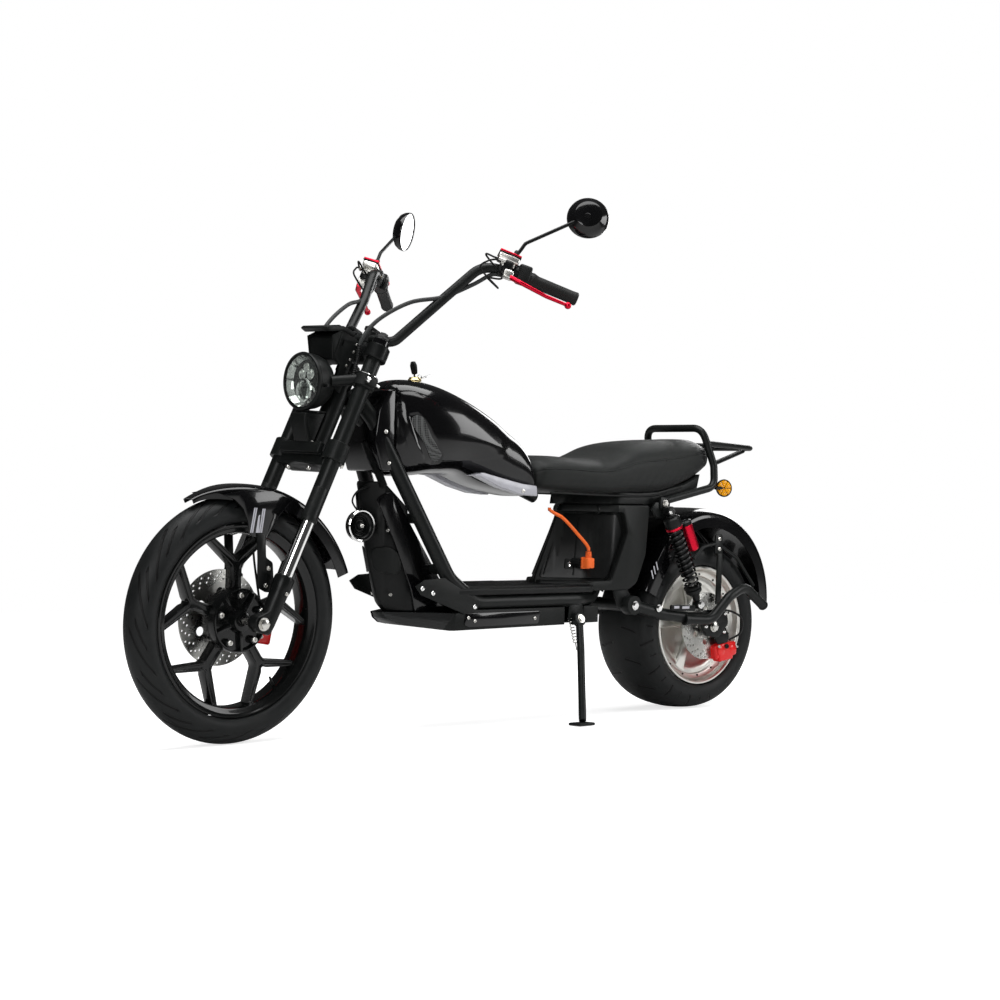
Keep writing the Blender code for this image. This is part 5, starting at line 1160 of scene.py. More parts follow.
def make_controls():
    for name, side in SIDES:
        hand = Hand(side)
        pod = [hand.block(0.001, 0.14, 0.004, (0.04, 0.034, 0.044), 0.006, Matrix.Rotation(0.06, 4, "X")),
            hand.block(-0.006, 0.158, 0.01, (0.026, 0.018, 0.026), 0.004),
            rod(hand.at(0, 0.118, 0), hand.at(0, 0.168, 0), 0.019, sides=40),
            hand.block(0.004, 0.188, -0.002, (0.04, 0.034, 0.034), 0.005)]
        if side < 0:
            pod += [hand.block(0.01, 0.146, 0.02, (0.026, 0.026, 0.018), 0.003),
                hand.block(-0.016, 0.15, -0.004, (0.018, 0.02, 0.03), 0.003)]
        piece(f"controls_{name}_pod", pod, STEERING, matte_shell, (f"controls_{name}",))
        switches = [hand.block(-0.0205, 0.134, 0.01, (0.006, 0.01, 0.008), 0.0015),
            hand.block(-0.0205, 0.146, 0.004, (0.006, 0.008, 0.01), 0.0015)]
        piece(f"controls_{name}_switches", switches, STEERING, red_metal if side < 0 else streak_grey,
            slot="red" if side < 0 else "silver")
        tank = [hand.block(0.022, 0.19, 0.017, (0.04, 0.054, 0.018), 0.005),
            hand.block(0.02, 0.188, 0.005, (0.026, 0.036, 0.014), 0.003)]
        piece(f"brake_cylinder_{name}", tank, STEERING, silver_cast, (f"controls_{name}",))
        lid = hand.block(0.022, 0.19, 0.029, (0.042, 0.056, 0.006), 0.0018)
        piece(f"brake_lid_{name}", lid, STEERING, red_metal)
        screws = merged(*[cap_screw(hand.at(0.022 + a, 0.19 + b, 0.0318), Z, 0.0028, 0.0016)
            for a in (-0.014, 0.014) for b in (-0.021, 0.021)])
        piece(f"brake_lid_{name}_screws", screws, STEERING, bright_steel)
        seal = hand.block(0.022, 0.19, 0.0255, (0.043, 0.057, 0.0016), 0.0006)
        piece(f"brake_seal_{name}", seal, STEERING, grip_rubber)


def make_mirrors():
    for name, side in SIDES:
        hand = Hand(side)
        foot = hand.at(0.018, 0.176, 0.0293)
        rise = foot + Vector((-0.006, side * 0.01, 0.046))
        centre = Vector((-0.254, side * 0.345, 1.252))
        facing = Vector((-0.72, -0.69, 0)) if side > 0 else Vector((-0.52, 0.85, 0.05)).normalized()
        elbow = foot.lerp(rise, 0.55)
        stem = pipe(bent([foot + Z * 0.006, elbow, rise, centre - facing * 0.012], 0.02, 8), 0.0045, 16)
        piece(f"mirror_{name}_stem", stem, STEERING, cast_black, (f"mirror_{name}",), 40,
            slot="gloss_black")
        nut = turned_along(foot, foot + Z, mm(2, 0, 0, 10.5, 0, 10.5, 6, 7, 8.5, 7, 18, 5, 21, 0, 21), 24)
        piece(f"mirror_{name}_nut", nut, STEERING, matte_shell)
        shell = turned_along(centre, centre + facing, mm(2, 0, -25, 16, -24.8, 30, -23.6, 34, -22.6, 34.5,
            -21.5, 45, -15, 51, -6, 53.2, 3, 53.2, 7.5, 52, 9, 50.5, 8.5, 50, 6, 0, 6), 72)
        neck = rod(centre - facing * 0.026 - Z * 0.01, centre - facing * 0.014 - Z * 0.004, 0.0085, 0.011,
            24)
        piece(f"mirror_{name}_shell", [shell, neck], STEERING, gloss_paint, (f"mirror_{name}",), 40)
        glass = turned_along(centre, centre + facing, mm(2, 0, 5.2, 49.8, 5.2, 49.8, 6.6, 30, 7.6, 0, 8),
            64)
        piece(f"mirror_{name}_glass", glass, STEERING, mirror_glass, smooth=40)


def make_looms():
    """Cable looms down from the bar, their ties, and the small hoses to the cylinders."""
    for name, side in SIDES:
        route = mirrored(LOOM_PATH, side)
        path = curve_through(route, 8)
        split = int(len(path) * 0.26)
        piece(f"loom_{name}", pipe(path[split - 2:], 0.0052, 18), STEERING, loom_grey)
        beads = []
        for k in range(14):
            place = path[int(k * split / 14)]
            ahead = path[min(int(k * split / 14) + 1, len(path) - 1)] - place
            if ahead.length < 0.0001:
                continue
            beads.append(turned_along(place, place + ahead,
                mm(2, 0, -2.2, 5.2, -1.8, 6.2, 0, 5.2, 1.8, 0, 2.2), 16))
        beads.append(pipe(path[:split], 0.0042, 14))
        piece(f"loom_{name}_conduit", beads, STEERING, cable_black)
        foot = path[0]
        plug = block(foot + Vector((0.001, side * 0.002, -0.01)), (0.009, 0.01, 0.022), 0.0015)
        piece(f"loom_{name}_connector", plug, STEERING, streak_grey)
        ties = []
        for k in range(4):
            place = Vector((-0.14 - 0.0055 * k, side * (0.233 + 0.0048 * k), 1.0415 + 0.0009 * k))
            outward = Vector((-0.054, side * 0.047, 0.012))
            ties.append(turned_along(place, place + outward,
                mm(2, 12.8, -1.4, 14.2, -1, 14.2, 1, 12.8, 1.4), 28))
        piece(f"loom_{name}_ties", ties, STEERING, brass)
        hand = Hand(side)
        start = Vector((-0.128, side * 0.214, 1.012))
        hoses = []
        for lift, reach in ((0.012, 0.226), (-0.026, 0.236)):
            hoses.append(pipe(curve_through([start, start + Vector((-0.018, side * 0.034, lift * 0.8)),
                hand.at(0.04, 0.246, lift - 0.012), hand.at(0.046, reach, lift * 0.4 - 0.004),
                hand.at(0.046, 0.212, 0.001)], 8), 0.0024, 12))
        piece(f"brake_hoses_{name}", hoses, STEERING, cable_black)


# Frame, tank and body

EYE = Vector((4.035, 3.844, 0.63))


def on_axis(s, p=0.0):
    """The point of the side view at s up the steering axis and p ahead of it."""
    return 1.4773 - s * 0.4258 + p * 0.9048, 0.2781 + s * 0.9048 + p * 0.4258


NECK = on_axis(0.64, -0.02)
TUBE_RADIUS = 0.019
DOWN_PATH = ((NECK[0], 0.018, NECK[1]), (1.139, 0.048, 0.774), (0.945, 0.115, 0.386), (0.86, 0.115, 0.325),
    (0.5, 0.115, 0.325), (0.41, 0.078, 0.325), (0.365, 0.078, 0.556), (0.15, 0.078, 0.556))
CROSS_TUBES = mm(4, 1020, 534, 80, 12.5, 956, 408, 105, 12.5, 800, 325, 115, 12.5, 560, 325, 115, 12.5, 430,
    561, 35, 11, 196, 558, 132.7, 14.5, 314, 305, 112.7, 16)
BACKBONE = ((NECK[0], 0, 0.8187), (1.06, 0, 0.7), (0.85, 0, 0.69), (0.69, 0, 0.64), (0.56, 0, 0.592))


def make_frame():
    tubes = []
    for _, side in SIDES:
        tubes.append(pipe(bent([(x, side * y, z) for x, y, z in DOWN_PATH], 0.075, 12), TUBE_RADIUS, 32))
        tubes.append(pipe([(0.355, side * 0.078, 0.561), (0.405, side * 0.078, 0.561)], 0.0125, 24))
    for x, z, half, radius in CROSS_TUBES:
        tubes.append(pipe([(x, -half, z), (x, half, z)], radius, 24))
    tubes.append(pipe(bent(BACKBONE, 0.08, 10), 0.016, 28))
    piece("frame_tubes", tubes, CHASSIS, satin_tube, ("main_frame",), 40)
    low, high = Vector((on_axis(0.456)[0], 0, on_axis(0.456)[1])), Vector((on_axis(0.696)[0], 0,
        on_axis(0.696)[1]))
    height = (high - low).length
    head = turned_along(low, high, [(0.019, 0), (0.028, 0), (0.0285, 0.004), (0.0285, 0.022),
        (0.026, 0.024), (0.026, height - 0.024), (0.0285, height - 0.022), (0.0285, height - 0.004),
        (0.028, height), (0.019, height)], 56)
    piece("head_tube", head, CHASSIS, satin_tube, ("main_frame",), 40)
    make_frame_brackets()


GUSSET = mm(2, 1066, 370, 1038, 385, 974, 389, 867, 332, 862, 314, 874, 300, 907, 298, 940, 309, 1048,
    348.5)


def make_frame_brackets():
    plates, screws = [], []
    for _, side in SIDES:
        plates.append(stood(slab(GUSSET, 0.004, 0.0009), side * 0.1353))
        for x, z in mm(2, 1046, 364, 1012, 352, 876, 315):
            screws.append(cap_screw((x, side * 0.1373, z), (0, side, 0), 0.0058, 0.0038))
    piece("gusset_plates", plates, CHASSIS, matte_shell, ("gusset_plate_left", "gusset_plate_right"), 30,
        slot="frame_black")
    brackets = []
    for _, side in SIDES:
        lug = mm(2, 296, 286, 350, 300, 372, 350, 352, 372, 318, 348, 294, 318)
        brackets.append(stood(slab(lug, 0.006, 0.0012), side * 0.116))
        ear = mm(2, 178, 552, 196, 538, 222, 542, 246, 566, 230, 584, 190, 584)
        brackets.append(stood(slab(ear, 0.006, 0.0012), side * 0.129))
        screws.append(hex_nut((0.314, side * 0.1455, 0.305), (0, side, 0), 0.0095, 0.007))
    piece("frame_ears", brackets, CHASSIS, satin_tube, ("main_frame",), 30)
    piece("frame_screws", screws, CHASSIS, chrome)
    stand_lug = stood(slab(mm(2, 492, 316, 486, 276, 500, 258, 528, 258, 542, 276, 538, 316), 0.005, 0.001),
        0.124)
    piece("stand_lug", stand_lug, CHASSIS, satin_tube, ("main_frame",), 30)


TANK_ROWS = mm(4, 647, 594, 640, 98, 660, 594, 692, 110, 686, 597, 739, 114, 740, 607, 777, 117, 784, 618,
    806, 119, 870, 645, 846, 121, 950, 646, 872, 121, 1020, 640, 881, 112, 1070, 640, 874, 94, 1088, 650,
    858, 74)
PANEL_TOP = mm(2, 763.4, 730.1, 844.5, 783.3, 917.3, 813.2, 979.7, 818, 1040.8, 810.6, 1084, 796)
PANEL_FOOT = mm(2, 754.5, 702.2, 830.1, 687.5, 897.4, 680, 950.3, 670, 990, 667, 1025, 672, 1050, 690, 1068,
    730, 1084, 790)
VENT = mm(2, 1064, 790, 1044, 794.5, 1027, 776, 1008, 738, 970, 693, 968, 676, 990, 674, 1015, 684, 1042,
    718, 1056, 752)


def smooth_step(low, high, value):
    t = min(max((value - low) / (high - low), 0.0), 1.0)
    return t * t * (3 - 2 * t)


def inside_loop(loop, x, z):
    """How far the point lies inside the loop, in metres; negative outside."""
    nearest, inside = 1.0, False
    for (ax, az), (bx, bz) in zip(loop, loop[1:] + loop[:1]):
        along = Vector((bx - ax, bz - az))
        reach = Vector((x - ax, z - az))
        t = min(max(reach.dot(along) / along.length_squared, 0.0), 1.0)
        nearest = min(nearest, (reach - along * t).length)
        if (az > z) != (bz > z) and x < (bx - ax) * (z - az) / (bz - az) + ax:
            inside = not inside
    return nearest if inside else -nearest


TANK_SQUARENESS = 2.6
SEAT_SQUARENESS = 3.2
BODY_SHARE = 0.94
CLOSING = 0.032


def along_rows(rows, u):
    """The x where u falls along rows of (x, low, high, half width), the row there, and its closing."""
    along = (u - 0.03) / BODY_SHARE
    x = rows[0][0] + (rows[-1][0] - rows[0][0]) * min(max(along, 0.0), 1.0)
    closing = 1.0 if 0 <= along <= 1 else max(0.0, 1 - max(-along, along - 1) / CLOSING) ** 0.5
    return x, *table_at(rows, x), closing


def squared(value, squareness):
    """A cosine or sine drawn out to a superellipse's."""
    return math.copysign(abs(value) ** (2 / squareness), value)


def half_at_lift(half, lift, squareness):
    """A superellipse's half width at a height of lift, from -1 to 1."""
    return half * (1 - abs(lift) ** squareness) ** (1 / squareness)


def tank_point(u, w):
    """The cover's surface: superellipse sections, a raised side panel and a sunk vent."""
    x, low, high, half, closing = along_rows(TANK_ROWS, u)
    y = squared(math.cos(math.tau * w), TANK_SQUARENESS) * half
    z = (low + high) / 2 + squared(math.sin(math.tau * w), TANK_SQUARENESS) * (high - low) / 2
    if abs(y) > half * 0.35 and 0.755 < x < 1.084:
        (top,), (foot,) = (table_at(PANEL_TOP, x), table_at(PANEL_FOOT, x))
        inside = min(top - z, z - foot)
        raised = smooth_step(-0.0035, 0.0015, inside) * smooth_step(0.755, 0.785, x)
        swell = smooth_step(0.0, 0.05, inside)
        y += math.copysign(0.0042 * raised - 0.0034 * (1 - swell) * raised, y)
        sunk = inside_loop(list(VENT), x, z)
        y -= math.copysign(0.0045 * smooth_step(-0.006, 0.004, sunk), y)
    middle = (low + high) / 2
    return Vector((x, y * closing, middle + (z - middle) * closing))


def make_tank():
    piece("tank_cover", skin(tank_point, 230, 220), CHASSIS, gloss_paint, ("tank",), 50)
    for name, side in SIDES:

        def mesh_point(u, w):
            x, z = vent_place(u, w)
            low, high, half = table_at(TANK_ROWS, x)
            lift = (z - (low + high) / 2) / ((high - low) / 2)
            y = half_at_lift(half, lift, TANK_SQUARENESS) + 0.0012
            return Vector((x, side * y, z))
        piece(f"tank_vent_{name}", thickened(skin(mesh_point, 60, 24), 0.0012), CHASSIS, vent_mesh,
            smooth=60)
    make_tank_trim()


def vent_place(u, w):
    """A point of the vent's oval, from its long axis u and its width w."""
    a, b = Vector((1.056, 0.788)), Vector((0.976, 0.678))
    along = b - a
    across = Vector((along.y, -along.x)).normalized()
    centre = a.lerp(b, u) + across * 0.004 * math.sin(math.pi * u)
    width = 0.0195 * max(1 - (2 * u - 1) ** 4, 0.0) ** 0.5
    place = centre + across * width * (2 * w - 1)
    return place.x, place.y


def make_tank_trim():
    strips, screws = [], []
    for _, side in SIDES:
        foot = mm(2, 872, 645.5, 848, 643.5, 776, 616.5, 707, 599.5, 649, 595, 652, 622, 703, 627, 775, 641,
            835, 653)
        strips.append(stood(slab(foot, 0.034, 0.003), side * 0.097))
        screws += [cap_screw((0.81, side * 0.06, 0.6455), (0, 0, -1), 0.0045, 0.004),
            cap_screw((0.7, side * 0.1135, 0.608), (0, side, 0), 0.0055, 0.003)]
    piece("tank_tail_panels", strips, CHASSIS, streak_grey)
    piece("tank_screws", screws, CHASSIS, bright_steel)
    cover = mm(2, 1089, 650, 1128, 650, 1152, 720, 1140, 800, 1112, 852, 1089, 852)
    body = stood(slab(cover, 0.148, 0.006, 4), 0)
    piece("neck_cover_shell", body, CHASSIS, gloss_paint, ("neck_cover",), 30)
    bolts = [cap_screw((1.121, s * 0.0745, 0.747), (0, s, 0), 0.0052, 0.0036) for _, s in SIDES]
    bolts += [cap_screw((1.11, s * 0.0745, 0.67), (0, s, 0), 0.0048, 0.0036) for _, s in SIDES]
    piece("neck_cover_screws", bolts, CHASSIS, bright_steel)


def make_key_switch():
    at = Vector((0.975, 0, 0.8793))
    barrel = turned_along(at, at + Z, mm(2, 0, 0, 17, 0, 17.5, 4, 15, 7, 13.5, 10.5, 0, 10.5), 40)
    piece("key_barrel", barrel, CHASSIS, brass, ("key_switch",))
    head = slab(mm(2, -7.5, 0, 7.5, 0, 10, 10, 11, 23, 6, 33, -6, 33, -11, 23, -10, 10), 0.0085, 0.0028, 3)
    turn = shift(at + Vector((0, 0, 0.018))) @ rotation(12,
        "Y") @ Matrix(((0, 0, 1, 0), (1, 0, 0, 0), (0, 1, 0, 0), (0, 0, 0, 1)))
    piece("key_head", moved(head, turn), CHASSIS, grip_rubber, ("key_switch",))
    blade = block(at + Vector((0, 0, 0.015)), (0.002, 0.008, 0.01), 0.0005)
    piece("key_blade", blade, CHASSIS, chrome)
    spare = merged(block((0.942, 0.004, 0.893), (0.03, 0.009, 0.0026), 0.0008, rotation(16, "Y")),
        moved(spun(mm(2, 6, -0.8, 7.5, -0.8, 7.5, 0.8, 6, 0.8), 28, ring=True),
        shift((0.962, 0.002, 0.89)) @ rotation(70, "X")))
    piece("spare_key", spare, CHASSIS, chrome)


def rounded(outline, radius, steps=6):
    """A closed outline with every corner rounded to an arc."""
    points = [Vector(p) for p in outline]
    path = []
    for before, corner, after in zip(points[-1:] + points[:-1], points, points[1:] + points[:1]):
        back, ahead = before - corner, after - corner
        reach = min(radius, 0.48 * back.length, 0.48 * ahead.length)
        first, last = corner + back.normalized() * reach, corner + ahead.normalized() * reach
        for k in range(steps + 1):
            t = k / steps
            path.append(tuple((1 - t) ** 2 * first + 2 * t * (1 - t) * corner + t * t * last))
    return path


# Front box, horn, fairing and deck

BOX_SIDE = mm(2, 1189, 605, 1184, 560, 1172, 500, 1160, 440, 1148, 395, 1126, 330, 1102, 300.3, 998, 300.3,
    998, 416, 1032.8, 508, 1032.8, 560, 1110, 625, 1165, 625)
BOX_STRIP = mm(2, 1138, 579, 1123, 592, 1088, 603, 925, 372, 905, 300.5, 1010, 300.5, 1023, 356, 1086, 493)
BOX_POCKET = mm(2, 1154, 457, 1095, 464, 1064, 451, 1050, 416, 1065, 394, 1140, 402)


def box_nose(bm):
    return drawn_in(bm, BOX_STARTS, 1.5)


def make_front_box():
    box = stood(slab(rounded(BOX_SIDE, 0.012, 4), 0.121, 0.005, 3), 0)
    piece("front_box_shell", box_nose(box), CHASSIS, cast_black, ("front_box",), 30, slot="gloss_black")
    strips = both_sides(0.0635, rounded(BOX_STRIP, 0.008, 4), 0.006, 0.0022, 3)
    piece("front_box_strips", box_nose(merged(*strips)), CHASSIS, gloss_paint, smooth=30)
    pockets = both_sides(0.0605, rounded(BOX_POCKET, 0.02, 6), 0.006, 0.0026, 3)
    piece("front_box_pockets", box_nose(merged(*pockets)), CHASSIS, matte_shell, smooth=30)
    screws = side_screws(0.0605, mm(2, 1105, 536, 1085, 344, 1098, 505), 0.0042, 0.0034)
    piece("front_box_screws", box_nose(merged(*screws)), CHASSIS, bright_steel)
    duct = []
    path = curve_through(mm(3, 1150, 30, 720, 1140, 45, 680, 1125, 54, 645, 1112, 60, 612), 16)
    for place, ahead in zip(path, path[1:]):
        duct.append(turned_along(place, ahead, mm(2, 0, -1.1, 9.2, -1.1, 10.6, 0, 9.2, 1.1, 0, 1.1), 20))
    piece("wiring_duct", duct, CHASSIS, cable_black)
    make_horn()


def make_horn():
    at = Vector((1.171, 0.043, 0.5155))
    place = MACHINE @ shift(at) @ ACROSS
    can = spun(mm(2, 0, -12, 30, -12, 37, -8, 38.5, 2, 38.5, 9, 34, 11, 33, 6, 29, 2, 20, 0, 12, 1, 10, 7,
        8.5, 9, 0, 9), 64)
    rings = [spun([(radius - 0.0012, 0.001), (radius, 0.004), (radius + 0.0012, 0.001)], 56, ring=True)
        for radius in (0.0165, 0.021, 0.0255)]
    piece("horn_can", [can, *rings], (place, "chassis"), cast_black, ("horn",))
    rim = spun(mm(2, 33.5, 8, 35, 11.5, 37.5, 12.5, 39.8, 10, 40, 4, 38.5, 3, 38, 8), 64, ring=True)
    piece("horn_rim", rim, (place, "chassis"), chrome, smooth=40)
    piece("horn_screw", cap_screw((0, 0, 0.0085), Z, 0.0052, 0.0034), (place, "chassis"), bright_steel)
    holder = block((1.14, 0.024, 0.5155), (0.05, 0.02, 0.016), 0.003)
    piece("horn_holder", holder, CHASSIS, cast_black, smooth=30)
    wire = pipe(curve_through(mm(3, 1165, 30, 548, 1185, 30, 575, 1168, 28, 600, 1135, 28, 612), 8), 0.0022,
        12)
    piece("horn_wire", wire, CHASSIS, cable_black)


PLATE_FRONT = mm(2, 900, 299, 906, 270, 890, 264, 655, 266, 650, 299)


def belly_nose(bm):
    return narrowed(bm, 0.935, 1.083, 0.17)


def make_fairing():
    refined("lower_fairing", matte_shell, 0.003, belly_nose)
    plates = both_sides(0.133, rounded(PLATE_FRONT, 0.006, 4), 0.003, 0.001)
    piece("fairing_plates", plates, CHASSIS, gloss_paint, smooth=30)
    belly = mm(2, 1083, 300, 1070, 284, 1030, 268, 960, 257.5, 935, 300)
    weave = both_sides(0.1325, rounded(belly, 0.004, 3), 0.003, 0.001)
    piece("belly_panels", belly_nose(merged(*weave)), CHASSIS, woven_shell, smooth=30)
    screws = side_screws(0.1345, ((0.9053 - 0.012, 0.2876), (0.872, 0.2794), (0.6684, 0.2805)), 0.0045,
        0.0032)
    piece("fairing_screws", screws, CHASSIS, bright_steel)


DECK_TOP = 0.3613


def make_deck():
    board = block((0.696, 0, DECK_TOP - 0.009), (0.467, 0.2755, 0.018), 0.0055, segments=4)
    ribs = [block((0.7, -0.096 + 0.024 * k, DECK_TOP + 0.0004), (0.43, 0.011, 0.0048), 0.0021)
        for k in range(9)]
    rails = [block((0.755, s * 0.1215, DECK_TOP + 0.0002), (0.33, 0.012, 0.003), 0.0012) for _, s in SIDES]
    edges = [pipe([(0.468, s * 0.1365, DECK_TOP - 0.005), (0.926, s * 0.1365, DECK_TOP - 0.005)], 0.0015,
        12) for _, s in SIDES]
    piece("footboard_mat", [board, *ribs, *rails, *edges], CHASSIS, deck_rubber, ("footboard",))


# Body, seat, hoop and rack

BODY_SIDE = ((0.648, DECK_TOP + 0.0003), (0.652, DECK_TOP + 0.0143), (0.572, 0.575), (0.246, 0.575),
    (0.258, 0.44), (0.29, 0.365), (0.32, 0.3465), (0.4595, 0.3465), (0.4595, DECK_TOP + 0.0003))
BODY_WALL = ((0.58, 0.556), (0.572, 0.575), (0.246, 0.575), (0.258, 0.44), (0.29, 0.365), (0.32, 0.3465),
    (0.4595, 0.3465), (0.4595, DECK_TOP + 0.0003), (0.648, DECK_TOP + 0.0003), (0.647, 0.372),
    (0.386, 0.372), (0.328, 0.5), (0.344, 0.556))
CASE_SIDE = mm(2, 640, 378, 580, 550, 358, 550, 340, 500, 392, 380)
BODY_STARTS = ((0.3, 0.4987), (0.62, 0.3435))
BOX_STARTS = mm(2, 300, 1020, 324, 1044, 395, 1066, 440, 1078, 500, 1090, 560, 1102, 640, 1106)


def body_nose(bm):
    return drawn_in(bm, BODY_STARTS, 1.25)


def make_body():
    inner = stood(slab(rounded(BODY_SIDE, 0.01, 4), 0.218), 0)
    walls = [stood(plate([rounded(BODY_WALL, 0.01, 5)], 0.018, 0.0048), s * 0.118) for _, s in SIDES]
    piece("rear_body_shell", body_nose(merged(inner, *walls)), CHASSIS, matte_shell, ("rear_body",), 30)
    cases, ribs = [], []
    for _, s in SIDES:
        cases.append(stood(plate([rounded(CASE_SIDE, 0.014, 6)], 0.006, 0.0022), s * 0.111))
        ribs.append(stood(slab(mm(2, 516, 386, 519.5, 386, 504, 542, 500.5, 542), 0.004, 0.0012),
            s * 0.1148))
        ribs.append(stood(slab(mm(2, 622, 386, 626, 386, 572, 542, 568, 542), 0.004, 0.0012), s * 0.1148))
    piece("battery_case_face", body_nose(merged(*cases, *ribs)), CHASSIS, cast_black, smooth=30,
        slot="gloss_black")
    lock = stood(slab(rounded(mm(2, 522, 403, 551, 403, 548, 429, 519, 429), 0.003, 3), 0.005, 0.0012),
        0.115)
    piece("lock_plate", body_nose(lock), CHASSIS, matte_shell, smooth=30)
    barrel = turned_along((0.535, 0.116, 0.4155), (0.535, 1.116, 0.4155),
        mm(2, 0, 0, 6.5, 0, 6.5, 3, 5, 3.8, 0, 3.8), 28)
    piece("lock_barrel", body_nose(barrel), CHASSIS, chrome)
    socket = moved(spun(mm(2, 0, -34, 11, -34, 12.5, 3, 12.5, 5, 11, 6, 10.5, 2, 0, 1), 48),
        shift((0.482, 0.11, 0.421)) @ ACROSS)
    piece("charge_socket", socket, CHASSIS, cable_black, ("charge_port",))
    pack = bmesh.new()
    pack.from_mesh(nodes["battery_pack"].data)
    pack = body_nose(moved(pack, MACHINE.inverted() @ nodes["battery_pack"].matrix_world))
    piece("battery_block", pack, CHASSIS, cast_black, ("battery_pack",), 30, slot="matte_black")


def make_plug():
    body = [block((0.482, 0.1346, 0.421), (0.025, 0.024, 0.027), 0.0035, segments=4),
        block((0.482, 0.124, 0.421), (0.029, 0.007, 0.031), 0.0018),
        rod((0.482, 0.1346, 0.433), (0.482, 0.1346, 0.45), 0.0085, 0.0062, 28)]
    for k in range(5):
        z = 0.436 + 0.0034 * k
        body.append(turned_along((0.482, 0.1346, z), (0.482, 0.1346, z + 1),
            [(0, 0), (0.0092 - 0.0004 * k, 0), (0.0096 - 0.0004 * k, 0.0009), (0.0092 - 0.0004 * k, 0.0018),
            (0, 0.0018)], 28))
    return piece("charge_plug_moulding", body, CHASSIS, orange_jacket, ("charge_plug",))


SEAT_ROWS = mm(4, 642, 616, 682, 96, 622, 608, 698, 112, 560, 604, 703, 124, 460, 602, 698, 136, 410, 600,
    701, 140, 360, 600, 718, 143, 315, 600, 736, 143, 260, 600, 748, 141, 180, 606, 756, 136, 100, 628, 760,
    126, 30, 654, 762, 112, -12, 676, 750, 96)
SEAM_LEVEL = 0.3


def seat_point(u, w):
    """The cushion: rounded-square sections, a crowned top, and a piped fold along each side."""
    x, low, high, half, closing = along_rows(SEAT_ROWS, u)
    y = squared(math.cos(math.tau * w), SEAT_SQUARENESS) * half
    lift = squared(math.sin(math.tau * w), SEAT_SQUARENESS)
    rise = (high - low) / 2
    z = (low + high) / 2 + lift * rise
    shoulder = abs(y) / half
    z -= 0.006 * smooth_step(0.55, 1.0, shoulder) * max(lift, 0.0)
    fold = math.exp(-((lift - SEAM_LEVEL) / 0.05) ** 2) * smooth_step(0.8, 0.95, shoulder)
    y -= math.copysign(0.0018 * fold, y)
    wrinkle = 0.0003 * math.sin(x * 95 + lift * 5) * smooth_step(0.86, 0.98, shoulder)
    y += math.copysign(wrinkle, y)
    middle = (low + high) / 2
    return Vector((x, y * closing, middle + (z - middle) * closing))


def make_seat():
    cushion = piece("seat_cushion", skin(seat_point, 150, 120), CHASSIS, seat_vinyl, ("seat",), 70)
    seams = []
    for _, side in SIDES:
        path = []
        for k in range(41):
            x = 0.622 - 0.622 * k / 40
            low, high, half = table_at(SEAT_ROWS, x)
            y = half_at_lift(half, SEAM_LEVEL, SEAT_SQUARENESS) - 0.0012
            path.append((x, side * y, (low + high) / 2 + SEAM_LEVEL * (high - low) / 2))
        seams.append(pipe(path, 0.0014, 8))
        panel = []
        for k in range(25):
            t = k / 24
            x = 0.262 - 0.12 * t ** 1.4
            low, high, half = table_at(SEAT_ROWS, x)
            lift = -0.86 + 1.72 * t
            y = half_at_lift(half, lift, SEAT_SQUARENESS) - 0.0004
            z = (low + high) / 2 + lift * (high - low) / 2 - 0.006 * smooth_step(0.55, 1.0,
                y / half) * max(lift, 0)
            panel.append((x, side * y, z))
        seams.append(pipe(panel, 0.0009, 8))
    stitched = piece("seat_seams", seams, CHASSIS, seat_vinyl)
    refined("seat_base", satin_tube, 0.004, body_nose)
    trim = [pipe(curve_through([(0.6, s * 0.11, 0.605), (0.56, s * 0.1125, 0.605),
        (0.45, s * 0.1135, 0.602), (0.29, s * 0.1135, 0.6), (0.2, s * 0.1125, 0.605),
        (0.105, s * 0.108, 0.626)], 6), 0.003, 12) for _, s in SIDES]
    piece("seat_lower_trim", trim, CHASSIS, matte_shell)


HOOP_PATH = mm(3, 196, 126, 587, 4, 139, 630, -6, 126, 690, 26, 108, 794)
RACK_UPPER = ((0.01, 0.112, 0.752), (-0.215, 0.085, 0.744))
RACK_LOWER = ((-0.004, 0.124, 0.694), (-0.2, 0.06, 0.736))


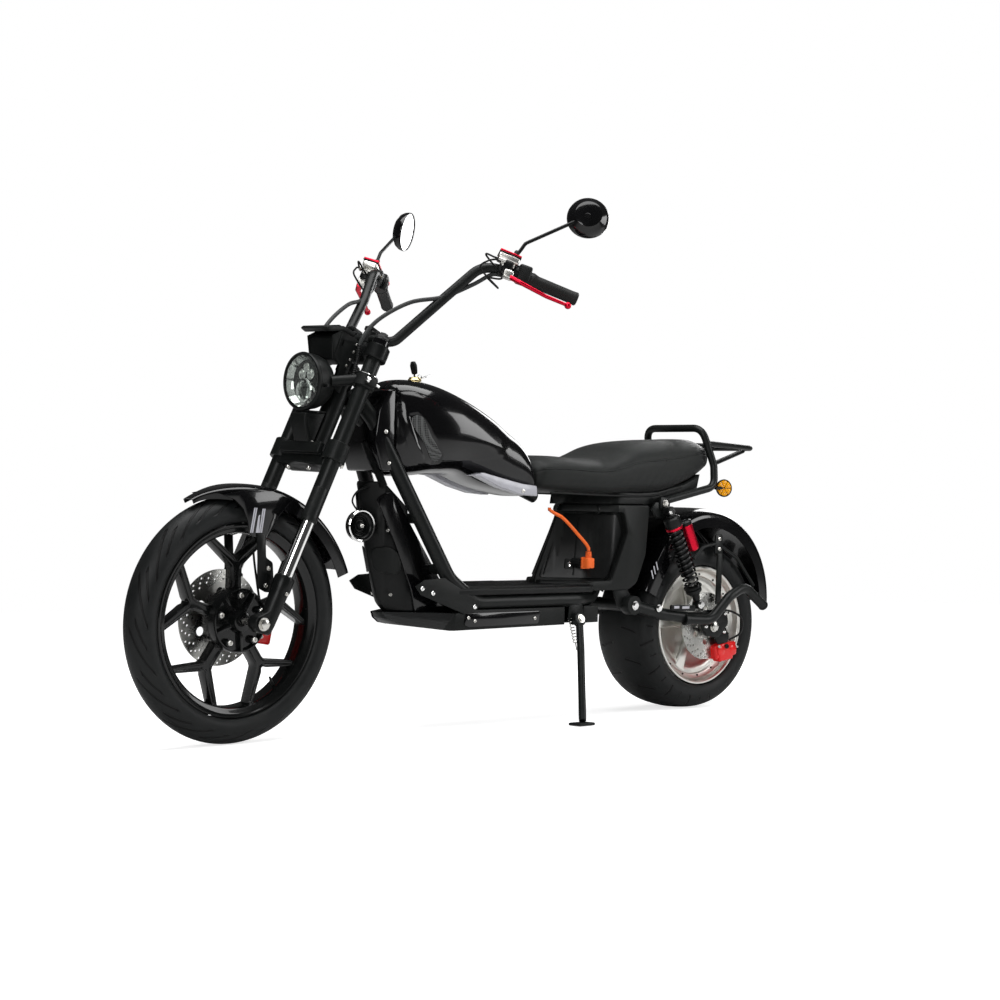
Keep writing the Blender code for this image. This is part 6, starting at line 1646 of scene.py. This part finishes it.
def make_rail():
    left = [Vector(p) for p in HOOP_PATH]
    hoop = left + [Vector((p.x, -p.y, p.z)) for p in reversed(left)]
    tubes = [pipe(bent(hoop, 0.04, 10), 0.0105, 28)]
    loop = [Vector(RACK_UPPER[0]), Vector(RACK_UPPER[1]), Vector((-0.215, -0.085, 0.744)),
        Vector((0.01, -0.112, 0.752))]
    tubes.append(pipe(bent(loop, 0.03, 8), 0.008, 22))
    for _, s in SIDES:
        tubes.append(pipe([(RACK_LOWER[0][0], s * RACK_LOWER[0][1], RACK_LOWER[0][2]),
            (RACK_LOWER[1][0], s * RACK_LOWER[1][1], RACK_LOWER[1][2])], 0.0065, 20))
    for y in (-0.05, 0, 0.05):
        tubes.append(block((-0.115, y, 0.749), (0.21, 0.0105, 0.009), 0.003))
    tubes.append(pipe([(-0.03, -0.1, 0.744), (-0.03, 0.1, 0.744)], 0.0055, 18))
    piece("hoop_and_rack", tubes, CHASSIS, satin_tube, ("grab_rail",), 40)
    feet, bolts = [], []
    for _, s in SIDES:
        feet.append(stood(slab(rounded(mm(2, 178, 566, 216, 566, 216, 600, 178, 596), 0.008, 4), 0.008,
            0.0022), s * 0.133))
        bolts.append(hex_nut((0.197, s * 0.137, 0.5815), (0, s, 0), 0.0085, 0.006))
    piece("hoop_feet", feet, CHASSIS, satin_tube, ("grab_rail",), 40)
    piece("hoop_bolts", bolts, CHASSIS, bright_steel)
    for name, s in SIDES:
        at, out = Vector((-0.043, s * 0.132, 0.627)), Vector((0.35, s, 0.05)).normalized()
        rim = turned_along(at, at + out, mm(2, 0, -9, 20, -9, 24.5, -2, 25, 2, 23.5, 3.5, 22, 1.5, 0, 0.5),
            48)
        bracket = rod((-0.01, s * 0.13, 0.627), (-0.04, s * 0.129, 0.627), 0.005, sides=16)
        piece(f"reflector_{name}_housing", [rim, bracket], CHASSIS, cast_black)
        wedges = []
        for k in range(6):
            wedge = slab([(0.0015, 0.0003)] + [(0.0215 * math.cos(math.radians(a)),
                0.0215 * math.sin(math.radians(a))) for a in range(2, 60, 8)], 0.0026, 0.0008)
            wedges.append(moved(wedge, rotation(60 * k, "Z")))
        face = moved(merged(*wedges), towards(at + out * 0.0022, at + out * 1.0022))
        piece(f"reflector_{name}_lens", face, CHASSIS, amber_lens)


# Swingarm, shocks, brakes and fenders

ARM_PATH = mm(3, 314, 130, 305, 200, 136, 278, 100, 140, 266, 10, 140, 262)
AXLE_PLATE = mm(2, 60, 268, 28, 212, -20, 206, -62, 246, -52, 282, 30, 286)
GUARD_PATH = mm(3, 120, 150, 262, 30, 162, 258, -38, 166, 322, -100, 166, 352, -190, 162, 292)


def make_swingarm():
    tubes, plates, bolts, dark = [], [], [], []
    for _, s in SIDES:
        arm = [Vector((x, s * y, z)) for x, y, z in ARM_PATH]
        tubes.append(pipe(bent(arm, 0.06, 8), 0.0168, 28))
        tubes.append(turned_along((0.314, s * 0.113, 0.305), (0.314, s * 1.113, 0.305),
            mm(2, 11, 0, 25, 0, 26, 1.5, 26, 30.5, 25, 32, 11, 32), 40))
        guard = [Vector((x, s * y, z)) for x, y, z in GUARD_PATH]
        tubes.append(pipe(bent(guard, 0.06, 12), 0.014, 28))
        end = guard[-1]
        ahead = (guard[-1] - guard[-2]).normalized()
        tubes.append(turned_along(end - ahead * 0.006, end + ahead,
            mm(2, 0, 0, 14.6, 0, 15, 4, 13, 8, 0, 9), 28))
        tubes.append(ring_on(guard[0], guard[1], 0.0162, 0.01))
        plates.append(stood(plate([rounded(AXLE_PLATE, 0.01, 5), circle(0.0082, 20, (0.0, 0.2385)),
            circle(0.006, 16, (0.026, 0.262))], 0.01, 0.0014), s * 0.14))
        slot = mm(2, 190, 289, 92, 285, 92, 301, 190, 305)
        plates.append(stood(slab(rounded(slot, 0.006, 4), 0.006, 0.0014), s * 0.158))
        dark += [block((0.168, s * 0.1612, 0.2975), (0.02, 0.002, 0.007), 0.0008),
            block((0.132, s * 0.1612, 0.296), (0.028, 0.002, 0.007), 0.0008)]
        for x, z in mm(2, 33, 240, -42, 223, -44, 274, 20, 269):
            bolts.append(cap_screw((x, s * 0.145, z), (0, s, 0), 0.0058, 0.005))
        bolts.append(hex_nut((0.23, s * 0.153, 0.296), (0, s, 0), 0.008, 0.007))
    tubes.append(pipe([(0.268, -0.132, 0.294), (0.268, 0.132, 0.294)], 0.012, 24))
    piece("swingarm_tubes", tubes, CHASSIS, satin_tube, ("swingarm",), 40)
    piece("swingarm_plates", plates, CHASSIS, cast_black, ("swingarm",))
    piece("swingarm_bolts", bolts, CHASSIS, chrome)
    piece("adjuster_slots", dark, CHASSIS, streak_grey)


def ring_on(start, end, radius, width):
    start, end = Vector(start), Vector(end)
    return turned_along(start, end, [(0.01, -width / 2), (radius - 0.001, -width / 2),
        (radius, -width / 2 + 0.001), (radius, width / 2 - 0.001), (radius - 0.001, width / 2),
        (0.01, width / 2)], 28)


SHOCK_TOP, SHOCK_FOOT = Vector((0.196, 0.15, 0.561)), Vector((0.071, 0.15, 0.303))


def make_shocks():
    length = (SHOCK_TOP - SHOCK_FOOT).length
    for name, s in SIDES:
        top = Vector((SHOCK_TOP.x, s * SHOCK_TOP.y, SHOCK_TOP.z))
        foot = Vector((SHOCK_FOOT.x, s * SHOCK_FOOT.y, SHOCK_FOOT.z))
        place = MACHINE @ towards(foot, top)
        body = spun([(0, 0.014), (0.01, 0.014), (0.01, 0.03), (0.015, 0.031), (0.015, 0.042),
            (0.0075, 0.043), (0.0075, 0.09), (0.015, 0.091), (0.015, 0.23), (0.021, 0.236), (0.0235, 0.24),
            (0.0235, 0.264), (0.02, 0.268), (0.012, 0.27), (0.012, length - 0.012), (0, length - 0.012)],
            48)
        eyes = [moved(spun(mm(2, 5, -11, 13, -11, 13, 11, 5, 11), 32, ring=True),
            towards(foot, top).inverted() @ shift(at) @ ACROSS) for at in (foot, top)]
        piece(f"shock_{name}_body", [body, *eyes], (place, "chassis"), cast_black, (f"shock_{name}",))
        turns, coil = 12, []
        for k in range(int(turns * 28) + 1):
            t = k / (turns * 28)
            low, high = 0.056, 0.231
            reach = 0.0195 + 0.0008 * math.sin(math.pi * t)
            angle = math.tau * turns * t
            coil.append((reach * math.cos(angle), reach * math.sin(angle), low + (high - low) * t))
        piece(f"shock_{name}_spring", pipe(coil, 0.003, 12), (place, "chassis"), gloss_paint,
            (f"shock_{name}",), 60)
        collar = spun(mm(2, 15, 232, 22.5, 232, 24, 233.5, 24, 238.5, 22.5, 240, 15, 240), 48, ring=True)
        piece(f"shock_{name}_collar", collar, (place, "chassis"), red_metal)
        stops = [spun(mm(2, 8, 35, 19, 36, 22.5, 40, 22.5, 47, 18, 50, 8, 50), 40, ring=True),
            spun(mm(2, 8, 52, 24, 52, 26.2, 53.5, 26.2, 55.5, 8, 56), 40, ring=True)]
        piece(f"shock_{name}_stop", stops, (place, "chassis"), grip_rubber)
        nuts = [moved(spun([(0, z), (0.0125, z), (0.0125, z + 0.008), (0, z + 0.008)], 6), turn_z(0.4))
            for z in (0.06, 0.071, 0.099)]
        piece(f"shock_{name}_nuts", nuts, (place, "chassis"), bright_steel)
        cell = MACHINE @ towards(foot, top) @ shift(towards(foot, top).inverted().to_3x3()
            @ Vector((-0.042, 0, 0.019)))
        can = spun(mm(2, 0, 148, 13, 148.5, 15.8, 152, 16.2, 156, 16.2, 224, 14, 226, 0, 226), 40)
        piece(f"shock_{name}_cell", can, (cell, "chassis"), red_metal, (f"shock_{name}",))
        cap = spun(mm(2, 0, 225.5, 16.4, 225.5, 16.4, 234, 11, 238, 0, 238), 40)
        piece(f"shock_{name}_cell_cap", cap, (cell, "chassis"), cast_black)
        link = rod(top.lerp(foot, 0.16), top.lerp(foot, 0.16) + Vector((-0.048, 0, 0.012)), 0.009, 0.007,
            24)
        piece(f"shock_{name}_link", link, CHASSIS, cast_black)
        bolts = []
        for at in (foot, top):
            bolts.append(hex_nut(at + Y * s * 0.011, (0, s, 0), 0.0092, 0.007))
            bolts.append(rod(at - Y * s * 0.014, at + Y * s * 0.014, 0.0048, sides=20))
        piece(f"shock_{name}_bolts", bolts, CHASSIS, chrome)


CALIPER = (FRONT @ rotation(-28, "Y") @ shift((-0.02, 0, 0)), "steering")


def make_calipers():
    turn = rotation(18, "Y")
    centre = Vector((-0.1065, -0.055, 0.0346))
    body = [block(centre, (0.044, 0.042, 0.078), 0.006, turn, 4),
        block(centre + Vector((0.012, 0.0, 0.004)), (0.03, 0.046, 0.05), 0.004, turn)]
    piece("front_caliper_body", body, CALIPER, red_paint, ("front_caliper",))
    arm = [block((-0.052, -0.084, 0.035), (0.082, 0.008, 0.03), 0.003, turn),
        block((-0.09, -0.079, 0.035), (0.03, 0.012, 0.06), 0.003, turn)]
    piece("front_caliper_arm", arm, CALIPER, cast_black, ("front_caliper",))
    screws = [cap_screw(centre + Vector((0.004, side * 0.0215, z)), (0, side, 0), 0.005, 0.004)
        for side in (-1, 1) for z in (-0.024, 0.024)]
    piece("front_caliper_screws", screws, CALIPER, bright_steel)
    hose = pipe(curve_through(mm(3, -140, -70, 10, -138, -88, 70, -120, -86, 170, -128, -70, 230), 8),
        0.0028, 14)
    piece("front_brake_hose", hose, BY_FRONT_AXLE, cable_black)
    make_rear_caliper()


def make_rear_caliper():
    turn = rotation(8, "Y")
    centre = Vector((-0.068, 0.112, 0.168 - REAR_TYRE_RADIUS))
    shapes = [block(centre, (0.088, 0.044, 0.04), 0.007, turn, 4),
        block(centre + Vector((0.004, 0.01, -0.004)), (0.058, 0.03, 0.05), 0.006, turn, 4)]
    for reach in (0.024, -0.024):
        shapes.append(turned_along(centre + Vector((reach, 0.02, 0)), centre + Vector((reach, 1.02, 0)),
            mm(2, 0, 0, 15, 0, 15, 4.5, 12.5, 6, 0, 6), 32))
    piece("rear_caliper_body", shapes, BY_REAR_AXLE, red_paint, ("rear_caliper",))
    screws = [cap_screw(centre + Vector((0.006, 0.027, 0.012)), (0, 1, 0), 0.0068, 0.005)]
    piece("rear_caliper_screw", screws, BY_REAR_AXLE, cable_black)
    pins = [cap_screw(centre + Vector((x, 0.0262, z)), (0, 1, 0), 0.0042, 0.0034) for x,
        z in ((0.036, 0.012), (-0.038, 0.01))]
    piece("rear_caliper_pins", pins, BY_REAR_AXLE, bright_steel)
    bracket = stood(slab(rounded(mm(2, -10, -16, -30, -50, -68, -66, -80, -30, -50, 16), 0.008, 4), 0.006,
        0.0015), 0.13)
    piece("rear_caliper_bracket", bracket, BY_REAR_AXLE, cast_black)
    hose = pipe(curve_through(mm(3, -84, 128, -42, -112, 146, -20, -102, 156, 22, -50, 152, 44, -6, 146,
        40), 8), 0.003, 14)
    piece("rear_brake_hose", hose, BY_REAR_AXLE, cable_black)


FRONT_FENDER = tuple((64 + 8 * k, 0.316 + 0.0012 * k) for k in range(13))
FENDER_SHEET = 0.0022
REAR_FENDER = ((24, 0.262), (36, 0.266), (48, 0.276), (60, 0.296), (72, 0.314), (84, 0.326), (96, 0.332),
    (108, 0.333), (120, 0.33), (132, 0.324), (144, 0.315), (156, 0.304), (168, 0.292))


def fender_skin(stations, half_at, lip, drop, around, across):
    """A crowned blade over a wheel; half_at(t) is its half width along its length."""
    first, last = stations[0][0], stations[-1][0]

    def place(u, w):
        angle = first + (last - first) * u
        radius = table_at(stations, angle)[0]
        half = half_at(u)
        side = 2 * w - 1
        over = min(abs(side) / 0.8, 1.0)
        down = max(abs(side) - 0.8, 0.0) / 0.2
        y = math.copysign(half * (1 - (1 - over) ** 1.6 if over < 1 else 1.0), side)
        ease = half / max(half_at(0.5), WELD)
        fall = drop * over ** 2.6 * ease + lip * down * min(ease, 1.0)
        reach = radius - fall
        turn = math.radians(angle)
        return Vector((reach * math.cos(turn), y, reach * math.sin(turn)))
    return thickened(skin(place, around, across), FENDER_SHEET)


def make_fenders():
    front = fender_skin(FRONT_FENDER, lambda t: 0.06 * (0.3 + 0.7 * smooth_step(0.0, 0.3, t)), 0.03, 0.014,
        72, 34)
    piece("front_fender_blade", front, BY_FRONT_AXLE, gloss_paint, ("front_fender",), 50)
    flaps, straps, bolts = [], [], []
    for _, s in SIDES:
        flap = mm(2, 85, 295, 50, 285, 24, 264, 10, 235, 4, 206, -4, 199, -40, 195, -52, 198, -78, 245,
            -118, 285, -60, 305, 20, 307)
        flaps.append(stood(slab(flap, 0.0035, 0.0012), s * 0.0605))
        strap = mm(2, -15, 206, -40, 204, -44, 150, -64, 138, -70, 80, -62, 68, -46, 68, -22, 80, -20, 150)
        straps.append(stood(slab(rounded(strap, 0.005, 3), 0.004, 0.001), s * 0.064))
        for x, z in ((-0.044, 0.084), (-0.05, 0.124)):
            bolts.append(cap_screw((x, s * 0.066, z), (0, s, 0), 0.0062, 0.005))
    piece("front_fender_flaps", flaps, BY_FRONT_AXLE, gloss_paint, ("front_fender",), 40)
    piece("front_fender_straps", straps, BY_FRONT_AXLE, cast_black, ("front_fender",), 40)
    piece("front_fender_bolts", bolts, BY_FRONT_AXLE, bright_steel)
    streaks = []
    for _, s in SIDES:
        for x, top, low, lean in ((0.0, 0.266, 0.208, 0.01), (-0.026, 0.264, 0.208, 0.008)):
            for k in range(2):
                start = x - 0.0052 * k
                streaks.append(stood(slab([(start, low), (start + 0.0036, low),
                    (start - lean + 0.0036, top), (start - lean, top)], 0.0006), s * 0.0627))
        streaks.append(stood(slab(mm(2, -13, 208, -22, 208, -23.5, 250, -19, 246), 0.0006), s * 0.0627))
    piece("front_streaks", streaks, BY_FRONT_AXLE, streak_grey)
    rear = fender_skin(REAR_FENDER, lambda t: 0.112 * (0.94 + 0.06 * math.sin(math.pi * t)), 0.034, 0.02,
        96, 40)
    piece("rear_fender_blade", rear, BY_REAR_AXLE, gloss_paint, ("rear_fender",), 50)
    make_rear_stays()


def make_rear_stays():
    stays, bolts, streaks = [], [], []
    for _, s in SIDES:
        bracket = mm(2, -52, 258, -24, 258, -22, 206, -30, 196, -46, 196, -54, 206)
        stays.append(stood(slab(rounded(bracket, 0.006, 4), 0.005, 0.0014), s * 0.1215))
        stays.append(stood(slab(rounded(mm(2, -48, 204, -28, 204, -25, 60, -45, 60), 0.004, 3), 0.005,
            0.0012), s * 0.127))
        stays.append(pipe(bent([(0.06, s * 0.118, 0.19), (0.02, s * 0.118, 0.224),
            (-0.036, s * 0.119, 0.232), (-0.12, s * 0.118, 0.19), (-0.196, s * 0.116, 0.11)], 0.05, 8),
            0.0052, 18))
        for z in (0.2446, 0.2163):
            bolts.append(cap_screw((-0.0379, s * 0.124, z), (0, s, 0), 0.006, 0.0046))
        for k in range(3):
            turn = math.radians(34 + 3.2 * k)
            place = Vector((0.263 * math.cos(turn), s * 0.114, 0.263 * math.sin(turn)))
            streaks.append(block(place, (0.004, 0.001, 0.024), 0.0003, rotation(18, "Y")))
    piece("rear_fender_stays", stays, BY_REAR_AXLE, satin_tube, ("rear_fender",), 40)
    piece("rear_fender_bolts", bolts, BY_REAR_AXLE, bright_steel)
    piece("rear_streaks", streaks, BY_REAR_AXLE, streak_grey)
    a, b = [Vector((r * math.cos(math.radians(t)), 0, r * math.sin(math.radians(t)))) for t,
        r in (REAR_FENDER[-3], REAR_FENDER[-2])]
    middle, along = (a + b) / 2, (b - a).normalized()
    out = Vector((along.z, 0, -along.x))
    if out.dot(middle) < 0:
        out = -out
    turn = Matrix((along, Y, out if along.cross(Y).dot(out) > 0 else -out)).transposed().to_4x4()
    lamp = block(middle + out * 0.02, (0.034, 0.088, 0.026), 0.005, turn, 4)
    piece("tail_lamp_lens", lamp, BY_REAR_AXLE, red_lens, ("tail_lamp",), 40)
    holder = block(middle + out * 0.0065, (0.04, 0.094, 0.01), 0.003, turn, 3)
    piece("tail_lamp_base", holder, BY_REAR_AXLE, cast_black, smooth=40)


STAND_PIVOT = Vector((0.515, 0.138, 0.272))
STAND_LEAN = math.radians(22)
STAND_FOOT = (0.6, 0.25)


def make_stand():
    """The stand about its tilted pivot: hub, bent leg with a foot, and its return spring."""
    upright = Matrix.Rotation(-STAND_LEAN, 4, "X")
    place = MACHINE @ shift(STAND_PIVOT) @ Matrix.Rotation(STAND_LEAN, 4, "X")
    ground = STAND_FOOT[1] * math.tan(LEAN)
    foot = Vector((STAND_FOOT[0], STAND_FOOT[1], ground)) - STAND_PIVOT
    level = upright @ Matrix.Rotation(LEAN, 4, "X")
    leg = pipe(bent([(0, 0, -0.006), upright @ (foot * 0.3) + Vector((0, 0.004, 0)),
        upright @ (foot + Vector((0, 0, 0.0125)))], 0.1, 10), 0.0098, 28)
    hub = spun(mm(2, 0, -9.5, 16, -9.5, 18, -7, 18, 7, 16, 9.5, 0, 9.5), 40)
    pad = block(upright @ (foot + Vector((0.006, 0.004, 0.005))), (0.054, 0.044, 0.0075), 0.0024, level, 3)
    piece("stand_leg", [moved(hub, ACROSS), leg, pad], (place, "side_stand"), satin_tube, ("side_stand",))
    piece("stand_pivot_nut", hex_nut((0, 0.0095, 0), (0, 1, 0), 0.009, 0.006), (place, "side_stand"),
        bright_steel)
    turns, coil = 9, []
    top, low = Vector((0.012, -0.016, 0.03)), upright @ (foot * 0.28) + Vector((0, -0.012, 0))
    aim = towards(top, low)
    length = (low - top).length
    for k in range(turns * 18 + 1):
        angle = math.tau * k / 18
        coil.append(aim @ Vector((0.0052 * math.cos(angle), 0.0052 * math.sin(angle),
            length * (0.12 + 0.7 * k / (turns * 18)))))
    spring = merged(pipe(coil, 0.0013, 8), rod(top, aim @ Vector((0, 0, length * 0.14)), 0.0013, sides=10),
        rod(aim @ Vector((0, 0, length * 0.8)), low, 0.0013, sides=10))
    piece("stand_spring", spring, (place, "side_stand"), bright_steel)


# The finished scooter

make_charging_lead(make_plug())
make_tyre("front_tyre", "front_wheel", FRONT, FRONT_TYRE_RADIUS, FRONT_TYRE_ROWS, front_rubber)
make_tyre("rear_tyre", "rear_wheel", REAR, REAR_TYRE_RADIUS, REAR_TYRE_ROWS, rear_rubber)
make_front_wheel()
make_rear_wheel()
make_discs()
make_axles()
for leg_name, leg_side in (("fork_leg_left", 1), ("fork_leg_right", -1)):
    make_fork_leg(leg_name, leg_side)
make_clamps()
make_headlight()
make_console()
make_cowl()
make_handlebar()
make_grips()
make_levers()
make_controls()
make_mirrors()
make_looms()
make_frame()
make_tank()
make_key_switch()
make_front_box()
make_fairing()
make_deck()
make_body()
make_seat()
make_rail()
make_swingarm()
make_shocks()
make_calipers()
make_fenders()
make_stand()


# Floor, backdrop and light

def make_stage():
    """A white floor that keeps soft shadows near the tyres and fades to the backdrop's white."""
    floor_mesh = bpy.data.meshes.new("floor")
    bm = bmesh.new()
    bmesh.ops.create_grid(bm, x_segments=1, y_segments=1, size=9.0)
    bm.to_mesh(floor_mesh)
    bm.free()
    floor = bpy.data.objects.new("floor", floor_mesh)
    scene.collection.objects.link(floor)
    floor.location = (0, 0, -0.0005)
    sheet = bpy.data.materials.new("white_floor")
    sheet.use_nodes = True
    tree = sheet.node_tree
    shader = tree.nodes["Principled BSDF"]
    set_inputs(shader, Base_Color=(0.8, 0.8, 0.8, 1), Roughness=0.75, Specular_IOR_Level=0.1,
        Emission_Color=(1, 1, 1, 1))
    away = tree.nodes.new("ShaderNodeVectorMath")
    away.operation = "LENGTH"
    tree.links.new(tree.nodes.new("ShaderNodeTexCoord").outputs["Object"], away.inputs[0])
    glow = range_node(tree, away.outputs["Value"], 0.9, 2.2, 0.72, 1.0)
    seen = tree.nodes.new("ShaderNodeLightPath").outputs["Is Camera Ray"]
    tree.links.new(math_node(tree, "MULTIPLY", glow, seen), shader.inputs["Emission Strength"])
    floor_mesh.materials.append(sheet)


def make_world():
    """White to the camera and through glass, dim in reflections and as a light."""
    world = bpy.data.worlds.new("studio")
    scene.world = world
    world.use_nodes = True
    tree = world.node_tree
    background = tree.nodes["Background"]
    path = tree.nodes.new("ShaderNodeLightPath")
    seen = math_node(tree, "ADD", path.outputs["Is Camera Ray"], path.outputs["Is Transmission Ray"],
        clamp=True)
    background.inputs["Color"].default_value = (1, 1, 1, 1)
    tree.links.new(range_node(tree, seen, 0.0, 1.0, 0.055, 1.0), background.inputs["Strength"])


def add_softbox(name, place, aim, size, power):
    light = bpy.data.lights.new(name, "AREA")
    light.shape = "RECTANGLE"
    light.size, light.size_y = size
    light.energy = power
    lamp = bpy.data.objects.new(name, light)
    lamp.matrix_world = shift(place) @ (Vector(aim) - Vector(place)).to_track_quat("-Z",
        "Y").to_matrix().to_4x4()
    scene.collection.objects.link(lamp)


make_stage()
make_world()
add_softbox("top_softbox", (0.2, 0.4, 3.2), (0, 0, 0.4), (3.2, 2.2), 120)
add_softbox("front_softbox", (3.4, 2.4, 1.8), (0.2, 0, 0.6), (1.6, 2.0), 60)
add_softbox("rear_softbox", (-2.6, 2.6, 1.6), (-0.3, 0, 0.6), (1.2, 2.0), 45)
add_softbox("far_softbox", (-3.2, -1.2, 1.75), (-0.2, 0, 1.1), (1.4, 1.4), 30)

scene.view_settings.view_transform = "Standard"
